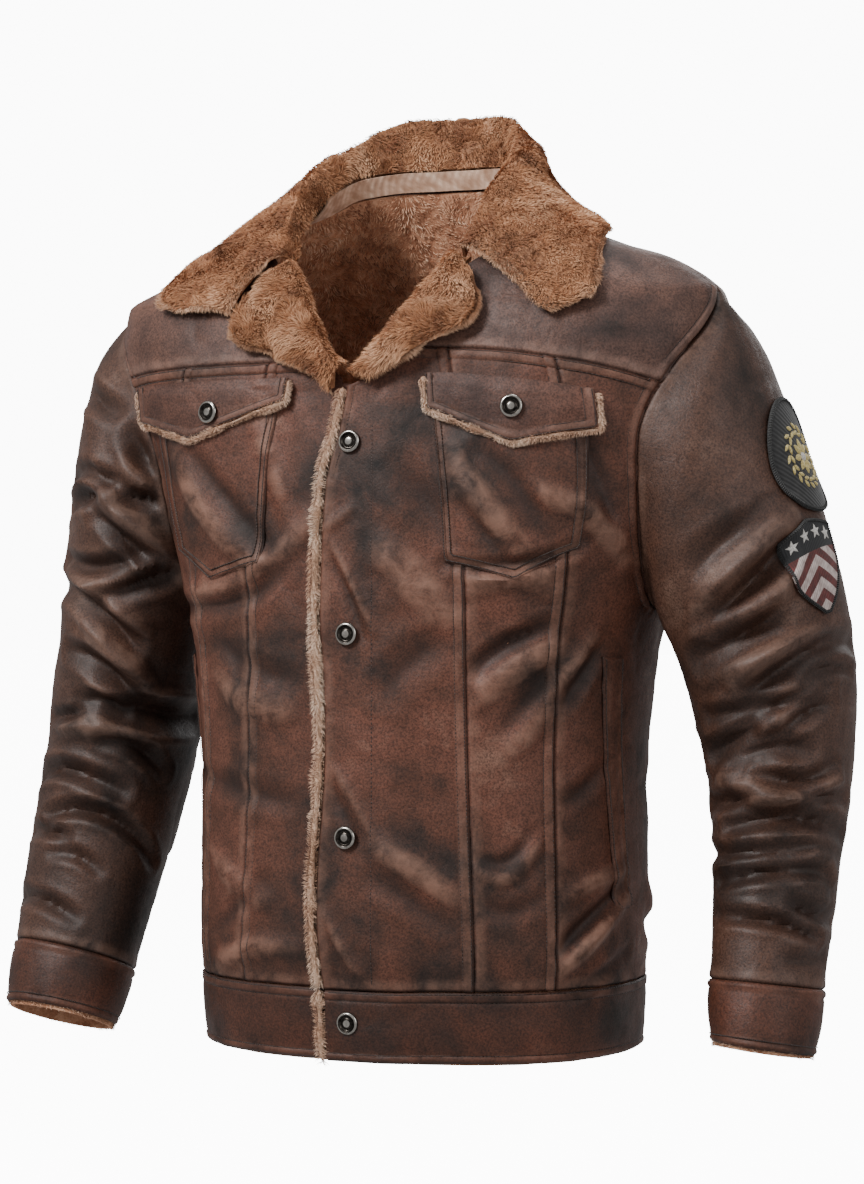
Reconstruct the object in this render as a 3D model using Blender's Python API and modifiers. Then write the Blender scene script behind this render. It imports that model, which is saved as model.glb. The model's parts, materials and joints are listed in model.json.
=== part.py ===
"""Worn leather jacket with a folded fleece collar, as closed cloth walls in metres.

+Z is up, the front faces -Y and the wearer's left is +X.  Heights in the tables are measured
from the hem; the origin is the base of the neck, where the wearer carries the jacket.
Places on the body are given by an angle round it (0 at the front, 90 at the wearer's left side,
180 at the back) and a height.  Places on a sleeve are given by a station down its rings and an
angle round it (0 on the outer side, 90 at the back, 270 at the front).
"""

import math

import bmesh
import bpy
from mathutils import Vector
from mathutils.bvhtree import BVHTree

NECK_HEIGHT = 0.660          # height of the origin above the hem
SEAM_GAP = 0.0003            # space between two pieces at a seam
LAYER_GAP = 0.0010           # space between a piece and what lies on it
LEATHER = 0.0022             # thickness of the leather
FLEECE = 0.0040              # thickness of the flat fleece lining
PILE = 0.0060                # thickness of the collar and lapel fleece
LAPEL_PILE = 0.0040          # thickness of the lapels
TAPE = 0.0012                # thickness of the neck tape
BAND_HEIGHT = 0.0535         # top of the waistband
HEM_FLEECE = 0.0022          # how far the lining shows under the hem
NECK_TURN = 0.0095           # how far the leather stops short of the neck's fold
LINING_TURN = 0.0120         # how far the lining stops short of it
LINING_GAP = 0.0045          # space for the creases between the leather and the lining
LAP_LIFT = 0.0062            # how far the lapping left front stands off the right one
UNDERLAP_EDGE = 8.5          # angle of the edge that lies beneath it
LAP_FADE = (11.0, 30.0)      # angles between which the lift dies away
EDGE_ROLL = 0.0040           # radius of the fleece roll along the front edge
FLAP_ROLL = 0.0030           # radius of the fleece roll round a flap

# body sections: height, half width on the left and on the right, y of the front, the sides
# and the back, squareness
BODY_COLUMNS = ("height", "left", "right", "front", "side", "back", "square")
BODY = (
    (-0.010, 0.169, 0.169, -0.135, 0.000, 0.123, 2.30),
    (0.000, 0.1705, 0.1705, -0.136, 0.000, 0.124, 2.30),
    (0.050, 0.174, 0.174, -0.139, 0.000, 0.126, 2.30),
    (0.085, 0.176, 0.176, -0.143, 0.000, 0.129, 2.30),
    (0.200, 0.176, 0.175, -0.140, 0.000, 0.124, 2.30),
    (0.300, 0.184, 0.181, -0.139, 0.000, 0.126, 2.40),
    (0.337, 0.193, 0.188, -0.139, 0.000, 0.129, 2.50),
    (0.380, 0.209, 0.195, -0.138, -0.002, 0.131, 2.60),
    (0.420, 0.222, 0.204, -0.137, -0.003, 0.132, 2.65),
    (0.467, 0.232, 0.218, -0.133, -0.006, 0.131, 2.70),
    (0.520, 0.244, 0.238, -0.126, -0.012, 0.125, 2.60),
    (0.545, 0.250, 0.2455, -0.119, -0.017, 0.120, 2.50),
    (0.560, 0.2505, 0.2440, -0.114, -0.020, 0.115, 2.38),
    (0.5725, 0.2480, 0.2420, -0.108, -0.022, 0.110, 2.25),
    (0.583, 0.237, 0.224, -0.104, -0.022, 0.106, 2.15),
    (0.600, 0.208, 0.182, -0.0955, -0.021, 0.098, 2.05),
    (0.611, 0.174, 0.158, -0.090, -0.019, 0.095, 2.00),
    (0.622, 0.146, 0.138, -0.084, -0.017, 0.091, 2.00),
    (0.643, 0.112, 0.110, -0.074, -0.011, 0.084, 2.00),
    (0.660, 0.094, 0.094, -0.066, -0.007, 0.078, 2.00),
    (0.690, 0.086, 0.086, -0.061, -0.003, 0.071, 2.00),
)

# the neck's fold line: angle round the body and height of the fold
NECKLINE = (
    (0.0, 0.507), (7.0, 0.520), (20.8, 0.552), (33.0, 0.580), (47.6, 0.605),
    (64.0, 0.630), (84.0, 0.651), (100.0, 0.663), (120.0, 0.674), (150.0, 0.680), (180.0, 0.681),
)

# armhole: an ellipse in angle and height whose upper half is drawn in towards its top
ARMHOLE_MIDDLE = 0.4545
ARMHOLE_HALF = 0.118
ARMHOLE_ANGLE = 20.5
ARMHOLE_TOP_ROUND = 0.12
SLEEVE_COLUMNS = 20          # corners round a sleeve, which its armhole shares
SHOULDER_TIP = ARMHOLE_MIDDLE + ARMHOLE_HALF
UNDERARM = ARMHOLE_MIDDLE - ARMHOLE_HALF

# the lapping front's edge: height and angle
LAP_EDGE = ((0.0, -6.8), (0.055, -7.6), (0.12, -9.2), (0.24, -7.0), (0.342, -9.0), (0.43, -7.8),
            (0.466, -4.2), (0.504, -1.4))
INNER_SEAM = ((0.0, 38.0), (0.36, 34.5), (0.55, 33.5))      # height and angle
OUTER_SEAM = ((0.0, 59.0), (0.36, 57.5), (0.55, 57.0))
# the front yoke's seam: angle and height
FRONT_YOKE_SEAM = {
    1: ((8.0, 0.532), (44.0, 0.527), (60.0, 0.518), (74.0, 0.502)),
    -1: ((8.0, 0.522), (44.0, 0.521), (60.0, 0.520), (74.0, 0.517)),
}
BACK_YOKE_SEAM = 0.520

# creases of the body: start angle and height, end angle and height, half width, depth
# (a valley has a negative depth)
BODY_FOLD_COLUMNS = ("angle_a", "height_a", "angle_b", "height_b", "half_width", "depth")
BODY_FOLDS = (
    (-7.0, 0.398, 12.0, 0.318, 0.014, 0.0030),
    (-7.0, 0.368, 8.0, 0.300, 0.011, -0.0025),
    (-7.0, 0.235, 12.0, 0.175, 0.014, 0.0028),
    (-7.0, 0.208, 7.0, 0.160, 0.011, -0.0022),
    (-8.0, 0.104, 9.0, 0.058, 0.013, 0.0024),
    (42.0, 0.330, 50.0, 0.235, 0.020, 0.0024),
    (66.0, 0.330, 52.0, 0.270, 0.018, -0.0028),
    (62.0, 0.215, 44.0, 0.165, 0.018, -0.0024),
    (40.0, 0.150, 56.0, 0.085, 0.018, 0.0026),
    (-30.0, 0.330, -48.0, 0.280, 0.018, -0.0024),
    (-26.0, 0.150, -44.0, 0.095, 0.018, -0.0024),
    (135.0, 0.360, 150.0, 0.250, 0.025, -0.0030),
    (222.0, 0.370, 208.0, 0.260, 0.025, -0.0030),
    (160.0, 0.200, 176.0, 0.110, 0.024, -0.0026),
    (200.0, 0.150, 188.0, 0.080, 0.024, 0.0026),
    (115.0, 0.300, 122.0, 0.200, 0.020, 0.0028),
    (244.0, 0.300, 238.0, 0.190, 0.020, 0.0028),
)

# sleeve rings: outer point x and height, inner point x and height, y of the middle,
# half depth, and the ring's forward tilt in degrees
RING_COLUMNS = ("outer_x", "outer_h", "inner_x", "inner_h", "y", "half_depth", "tilt")
SLEEVE_RINGS = {
    1: (
        (0.2475, 0.5725, 0.193, 0.337, -0.006, 0.080, 0.0),
        (0.266, 0.547, 0.201, 0.325, -0.004, 0.082, 0.0),
        (0.287, 0.500, 0.204, 0.316, -0.001, 0.082, 0.0),
        (0.305, 0.450, 0.208, 0.305, 0.002, 0.080, 0.0),
        (0.320, 0.405, 0.212, 0.291, 0.006, 0.077, 0.0),
        (0.331, 0.360, 0.216, 0.275, 0.010, 0.074, 0.0),
        (0.338, 0.315, 0.221, 0.255, 0.014, 0.071, 1.0),
        (0.341, 0.275, 0.226, 0.232, 0.016, 0.067, 2.0),
        (0.340, 0.235, 0.231, 0.206, 0.015, 0.063, 3.0),
        (0.338, 0.192, 0.236, 0.174, 0.008, 0.059, 5.0),
        (0.335, 0.148, 0.241, 0.140, -0.004, 0.055, 7.0),
        (0.333, 0.102, 0.245, 0.102, -0.018, 0.051, 8.0),
        (0.332, 0.058, 0.249, 0.062, -0.034, 0.047, 8.0),
        (0.330, 0.011, 0.255, 0.018, -0.050, 0.044, 8.0),
    ),
    -1: (
        (0.243, 0.5725, 0.188, 0.337, -0.006, 0.080, 0.0),
        (0.2735, 0.541, 0.195, 0.325, -0.004, 0.082, 0.0),
        (0.287, 0.498, 0.198, 0.315, -0.001, 0.082, 0.0),
        (0.298, 0.450, 0.200, 0.303, 0.002, 0.080, 0.0),
        (0.307, 0.405, 0.203, 0.289, 0.006, 0.077, 0.0),
        (0.316, 0.360, 0.207, 0.273, 0.010, 0.074, 0.0),
        (0.3225, 0.315, 0.211, 0.254, 0.014, 0.071, 1.0),
        (0.332, 0.275, 0.215, 0.232, 0.016, 0.067, 3.0),
        (0.336, 0.235, 0.220, 0.206, 0.015, 0.063, 6.0),
        (0.342, 0.192, 0.225, 0.174, 0.008, 0.059, 10.0),
        (0.344, 0.148, 0.231, 0.137, -0.004, 0.055, 14.0),
        (0.344, 0.104, 0.238, 0.094, -0.018, 0.051, 17.0),
        (0.342, 0.062, 0.245, 0.050, -0.034, 0.047, 18.5),
        (0.3405, 0.014, 0.252, 0.006, -0.051, 0.044, 18.5),
    ),
}
LAST_STATION = len(SLEEVE_RINGS[1]) - 1
CUFF_STATION = LAST_STATION - 1

# creases of the sleeves: station and angle at the start, the middle and the end, then half
# width and depth
SLEEVE_FOLD_COLUMNS = ("along_a", "round_a", "along_m", "round_m", "along_b", "round_b",
                       "half_width", "depth")
SLEEVE_FOLDS = {
    1: (
        (3.6, 316.0, 3.4, 290.0, 3.1, 266.0, 0.015, -0.0040),
        (3.8, 326.0, 3.8, 292.0, 3.9, 258.0, 0.015, 0.0045),
        (4.2, 314.0, 4.4, 294.0, 4.4, 258.0, 0.014, -0.0070),
        (4.7, 316.0, 4.8, 294.0, 4.7, 258.0, 0.012, 0.0035),
        (5.2, 298.0, 5.2, 280.0, 4.9, 238.0, 0.014, -0.0075),
        (5.9, 324.0, 5.9, 290.0, 5.9, 264.0, 0.012, 0.0045),
        (6.1, 376.0, 6.1, 312.0, 6.5, 274.0, 0.012, -0.0060),
        (6.6, 356.0, 6.5, 330.0, 6.6, 310.0, 0.008, -0.0040),
        (6.9, 328.0, 7.0, 294.0, 6.5, 232.0, 0.010, -0.0050),
        (7.0, 328.0, 7.1, 302.0, 7.3, 278.0, 0.008, 0.0040),
        (7.2, 330.0, 7.3, 310.0, 7.5, 288.0, 0.009, -0.0040),
        (7.3, 278.0, 7.3, 256.0, 7.4, 224.0, 0.010, -0.0060),
        (8.0, 308.0, 7.8, 284.0, 7.7, 230.0, 0.011, -0.0050),
        (8.4, 334.0, 8.6, 306.0, 8.3, 278.0, 0.010, -0.0050),
        (8.6, 340.0, 8.8, 286.0, 8.1, 238.0, 0.010, 0.0040),
        (8.9, 356.0, 8.9, 320.0, 9.0, 304.0, 0.009, -0.0045),
        (8.7, 266.0, 8.7, 246.0, 8.6, 212.0, 0.009, -0.0045),
        (9.5, 362.0, 9.2, 298.0, 9.2, 242.0, 0.010, -0.0055),
        (9.8, 320.0, 9.8, 276.0, 9.7, 212.0, 0.008, -0.0040),
        (10.2, 346.0, 10.1, 312.0, 10.3, 226.0, 0.009, -0.0055),
        (10.2, 354.0, 10.0, 326.0, 10.1, 302.0, 0.008, 0.0035),
        (10.9, 376.0, 10.8, 332.0, 10.7, 310.0, 0.009, -0.0045),
        (11.2, 340.0, 11.0, 298.0, 10.9, 226.0, 0.008, -0.0048),
        (11.5, 356.0, 11.6, 326.0, 11.6, 306.0, 0.009, -0.0030),
        (3.0, 100.0, 3.6, 130.0, 4.4, 165.0, 0.016, -0.0050),
        (5.4, 60.0, 5.9, 100.0, 6.4, 150.0, 0.014, -0.0060),
        (6.4, 130.0, 6.8, 160.0, 7.2, 200.0, 0.013, -0.0055),
        (7.2, 50.0, 7.3, 90.0, 7.6, 140.0, 0.012, -0.0060),
        (8.1, 80.0, 8.2, 130.0, 8.5, 190.0, 0.011, -0.0055),
        (9.0, 40.0, 9.1, 80.0, 9.0, 130.0, 0.010, -0.0050),
        (9.6, 100.0, 9.8, 150.0, 9.7, 205.0, 0.010, -0.0045),
        (10.5, 50.0, 10.4, 100.0, 10.6, 160.0, 0.010, -0.0045),
        (4.6, 80.0, 5.0, 110.0, 5.2, 150.0, 0.014, 0.0040),
    ),
    -1: (
        (1.4, 326.0, 1.0, 310.0, 0.6, 296.0, 0.012, -0.0055),
        (0.4, 282.0, 0.3, 274.0, 0.2, 266.0, 0.014, -0.0090),
        (2.9, 322.0, 1.1, 272.0, 0.1, 260.0, 0.009, -0.0050),
        (0.7, 274.0, 0.4, 266.0, 0.1, 260.0, 0.009, 0.0040),
        (3.5, 322.0, 2.6, 296.0, 2.0, 280.0, 0.010, -0.0065),
        (1.0, 264.0, 0.5, 258.0, 0.1, 254.0, 0.009, -0.0060),
        (1.3, 270.0, 0.8, 266.0, 0.1, 258.0, 0.009, 0.0040),
        (2.3, 278.0, 1.3, 248.0, 0.8, 234.0, 0.010, -0.0045),
        (1.5, 268.0, 0.8, 248.0, 0.1, 234.0, 0.011, 0.0045),
        (4.3, 314.0, 3.4, 272.0, 1.4, 240.0, 0.011, -0.0055),
        (3.7, 262.0, 1.9, 234.0, 0.1, 222.0, 0.012, -0.0060),
        (4.4, 298.0, 3.3, 258.0, 1.1, 234.0, 0.010, 0.0035),
        (5.1, 336.0, 4.4, 266.0, 4.5, 238.0, 0.012, -0.0060),
        (3.8, 256.0, 3.6, 240.0, 3.4, 228.0, 0.009, 0.0035),
        (4.9, 272.0, 5.1, 240.0, 5.7, 228.0, 0.012, 0.0050),
        (5.9, 294.0, 5.8, 258.0, 6.1, 228.0, 0.012, -0.0070),
        (6.9, 274.0, 6.7, 254.0, 6.8, 242.0, 0.010, -0.0050),
        (6.8, 244.0, 6.5, 214.0, 6.4, 172.0, 0.015, -0.0085),
        (7.7, 316.0, 7.5, 292.0, 7.3, 278.0, 0.008, -0.0045),
        (7.7, 252.0, 7.7, 230.0, 8.2, 204.0, 0.010, -0.0055),
        (7.8, 292.0, 7.5, 254.0, 7.6, 226.0, 0.010, 0.0040),
        (9.0, 328.0, 8.7, 288.0, 8.9, 234.0, 0.010, -0.0060),
        (9.7, 294.0, 9.5, 244.0, 10.2, 188.0, 0.009, -0.0055),
        (10.0, 330.0, 10.0, 294.0, 10.1, 270.0, 0.008, -0.0045),
        (10.4, 282.0, 10.4, 258.0, 10.6, 238.0, 0.008, -0.0035),
        (11.2, 328.0, 11.3, 282.0, 11.5, 250.0, 0.009, -0.0045),
        (2.6, 20.0, 2.9, 60.0, 3.6, 110.0, 0.015, -0.0050),
        (4.4, 10.0, 4.7, 60.0, 5.3, 120.0, 0.014, -0.0060),
        (5.9, 0.0, 6.3, 50.0, 6.6, 110.0, 0.013, -0.0060),
        (7.0, 40.0, 7.3, 90.0, 7.6, 140.0, 0.012, -0.0055),
        (8.0, 0.0, 8.2, 50.0, 8.5, 110.0, 0.012, -0.0055),
        (9.1, 20.0, 9.2, 80.0, 9.6, 140.0, 0.010, -0.0050),
        (10.1, 0.0, 10.3, 50.0, 10.4, 110.0, 0.010, -0.0045),
        (3.6, 120.0, 4.2, 140.0, 5.0, 160.0, 0.014, -0.0050),
        (5.2, 40.0, 5.6, 90.0, 5.8, 130.0, 0.012, 0.0035),
    ),
}

# the collar from the middle of the back to its front end: the sewn edge inside, the fold
# and the free edge, each as x, y and height
COLLAR_COLUMNS = ("seam_x", "seam_y", "seam_h", "fold_x", "fold_y", "fold_h",
                  "edge_x", "edge_y", "edge_h")
COLLAR = (
    (0.000, 0.0640, 0.686, 0.000, 0.080, 0.728, 0.000, 0.120, 0.650),
    (0.043, 0.0540, 0.684, 0.046, 0.068, 0.725, 0.062, 0.112, 0.644),
    (0.066, 0.0260, 0.678, 0.069, 0.034, 0.705, 0.106, 0.076, 0.634),
    (0.075, -0.008, 0.660, 0.080, -0.006, 0.684, 0.148, 0.010, 0.624),
    (0.076, -0.042, 0.637, 0.083, -0.046, 0.658, 0.174, -0.060, 0.598),
    (0.074, -0.062, 0.620, 0.0805, -0.070, 0.633, 0.180, -0.088, 0.566),
    (0.069, -0.077, 0.600, 0.0745, -0.088, 0.605, 0.150, -0.106, 0.5525),
)
COLLAR_SHIFT = -0.004
COLLAR_SAG = 0.10            # how far the leaf hangs below a straight fall, per metre out
COLLAR_ROUND = 0.010         # how far the fold rounds outwards before the leaf falls

# lapels from the collar's end down to the point of the V: how far down the neck's fold
# (0 to 1), then the angle and the height of the free edge
LAPEL_COLUMNS = ("down", "edge_angle", "edge_height")
LAPELS = {
    1: (
        (0.00, 47.0, 0.5830),
        (0.22, 46.5, 0.5640),
        (0.42, 43.0, 0.5480),
        (0.60, 34.8, 0.5356),
        (0.80, 21.5, 0.5200),
        (1.00, 9.0, 0.5065),
    ),
    -1: (
        (0.00, 50.0, 0.5660),
        (0.22, 48.5, 0.5510),
        (0.45, 45.6, 0.5375),
        (0.62, 32.2, 0.5270),
        (0.78, 20.4, 0.5170),
        (0.90, 12.9, 0.5085),
        (1.00, 7.5, 0.4980),
    ),
}
LAPEL_TOP_ANGLE = 43.5
LAPEL_END_ANGLE = {1: 1.0, -1: 5.0}

# pocket flaps: angles of the inner end, the point and the outer end, then heights of the top
# at both ends and of the bottom at the inner end, the point and the outer end
FLAP_COLUMNS = ("inner", "point", "outer", "top_inner", "top_outer",
                "low_inner", "low_point", "low_outer")
FLAPS = {
    1: (26.5, 46.5, 62.5, 0.509, 0.496, 0.482, 0.457, 0.467),
    -1: (24.5, 51.5, 69.0, 0.508, 0.508, 0.490, 0.464, 0.480),
}
POCKET_COLUMNS = ("inner_top", "inner_low", "outer_top", "outer_low",
                  "top", "low_inner", "low_point", "low_outer")
POCKETS = {
    1: (27.5, 29.5, 61.0, 60.0, 0.478, 0.370, 0.3575, 0.380),
    -1: (27.5, 29.5, 63.0, 60.5, 0.482, 0.370, 0.3575, 0.380),
}
WELT_COLUMNS = ("top", "bottom", "front_top", "front_bottom", "width")
WELT = (0.300, 0.110, 70.0, 77.5, 0.023)

# front snaps: height and how far the foot is off the cloth's surface
SNAP_COLUMNS = ("height", "seat")
SNAPS = ((0.459, 0.0008), (0.317, 0.0015), (0.166, 0.0012), (0.029, 0.0009))
FLAP_SNAP_SEAT = 0.0007
SNAP_ANGLE = 0.6
FLAP_SNAPS = {1: (47.5, 0.483), -1: (46.5, 0.484)}
# turned profile of a snap: radius and height, from the centre of its foot to its centre top
SNAP_PROFILE = (
    (0.0000, 0.0000), (0.0078, 0.0000), (0.0085, 0.0010), (0.0082, 0.0022), (0.0070, 0.0028),
    (0.0058, 0.0020), (0.0030, 0.0017), (0.0000, 0.0017),
)

BADGE_THICKNESS = 0.0014
BADGE_GAP = 0.0014
STATION_LENGTH = 0.045       # cloth between two stations on the sleeve's outer side
ROUND_BADGE = {"along": 3.05, "round": 356.0, "radius": 0.040}
SHIELD_BADGE = {"along": 4.75, "round": 336.0, "half_width": 0.0300, "height": 0.070}

MATERIALS = {
    # name: colour (linear), roughness, metallic
    "leather": ((0.052, 0.024, 0.016), 0.55, 0.0),
    "leather worn": ((0.082, 0.038, 0.026), 0.50, 0.0),
    "fleece": ((0.270, 0.125, 0.066), 0.95, 0.0),
    "tape": ((0.440, 0.300, 0.215), 0.85, 0.0),
    "snap metal": ((0.300, 0.300, 0.300), 0.28, 1.0),
    "badge cloth": ((0.018, 0.017, 0.017), 0.80, 0.0),
}


def clear_scene():
    for item in list(bpy.data.objects):
        bpy.data.objects.remove(item, do_unlink=True)


def collection():
    found = bpy.data.collections.get("leather_jacket")
    if found is None:
        found = bpy.data.collections.new("leather_jacket")
        bpy.context.scene.collection.children.link(found)
    return found


def material(name, label):
    colour, roughness, metallic = MATERIALS[name]
    made = bpy.data.materials.new(label)
    made.use_nodes = True
    shader = made.node_tree.nodes["Principled BSDF"]
    shader.inputs["Base Color"].default_value = (*colour, 1.0)
    shader.inputs["Roughness"].default_value = roughness
    shader.inputs["Metallic"].default_value = metallic
    made.diffuse_color = (*colour, 1.0)
    return made


def finish(piece, name, finish_name):
    """Name an object, give it its own material and file it in the jacket's collection."""
    piece.name = name
    piece.data.name = name
    piece.data.materials.clear()
    piece.data.materials.append(material(finish_name, name))
    for owner in list(piece.users_collection):
        owner.objects.unlink(piece)
    collection().objects.link(piece)
    return piece


def between(a, b, share):
    return a + (b - a) * share


def smooth_step(low, high, value):
    share = min(1.0, max(0.0, (value - low) / (high - low)))
    return share * share * (3.0 - 2.0 * share)


def line_slopes(keys, values):
    """Slopes of a curve through the values that never overshoots them."""
    steps = [(values[i + 1] - values[i]) / (keys[i + 1] - keys[i]) for i in range(len(keys) - 1)]
    slopes = [steps[0]]
    for before, after in zip(steps, steps[1:]):
        if before * after <= 0.0:
            slopes.append(0.0)
        else:
            slopes.append(2.0 * before * after / (before + after))
    slopes.append(steps[-1])
    return slopes


def smooth_table(table):
    """Turn a table whose first column is its key into a function that returns a row."""
    keys = [row[0] for row in table]
    columns = list(zip(*table))
    slopes = [line_slopes(keys, column) for column in columns]

    def read(key):
        key = min(keys[-1], max(keys[0], key))
        at = 0
        while at < len(keys) - 2 and key > keys[at + 1]:
            at += 1
        width = keys[at + 1] - keys[at]
        t = (key - keys[at]) / width
        h0 = (1.0 + 2.0 * t) * (1.0 - t) ** 2
        h1 = t * (1.0 - t) ** 2
        h2 = t * t * (3.0 - 2.0 * t)
        h3 = t * t * (t - 1.0)
        return [h0 * column[at] + h1 * width * slope[at] + h2 * column[at + 1]
                + h3 * width * slope[at + 1] for column, slope in zip(columns, slopes)]
    return read


read_body = smooth_table(BODY)
read_neckline = smooth_table(NECKLINE)
read_inner_seam = smooth_table(INNER_SEAM)
read_outer_seam = smooth_table(OUTER_SEAM)
read_lap_edge = smooth_table(LAP_EDGE)
read_yoke_seam = {side: smooth_table(rows) for side, rows in FRONT_YOKE_SEAM.items()}
read_rings = {side: smooth_table([(float(i),) + row for i, row in enumerate(rows)])
              for side, rows in SLEEVE_RINGS.items()}


FOLD_STEPS = 6
FOLD_REACH = 0.14            # longest half length of a crease

read_collar = smooth_table([(float(i),) + row for i, row in enumerate(COLLAR)])


def crease(distance, half_width, depth):
    """Height of a crease: valleys are sharp and narrow, ridges are round and wide."""
    if depth < 0.0:
        reach = abs(distance) / half_width
        return depth * max(0.0, 1.0 - reach) ** 1.4 if reach < 1.0 else 0.0
    reach = abs(distance) / (half_width * 1.3)
    return depth * (1.0 - reach * reach) ** 2 if reach < 1.0 else 0.0


def fold_line(place, first, middle, last, half_width, depth):
    """A crease on a plain surface: points from first through middle to last."""
    points = []
    for i in range(FOLD_STEPS + 1):
        t = i / FOLD_STEPS
        weights = (2.0 * (t - 0.5) * (t - 1.0), -4.0 * t * (t - 1.0), 2.0 * t * (t - 0.5))
        a, b = (sum(w * at[k] for w, at in zip(weights, (first, middle, last))) for k in (0, 1))
        points.append(place(a, b))
    return points, half_width, depth


def fold_lift(point, lines):
    """How far the creases raise or sink a point of a plain surface."""
    total = 0.0
    for points, half_width, depth in lines:
        reach = half_width * 1.3
        if (point - points[FOLD_STEPS // 2]).length > reach + FOLD_REACH:
            continue
        best, along = reach, 0.0
        for i in range(FOLD_STEPS):
            start, run = points[i], points[i + 1] - points[i]
            share = min(1.0, max(0.0, (point - start).dot(run) / run.length_squared))
            distance = (point - start - run * share).length
            if distance < best:
                best, along = distance, (i + share) / FOLD_STEPS
        fade = math.sin(math.pi * (0.12 + 0.76 * along)) ** 0.6
        total += fade * crease(best, half_width, depth)
    return total


# ------------------------------------------------------------------ the body's surface

def plain_body(angle, height):
    """Point of the uncreased body surface; height is from the hem, z from the origin."""
    _, left, right, front, side, back, square = read_body(height)
    turn = math.radians(angle)
    s, c = math.sin(turn), math.cos(turn)
    half_width = left if s > 0.0 else right
    depth = side - front if c > 0.0 else back - side
    radius = ((abs(s) / half_width) ** square + (abs(c) / depth) ** square) ** (-1.0 / square)
    return Vector((radius * s, side - radius * c, height - NECK_HEIGHT))


def body_normal(angle, height):
    round_step = plain_body(angle + 0.5, height) - plain_body(angle - 0.5, height)
    up_step = plain_body(angle, height + 0.002) - plain_body(angle, height - 0.002)
    return round_step.cross(up_step).normalized()


def body_fold_lines():
    lines = []
    for a0, h0, a1, h1, half_width, depth in BODY_FOLDS:
        middle = (0.5 * (a0 + a1), 0.5 * (h0 + h1))
        lines.append(fold_line(plain_body, (a0, h0), middle, (a1, h1), half_width, depth))
    return lines


def body(angle, height, out=0.0):
    """Point of the creased body surface, moved outwards by out."""
    point = plain_body(angle, height)
    lift = out + fold_lift(point, BODY_FOLD_LINES)
    return point + body_normal(angle, height) * lift


BODY_FOLD_LINES = body_fold_lines()


def neck_height(angle):
    wrapped = abs((angle + 180.0) % 360.0 - 180.0)
    return read_neckline(wrapped)[1]


def neck_angle(height, inset):
    """Angle at which the front's edge meets a height, moved away from the neck's fold."""
    low, high = 0.0, 90.0
    for _ in range(30):
        middle = 0.5 * (low + high)
        if neck_height(middle) < height:
            low = middle
        else:
            high = middle
    edge = plain_body(low, height)
    slope = max(0.35, min(1.0, (90.0 - low) / 60.0))
    return low + math.degrees(inset / (math.hypot(edge.x, edge.y + 0.02) * slope))


def arm_share(share):
    """Width of the armhole, from 0 to 1, at a height that runs from -1 to 1."""
    width = math.sqrt(max(0.0, 1.0 - share * share))
    if share > 0.0:
        width *= between(width * width, 1.0, ARMHOLE_TOP_ROUND)
    return width


def armhole_rows():
    """Heights and half widths (degrees) of the corners that a sleeve has on its armhole."""
    shares = [-math.cos(math.tau * i / SLEEVE_COLUMNS) for i in range(SLEEVE_COLUMNS // 2 + 1)]
    return [(ARMHOLE_MIDDLE + ARMHOLE_HALF * share, ARMHOLE_ANGLE * arm_share(share))
            for share in shares]


ARMHOLE_ROWS = armhole_rows()


def arm_angle(height, inset):
    """How far the armhole, widened by inset, reaches from the side seam at a height."""
    grown = 1.0 + inset / ARMHOLE_HALF
    at = ARMHOLE_MIDDLE + (height - ARMHOLE_MIDDLE) / grown
    for (low, low_width), (high, high_width) in zip(ARMHOLE_ROWS, ARMHOLE_ROWS[1:]):
        if low <= at <= high:
            width = between(low_width, high_width, (at - low) / (high - low))
            return width + math.degrees(inset / 0.2)
    return 0.0


def side_angle(height, side_gap):
    """Outer limit of a front panel at a height: the side seam, cut back by the armhole."""
    return 90.0 - max(arm_angle(height, SEAM_GAP * 2.0), side_gap * shoulder_gap(height))


def shoulder_gap(height):
    """Wider gap over the shoulder, where the two walls meet at an angle."""
    return 2.8 if height > SHOULDER_TIP - 0.001 else 1.0


def lap(angle, side):
    """How far a front stands off the body surface because the left one laps over."""
    if side < 0:
        return 0.0
    return LAP_LIFT * (1.0 - smooth_step(LAP_FADE[0], LAP_FADE[1], angle))


def yoke_seam(side, angle):
    return read_yoke_seam[side](angle)[1]


# ------------------------------------------------------------------ the sleeves' surface

def ring_point(side, station, turn, out):
    """Point of a sleeve's plain tube; turn is in degrees from the outer side to the back."""
    _, ox, oh, ix, ih, y, half_depth, tilt = read_rings[side](station)
    across = Vector((ox - ix, 0.0, oh - ih)) * 0.5
    middle = Vector((0.5 * (ox + ix), y, 0.5 * (oh + ih) - NECK_HEIGHT))
    lean = math.radians(tilt)
    deep = Vector((0.0, math.cos(lean), -math.sin(lean))) * half_depth
    c, s = math.cos(math.radians(turn)), math.sin(math.radians(turn))
    point = middle + across * c + deep * s
    if out:
        point += (across * c / across.length + deep * s / half_depth).normalized() * out
    return Vector((point.x * side, point.y, point.z))


def armhole_point(side, turn, out):
    s, c = math.sin(math.radians(turn)), math.cos(math.radians(turn))
    angle = side * (90.0 + ARMHOLE_ANGLE * math.copysign(arm_share(c), s))
    height = ARMHOLE_MIDDLE + ARMHOLE_HALF * c
    point = plain_body(angle, height)
    if out:
        point += Vector((side * 0.35, s, c * 0.9)).normalized() * out
    return point


HEAD_FADE = 1.6              # stations over which the armhole's form fades into the tube


def plain_sleeve(side, station, turn, out=0.0):
    start = 1.0 - smooth_step(0.0, 1.0, station / HEAD_FADE)
    point = ring_point(side, station, turn, out)
    if start > 0.0:
        point += (armhole_point(side, turn, out) - ring_point(side, 0.0, turn, out)) * start
    return point


SLEEVE_FOLD_LINES = {
    side: [fold_line(lambda station, turn, side=side: plain_sleeve(side, station, turn),
                     row[0:2], row[2:4], row[4:6], row[6], row[7]) for row in folds]
    for side, folds in SLEEVE_FOLDS.items()
}


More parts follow.
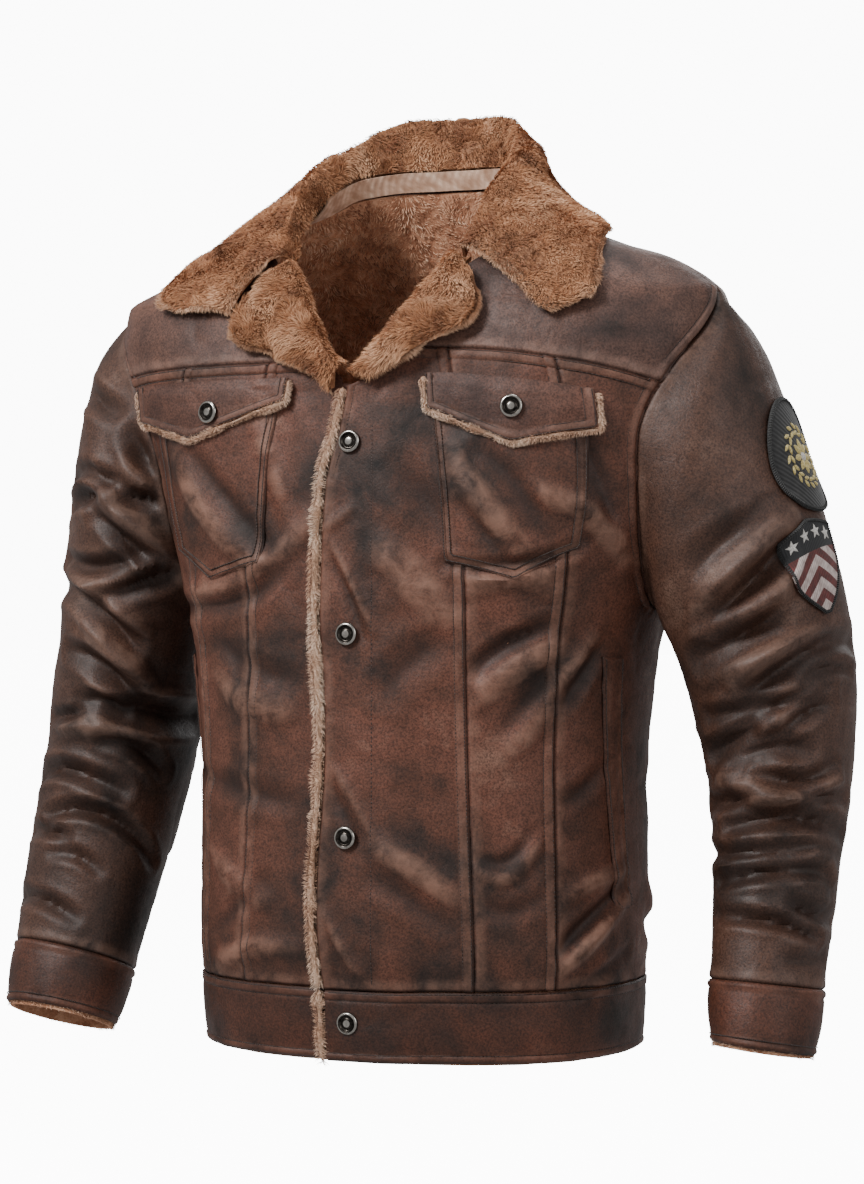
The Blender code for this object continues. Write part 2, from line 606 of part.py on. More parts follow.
def sleeve(side, station, turn, out=0.0):
    """Point of a creased sleeve, moved outwards by out."""
    lift = fold_lift(plain_sleeve(side, station, turn), SLEEVE_FOLD_LINES[side])
    lift *= smooth_step(0.0, 0.6, station) * (1.0 - smooth_step(11.3, 12.0, station))
    return plain_sleeve(side, station, turn, out + lift)


# ------------------------------------------------------------------ walls

def wall(name, finish_name, columns, rows, place, thickness, closed=False, outward=1.0):
    """A grid set on place(u, v), with u and v from 0 to 1, and thickened inwards.

    rows is a number of steps or a list of the values of v.
    """
    values = rows if isinstance(rows, list) else [i / rows for i in range(rows + 1)]
    bpy.ops.mesh.primitive_grid_add(x_subdivisions=columns, y_subdivisions=len(values) - 1,
                                    size=2.0, location=(0.0, 0.0, 0.0))
    piece = bpy.context.object
    for vertex in piece.data.vertices:
        u = 0.5 * (vertex.co.x + 1.0)
        row = round(0.5 * (vertex.co.y + 1.0) * (len(values) - 1))
        vertex.co = place(u, values[row])
    if closed:
        sheet = bmesh.new()
        sheet.from_mesh(piece.data)
        bmesh.ops.remove_doubles(sheet, verts=sheet.verts, dist=0.00005)
        sheet.to_mesh(piece.data)
        sheet.free()
    shell = piece.modifiers.new("wall", "SOLIDIFY")
    shell.thickness = thickness
    shell.offset = -outward
    return finish(piece, name, finish_name)


# heights of the rows that every panel below the yoke shares
PANEL_ROWS = [0.0538, 0.085, 0.122, 0.162, 0.202, 0.244, 0.288] + [
    height for height, _ in ARMHOLE_ROWS if height < 0.495]
YOKE_ARM_ROWS = [height for height, _ in ARMHOLE_ROWS if height > 0.522]
YOKE_TOP_ROWS = (0.583, 0.600, 0.618, 0.636)


def panel_height(row_value, top):
    """Height of a shared row; the last row of a panel lies on its top seam."""
    count = len(PANEL_ROWS)
    at = row_value * count
    if at >= count - 0.001:
        return top
    return PANEL_ROWS[int(round(at))]


PANEL_VALUES = [i / len(PANEL_ROWS) for i in range(len(PANEL_ROWS) + 1)]


def front_panel(name, side, low_edge, high_edge, columns, shade):
    """A front panel between two functions of the height that give angles from the front."""
    def place(u, v):
        share = u if side > 0 else 1.0 - u
        height = panel_height(v, 0.5)
        if height == 0.5:
            for _ in range(3):
                angle = between(low_edge(height), high_edge(height), share)
                height = yoke_seam(side, angle) - SEAM_GAP
        angle = between(low_edge(height), high_edge(height), share)
        return body(side * angle, height, lap(angle, side))
    return wall(name, shade, columns, PANEL_VALUES, place, LEATHER)


def half_gap(height):
    """Angle by which a panel stops short of an upright seam, so that its inner edge is clear."""
    return math.degrees(SEAM_GAP * 1.3 / read_body(height)[1])


def front_panels():
    for side, word in ((1, "left"), (-1, "right")):
        def centre_edge(height, side=side):
            front_edge = read_lap_edge(height)[1] if side > 0 else -UNDERLAP_EDGE
            if height < neck_height(0.0) - 0.004:
                return front_edge
            return max(front_edge, neck_angle(height, NECK_TURN))

        def inner(height, sign=1.0):
            return read_inner_seam(height)[1] + sign * half_gap(height)

        def outer(height, sign=1.0):
            return read_outer_seam(height)[1] + sign * half_gap(height)

        front_panel("front_centre_" + word, side, centre_edge, lambda h: inner(h, -1.0), 7,
                    "leather")
        front_panel("front_middle_" + word, side, inner, lambda h: outer(h, -1.0), 4,
                    "leather worn")
        front_panel("front_side_" + word, side, outer,
                    lambda h: side_angle(h, half_gap(h)), 5, "leather")


YOKE_START_LIMIT = 84.0      # the front yoke keeps some width at its top corner


def front_yokes():
    top = neck_height(90.0) - NECK_TURN
    for side, word in ((1, "left"), (-1, "right")):
        arm_seam = yoke_seam(side, 74.0) + SEAM_GAP
        rows = [arm_seam] + YOKE_ARM_ROWS + list(YOKE_TOP_ROWS) + [top]

        def place(u, v, side=side, rows=rows, arm_seam=arm_seam):
            share = u if side > 0 else 1.0 - u
            level = rows[int(round(v * (len(rows) - 1)))]
            keep = max(0.0, 1.0 - (level - arm_seam) / (SHOULDER_TIP - arm_seam))
            height = level
            for _ in range(4):
                start = min(neck_angle(height, NECK_TURN), YOKE_START_LIMIT)
                angle = between(start, side_angle(height, half_gap(height)), share)
                height = level + (yoke_seam(side, angle) + SEAM_GAP - arm_seam) * keep
            return body(side * angle, height, lap(angle, side))
        wall("front_yoke_" + word, "leather", 8, len(rows) - 1, place, LEATHER)


YOKE_RISE = (0.22, 0.45, 0.70, 1.0)      # rows of the back between the shoulder and the neck


def back_pieces():
    def panel_place(u, v):
        height = panel_height(v, BACK_YOKE_SEAM - SEAM_GAP)
        reach = side_angle(height, half_gap(height))
        return body(between(180.0 - reach, 180.0 + reach, u), height)
    wall("back_panel", "leather", 12, PANEL_VALUES, panel_place, LEATHER)

    low_rows = [BACK_YOKE_SEAM + SEAM_GAP] + YOKE_ARM_ROWS

    def yoke_place(u, v):
        row = int(round(v * (len(low_rows) + len(YOKE_RISE) - 1)))
        angle = between(90.0, 270.0, u)
        for _ in range(4):
            if row < len(low_rows):
                height = low_rows[row]
            else:
                height = between(SHOULDER_TIP, neck_height(angle) - NECK_TURN,
                                 YOKE_RISE[row - len(low_rows)])
            reach = side_angle(height, half_gap(height))
            angle = between(180.0 - reach, 180.0 + reach, u)
        return body(angle, height)
    wall("back_yoke", "leather", 14, len(low_rows) + len(YOKE_RISE) - 1, yoke_place, LEATHER)


BAND_EDGE = LAP_EDGE[0][1]


def band_turn(u):
    """Angle round the waistband, from the lapping end round the back to the end beneath."""
    return between(BAND_EDGE, 360.0 + UNDERLAP_EDGE, u)


def waistband():
    def place(u, v):
        angle = band_turn(u)
        lift = lap(angle, 1) if angle < 180.0 else 0.0
        height = between(0.0, BAND_HEIGHT - 2.0 * SEAM_GAP, v)
        bulge = 0.0010 * math.sin(math.pi * v)
        return body(angle, height, lift + bulge)
    wall("waistband", "leather worn", 40, [0.0, 0.15, 0.85, 1.0], place, LEATHER)


def body_lining():
    """Fleece inside the body, from just below the hem to the neck and the armholes."""
    depth = -(LEATHER + LINING_GAP)
    split = UNDERARM - 0.008

    def lined(angle, height):
        return plain_body(angle, height) + body_normal(angle, height) * depth

    def lower_place(u, v):
        return lined(between(0.15, 359.85, u), between(-HEM_FLEECE, split, v))
    wall("body_lining", "fleece", 26, 5, lower_place, FLEECE)

    low_rows = [split + SEAM_GAP * 4.0, 0.380, 0.430, 0.480, BACK_YOKE_SEAM] + YOKE_ARM_ROWS[1:]

    def back_place(u, v):
        row = int(round(v * (len(low_rows) + len(YOKE_RISE) - 1)))
        angle = between(90.0, 270.0, u)
        for _ in range(4):
            if row < len(low_rows):
                height = low_rows[row]
            else:
                height = between(SHOULDER_TIP, neck_height(angle) - LINING_TURN,
                                 YOKE_RISE[row - len(low_rows)])
            limit = 90.0 - max(arm_angle(height, 0.006), 0.5)
            angle = between(180.0 - limit, 180.0 + limit, u)
        return lined(angle, height)
    wall("back_lining", "fleece", 14, len(low_rows) + len(YOKE_RISE) - 1, back_place, FLEECE)

    for side, word in ((1, "left"), (-1, "right")):
        def front_place(u, v, side=side):
            share = u if side > 0 else 1.0 - u
            height = between(split + SEAM_GAP * 4.0, neck_height(90.0) - LINING_TURN, v)
            limit = 90.0 - max(arm_angle(height, 0.006), 0.5)
            start = 0.15
            if height > neck_height(0.0) - LINING_TURN:
                start = neck_angle(height + 0.004, LINING_TURN)
            return lined(side * between(start, limit, share), height)
        wall("front_lining_" + word, "fleece", 5, 8, front_place, FLEECE)


def sleeve_pieces():
    rows = 30
    for side, word in ((1, "left"), (-1, "right")):
        def place(u, v, side=side):
            station = between(0.02, CUFF_STATION - 0.008, v)
            return sleeve(side, station, 360.0 * (1.0 - u if side > 0 else u))
        wall("sleeve_" + word, "leather", SLEEVE_COLUMNS, rows, place, LEATHER, closed=True)

        def cuff_place(u, v, side=side):
            station = between(CUFF_STATION + 0.008, LAST_STATION, v)
            bulge = 0.0016 * math.sin(math.pi * min(1.0, v * 1.2))
            return ring_point(side, station, 360.0 * (1.0 - u if side > 0 else u), bulge)
        wall("cuff_" + word, "leather worn", 20, [0.0, 0.15, 0.85, 1.0], cuff_place, LEATHER,
             closed=True)

        def lining_place(u, v, side=side):
            station = between(CUFF_STATION + 0.30, LAST_STATION, v)
            drop = -(LEATHER + LAYER_GAP)
            point = ring_point(side, station, 360.0 * (1.0 - u if side > 0 else u), drop)
            if v > 0.99:
                point += Vector((0.0, -0.0008, -0.0024))
            return point
        wall("cuff_lining_" + word, "fleece", 20, 2, lining_place, FLEECE, closed=True)


# ------------------------------------------------------------------ collar and lapels

def collar_row(along):
    """Sewn edge, fold and free edge of the collar; along runs from -1 to 1 across the back."""
    half = abs(along) * (len(COLLAR) - 1)
    row = read_collar(half)
    flip = 1.0 if along >= 0.0 else -1.0
    points = []
    for i in (1, 4, 7):
        points.append(Vector((row[i] * flip + COLLAR_SHIFT, row[i + 1], row[i + 2] - NECK_HEIGHT)))
    return points




def fold_curve(seam, fold, edge, t):
    """Section of the collar: up from the seam, over a round fold and down to the edge."""
    turn_share = 0.42
    if t < turn_share:
        s = t / turn_share
        rise = fold - seam
        bow = (edge - fold).normalized() * (-0.10 * rise.length)
        return seam + rise * math.sin(0.5 * math.pi * s) + bow * math.sin(math.pi * s) * 0.6
    s = (t - turn_share) / (1.0 - turn_share)
    out = Vector((edge.x - fold.x, edge.y - fold.y, 0.0))
    fall = edge - fold
    sag = COLLAR_SAG * smooth_step(-0.06, 0.02, fold.y)
    lift = Vector((0.0, 0.0, -sag)) * out.length + out.normalized() * COLLAR_ROUND
    return fold + fall * s + lift * math.sin(math.pi * min(1.0, s)) * (1.0 - s) ** 0.8


def body_tree():
    """The body's surface as a tree that finds the nearest place on it."""
    angles = range(0, 360, 5)
    heights = [0.40 + 0.01 * i for i in range(29)]
    points = [plain_body(angle, height) for height in heights for angle in angles]
    count = len(angles)
    faces = [(row * count + i, row * count + (i + 1) % count,
              (row + 1) * count + (i + 1) % count, (row + 1) * count + i)
             for row in range(len(heights) - 1) for i in range(count)]
    return BVHTree.FromPolygons(points, faces)


def clear_of_body(tree, point, distance):
    """Move a point outwards until it is the given distance off the body."""
    place, normal, _, _ = tree.find_nearest(point)
    short = distance - (point - place).dot(normal)
    return point + normal * short if short > 0.0 else point


def collar():
    tree = body_tree()

    def place(u, v):
        seam, fold, edge = collar_row(between(-1.0, 1.0, u))
        point = fold_curve(seam, fold, edge, v)
        stand_off = (PILE + 0.0035) * smooth_step(0.34, 0.50, v)
        return clear_of_body(tree, point, stand_off) if v > 0.36 else point
    rows = [0.0, 0.14, 0.28, 0.38, 0.44, 0.52, 0.64, 0.82, 1.0]
    wall("collar", "fleece", 28, rows, place, PILE)


def lapels():
    for side, word in ((1, "left"), (-1, "right")):
        read_edge = smooth_table(LAPELS[side])

        def place(u, v, side=side, read_edge=read_edge):
            down = v
            angle = between(LAPEL_TOP_ANGLE, LAPEL_END_ANGLE[side], down)
            height = neck_height(angle)
            _, edge_angle, edge_height = read_edge(down)
            across = u if side > 0 else 1.0 - u
            inside_part = 0.25
            base = lap(angle, side)
            if across < inside_part:
                s = across / inside_part
                back_step = LINING_TURN * 0.75 * (1.0 - s)
                out = base + between(-(LEATHER + LAYER_GAP + 0.001), PILE * 0.5, s * s)
                turn = math.degrees(back_step / 0.12)
                return body(side * (angle + turn), height, out)
            s = (across - inside_part) / (1.0 - inside_part)
            out = base + PILE + LAYER_GAP + 0.0010 + 0.004 * math.sin(math.pi * s)
            return body(side * between(angle, edge_angle, s), between(height, edge_height, s), out)
        wall("lapel_" + word, "fleece", 6, 9, place, LAPEL_PILE)


def neck_tape():
    depth = -(LEATHER + LINING_GAP + FLEECE + LAYER_GAP)

    def place(u, v):
        angle = between(102.0, 258.0, u)
        height = neck_height(angle) + between(-0.010, 0.005, v)
        return plain_body(angle, height) + body_normal(angle, height) * depth
    wall("neck_tape", "tape", 16, 2, place, TAPE)


# ------------------------------------------------------------------ edges, pockets, hardware

def roll(name, points, radius):
    """A fleece roll: a curve with filled caps through the given points."""
    data = bpy.data.curves.new(name, "CURVE")
    data.dimensions = "3D"
    data.bevel_depth = radius
    data.bevel_resolution = 2
    data.use_fill_caps = True
    line = data.splines.new("POLY")
    line.points.add(len(points) - 1)
    for spot, point in zip(line.points, points):
        spot.co = (*point, 1.0)
    piece = bpy.data.objects.new(name, data)
    bpy.context.scene.collection.objects.link(piece)
    return finish(piece, name, "fleece")


def front_edge_rolls():
    """The fleece that shows along the lapping front, from the V to the hem."""
    beyond = math.degrees((EDGE_ROLL + SEAM_GAP * 3.0) / 0.14)
    out = LAP_LIFT - 0.5 * LEATHER

    def line(heights):
        return [body(read_lap_edge(max(height, 0.0))[1] - beyond, height, out)
                for height in heights]
    roll("front_edge_fleece", line([BAND_HEIGHT + 0.0006] + PANEL_ROWS[1:] + [0.500]), EDGE_ROLL)
    roll("band_edge_fleece", line([-0.0015, 0.018, 0.036, BAND_HEIGHT - 0.0006]),
         EDGE_ROLL * 0.9)


def flap_low(row, angle):
    """Height of a flap's lower edge at an angle: two straight runs that meet at the point."""
    inner, point, outer = row[0:3]
    low_inner, low_point, low_outer = row[5:8]
    if angle < point:
        share = (angle - inner) / (point - inner)
        return between(low_inner, low_point, share ** 1.2)
    share = (outer - angle) / (outer - point)
    return between(low_outer, low_point, share ** 1.2)


def flap_top(row, angle):
    inner, outer, top_inner, top_outer = row[0], row[2], row[3], row[4]
    share = (angle - inner) / (outer - inner)
    return between(top_inner, top_outer, share * share)


POCKET_OUT = LAYER_GAP + LEATHER
FLAP_OUT = POCKET_OUT + LAYER_GAP + LEATHER


def pockets_and_flaps():
    for side, word in ((1, "left"), (-1, "right")):
        flap_row = FLAPS[side]
        it, il, ot, ol, top, low_inner, low_point, low_outer = POCKETS[side]

        def pocket_place(u, v, side=side):
            share = u if side > 0 else 1.0 - u
            low_angle = between(il, ol, share)
            point_share = 0.55
            if share < point_share:
                low = between(low_inner, low_point, (share / point_share) ** 1.2)
            else:
                rest = (1.0 - share) / (1.0 - point_share)
                low = between(low_outer, low_point, rest ** 1.2)
            angle = between(low_angle, between(it, ot, share), v)
            return body(side * angle, between(low, top, v), POCKET_OUT + lap(angle, side))
        wall("pocket_" + word, "leather", 8, 6, pocket_place, LEATHER)

        def flap_place(u, v, side=side, row=flap_row):
            share = u if side > 0 else 1.0 - u
            angle = between(row[0], row[2], share)
            height = between(flap_low(row, angle), flap_top(row, angle), v)
            return body(side * angle, height, FLAP_OUT + lap(angle, side))
        wall("flap_" + word, "leather worn", 10, 3, flap_place, LEATHER)

        roll_points = []
        clear = FLAP_ROLL + SEAM_GAP * 7.0
        out = POCKET_OUT + FLAP_ROLL + 0.0008
        inner, point, outer = flap_row[0:3]
        pad = math.degrees(clear / 0.165)
        for v in (0.85, 0.45, 0.10):
            height = between(flap_low(flap_row, inner), flap_top(flap_row, inner), v)
            roll_points.append(body(side * (inner - pad), height, out + lap(inner, side)))
        steps = 8
        for i in range(steps + 1):
            angle = between(inner, outer, i / steps)
            roll_points.append(body(side * angle, flap_low(flap_row, angle) - clear,
                                    out + lap(angle, side)))
        for v in (0.10, 0.45, 0.85):
            height = between(flap_low(flap_row, outer), flap_top(flap_row, outer), v)
            roll_points.append(body(side * (outer + pad), height, out))
        roll("flap_fleece_" + word, roll_points, FLAP_ROLL)


def welts():
    top, bottom, front_top, front_bottom, width = WELT
    for side, word in ((1, "left"), (-1, "right")):
        def place(u, v, side=side):
            share = u if side > 0 else 1.0 - u
            angle = between(front_bottom, front_top, v) + math.degrees(width * share / 0.19)
            return body(side * angle, between(bottom, top, v), POCKET_OUT + SEAM_GAP * 2.0)
        wall("welt_" + word, "leather", 2, 8, place, LEATHER)


def snap(name, middle, outward):
    """A snap cap: its profile turned about an axis that points out of the cloth."""
    data = bpy.data.meshes.new(name)
    rim = bmesh.new()
    corners = [rim.verts.new((radius, 0.0, height)) for radius, height in SNAP_PROFILE]
    for first, second in zip(corners, corners[1:]):
        rim.edges.new((first, second))
    rim.to_mesh(data)
    rim.free()
    piece = bpy.data.objects.new(name, data)
    bpy.context.scene.collection.objects.link(piece)
    turn = piece.modifiers.new("turned", "SCREW")
    turn.angle = math.tau
    turn.steps = 12
    turn.render_steps = 12
    turn.use_merge_vertices = True
    turn.merge_threshold = 0.00005
    turn.use_normal_calculate = True
    piece.location = middle
    piece.rotation_mode = "QUATERNION"
    piece.rotation_quaternion = outward.to_track_quat("Z", "Y")
    return finish(piece, name, "snap metal")


def snaps():
    for number, (height, seat) in enumerate(SNAPS, start=1):
        outward = body_normal(SNAP_ANGLE, height)
        foot = body(SNAP_ANGLE, height, lap(SNAP_ANGLE, 1) + seat)
        snap("snap_%d" % number, foot, outward)
    for side, word in ((1, "left"), (-1, "right")):
        angle, height = FLAP_SNAPS[side]
        outward = body_normal(side * angle, height)
        snap("flap_snap_" + word, body(side * angle, height, FLAP_OUT + FLAP_SNAP_SEAT), outward)


def sleeve_normal(side, station, turn):
    down = sleeve(side, station + 0.05, turn) - sleeve(side, station - 0.05, turn)
    aside = sleeve(side, station, turn + 2.0) - sleeve(side, station, turn - 2.0)
    return (down.cross(aside) * side).normalized()


def badge_point(side, place, right, up, out):
    """Point of a sleeve badge from its own flat sizes: right and up in metres."""
    station = place["along"] - up / STATION_LENGTH
    turn = place["round"] + math.degrees(right / 0.074)
    point = sleeve(side, station, turn)
    normal = sleeve_normal(side, station, turn)
    return point + normal * out


def badges():
    out = BADGE_GAP + BADGE_THICKNESS

    def round_place(u, v):
        x, y = between(-1.0, 1.0, u), between(-1.0, 1.0, v)
        radius = ROUND_BADGE["radius"]
        right = x * math.sqrt(1.0 - 0.5 * y * y) * radius
        up = y * math.sqrt(1.0 - 0.5 * x * x) * radius
        return badge_point(1, ROUND_BADGE, right, up, out)
    wall("badge_round", "badge cloth", 6, 6, round_place, BADGE_THICKNESS)

    def shield_place(u, v):
        drop = 1.0 - v
        width = 1.0 - max(0.0, (drop - 0.35) / 0.65) ** 2.0 * 0.94
        right = between(-1.0, 1.0, u) * SHIELD_BADGE["half_width"] * width
        peak = 0.10 * abs(between(-1.0, 1.0, u)) * (1.0 - drop)
        up = (0.5 - drop - peak) * SHIELD_BADGE["height"]
        return badge_point(1, SHIELD_BADGE, right, up, out)
    wall("badge_shield", "badge cloth", 4, 6, shield_place, BADGE_THICKNESS)


def main():
    clear_scene()
    front_panels()
    front_yokes()
    back_pieces()
    waistband()
    body_lining()
    sleeve_pieces()
    collar()
    lapels()
    neck_tape()
    front_edge_rolls()
    pockets_and_flaps()
    welts()
    snaps()
    badges()


main()
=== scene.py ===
"""Leather jacket with a folded fleece collar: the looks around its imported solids.

Lengths are metres, +Z is up, the front faces -Y and the wearer's left is +X.  Heights in the
tables are measured from the hem.  A place on the body is an angle round it (0 at the front,
90 at the wearer's left side, 180 at the back) and a height.  A place on a sleeve is a station
down its rings and an angle round it (0 on the outer side, 90 at the back, 270 at the front).
"""

import json
import math

import bmesh
import bpy
import numpy as np
from bpy.props import FloatProperty, FloatVectorProperty, PointerProperty
from mathutils import Matrix, Vector
from mathutils.bvhtree import BVHTree

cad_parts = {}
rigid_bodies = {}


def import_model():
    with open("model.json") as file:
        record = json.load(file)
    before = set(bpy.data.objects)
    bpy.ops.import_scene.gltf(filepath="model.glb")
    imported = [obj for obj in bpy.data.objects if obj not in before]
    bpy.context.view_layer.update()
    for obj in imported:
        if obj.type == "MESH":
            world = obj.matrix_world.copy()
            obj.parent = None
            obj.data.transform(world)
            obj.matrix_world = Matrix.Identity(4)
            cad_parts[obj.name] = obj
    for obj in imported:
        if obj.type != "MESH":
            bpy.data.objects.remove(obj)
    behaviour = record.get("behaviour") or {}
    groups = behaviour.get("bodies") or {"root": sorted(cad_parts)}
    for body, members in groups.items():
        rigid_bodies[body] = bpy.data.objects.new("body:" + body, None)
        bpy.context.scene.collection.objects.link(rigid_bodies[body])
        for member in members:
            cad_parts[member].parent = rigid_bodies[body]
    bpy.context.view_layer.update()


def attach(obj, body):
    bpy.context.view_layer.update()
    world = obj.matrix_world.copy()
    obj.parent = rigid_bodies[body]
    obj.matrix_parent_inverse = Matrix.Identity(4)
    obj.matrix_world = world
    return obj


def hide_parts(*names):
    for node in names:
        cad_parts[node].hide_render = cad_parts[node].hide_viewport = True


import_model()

bl_info = {
    "name": "Leather jacket",
    "version": (1, 0, 0),
    "blender": (4, 5, 0),
    "location": "3D View > Sidebar > Jacket",
    "description": "Models the finish of a worn leather jacket with a fleece collar",
    "category": "Add Mesh",
}

# ------------------------------------------------------------------ sizes of the cut

NECK_HEIGHT = 0.660          # height of the origin above the hem
SEAM_GAP = 0.0001            # space between two pieces at a seam
ARM_TUCK = 1.7               # degrees that a body panel runs on under the sleeve
LAYER_GAP = 0.0010           # space between a piece and what lies on it
LEATHER = 0.0022             # thickness of the leather
FLEECE = 0.0040              # thickness of the flat fleece lining
PILE = 0.0060                # thickness of the collar fleece
LAPEL_PILE = 0.0040          # thickness of the lapels
TAPE = 0.0012                # thickness of the neck tape
PANEL_WALL = LEATHER * 0.8   # thickness of the leather walls built here
PATCH_WALL = LEATHER * 0.7   # of the pockets and welts, which lie on the panels
FRONT_RADIUS = 0.14          # of the body under the front edge, to turn a length into an angle
BODY_RADIUS = 0.165          # under the flaps
WELT_RADIUS = 0.19           # at the side pockets
SLEEVE_RADIUS = 0.074        # of the sleeve under the badges
BAND_HEIGHT = 0.0535         # top of the waistband
HEM_FLEECE = 0.0022          # how far the lining shows under the hem
NECK_TURN = 0.0095           # how far the leather stops short of the neck's fold
LINING_TURN = 0.0120         # how far the lining stops short of it
LINING_GAP = 0.0045          # space for the creases between the leather and the lining
LAP_LIFT = 0.0062            # how far the lapping left front stands off the right one
UNDERLAP_EDGE = 8.5          # angle of the edge that lies beneath it
LAP_FADE = (11.0, 30.0)      # angles between which the lift dies away
EDGE_ROLL = 0.0040           # radius of the fleece roll along the front edge

# sections of the body; columns: height, left, right, front, side, back, squareness
BODY = (
    (-0.010, 0.169, 0.169, -0.135, 0.000, 0.123, 2.30),
    (0.000, 0.1705, 0.1705, -0.136, 0.000, 0.124, 2.30),
    (0.050, 0.174, 0.174, -0.139, 0.000, 0.126, 2.30),
    (0.085, 0.176, 0.176, -0.143, 0.000, 0.129, 2.30),
    (0.200, 0.176, 0.175, -0.140, 0.000, 0.124, 2.30),
    (0.300, 0.184, 0.181, -0.139, 0.000, 0.126, 2.40),
    (0.337, 0.193, 0.188, -0.139, 0.000, 0.129, 2.50),
    (0.380, 0.209, 0.195, -0.138, -0.002, 0.131, 2.60),
    (0.420, 0.222, 0.204, -0.137, -0.003, 0.132, 2.65),
    (0.467, 0.232, 0.218, -0.133, -0.006, 0.131, 2.70),
    (0.520, 0.244, 0.238, -0.126, -0.012, 0.125, 2.60),
    (0.545, 0.250, 0.2455, -0.119, -0.017, 0.120, 2.50),
    (0.560, 0.2505, 0.2440, -0.114, -0.020, 0.115, 2.38),
    (0.5725, 0.2480, 0.2420, -0.108, -0.022, 0.110, 2.25),
    (0.583, 0.237, 0.224, -0.104, -0.022, 0.106, 2.15),
    (0.600, 0.208, 0.182, -0.0955, -0.021, 0.098, 2.05),
    (0.611, 0.174, 0.158, -0.090, -0.019, 0.095, 2.00),
    (0.622, 0.146, 0.138, -0.084, -0.017, 0.091, 2.00),
    (0.643, 0.112, 0.110, -0.074, -0.011, 0.084, 2.00),
    (0.660, 0.094, 0.094, -0.066, -0.007, 0.078, 2.00),
    (0.690, 0.086, 0.086, -0.061, -0.003, 0.071, 2.00),
)

# the neck's fold line: angle round the body and height
NECKLINE = (
    (0.0, 0.507), (7.0, 0.520), (20.8, 0.552), (33.0, 0.580), (47.6, 0.605),
    (64.0, 0.630), (84.0, 0.651), (100.0, 0.663), (120.0, 0.674), (150.0, 0.680),
    (180.0, 0.681),
)

ARMHOLE_MIDDLE = 0.4545
ARMHOLE_HALF = 0.118
ARMHOLE_ANGLE = 20.5
ARMHOLE_TOP_ROUND = 0.12
SHOULDER_TIP = ARMHOLE_MIDDLE + ARMHOLE_HALF
UNDERARM = ARMHOLE_MIDDLE - ARMHOLE_HALF

# seams: height and angle of the lapping edge and of the upright seams
LAP_EDGE = ((0.0, -6.8), (0.055, -7.6), (0.12, -9.2), (0.24, -7.0), (0.342, -9.0),
            (0.43, -7.8), (0.466, -4.2), (0.504, -1.4))
INNER_SEAM = ((0.0, 38.0), (0.36, 34.5), (0.55, 33.5))
OUTER_SEAM = ((0.0, 59.0), (0.36, 57.5), (0.55, 57.0))
# the front yoke's seam: angle and height
FRONT_YOKE_SEAM = {
    1: ((8.0, 0.532), (44.0, 0.527), (60.0, 0.518), (74.0, 0.502)),
    -1: ((8.0, 0.522), (44.0, 0.521), (60.0, 0.520), (74.0, 0.517)),
}
BACK_YOKE_SEAM = 0.520

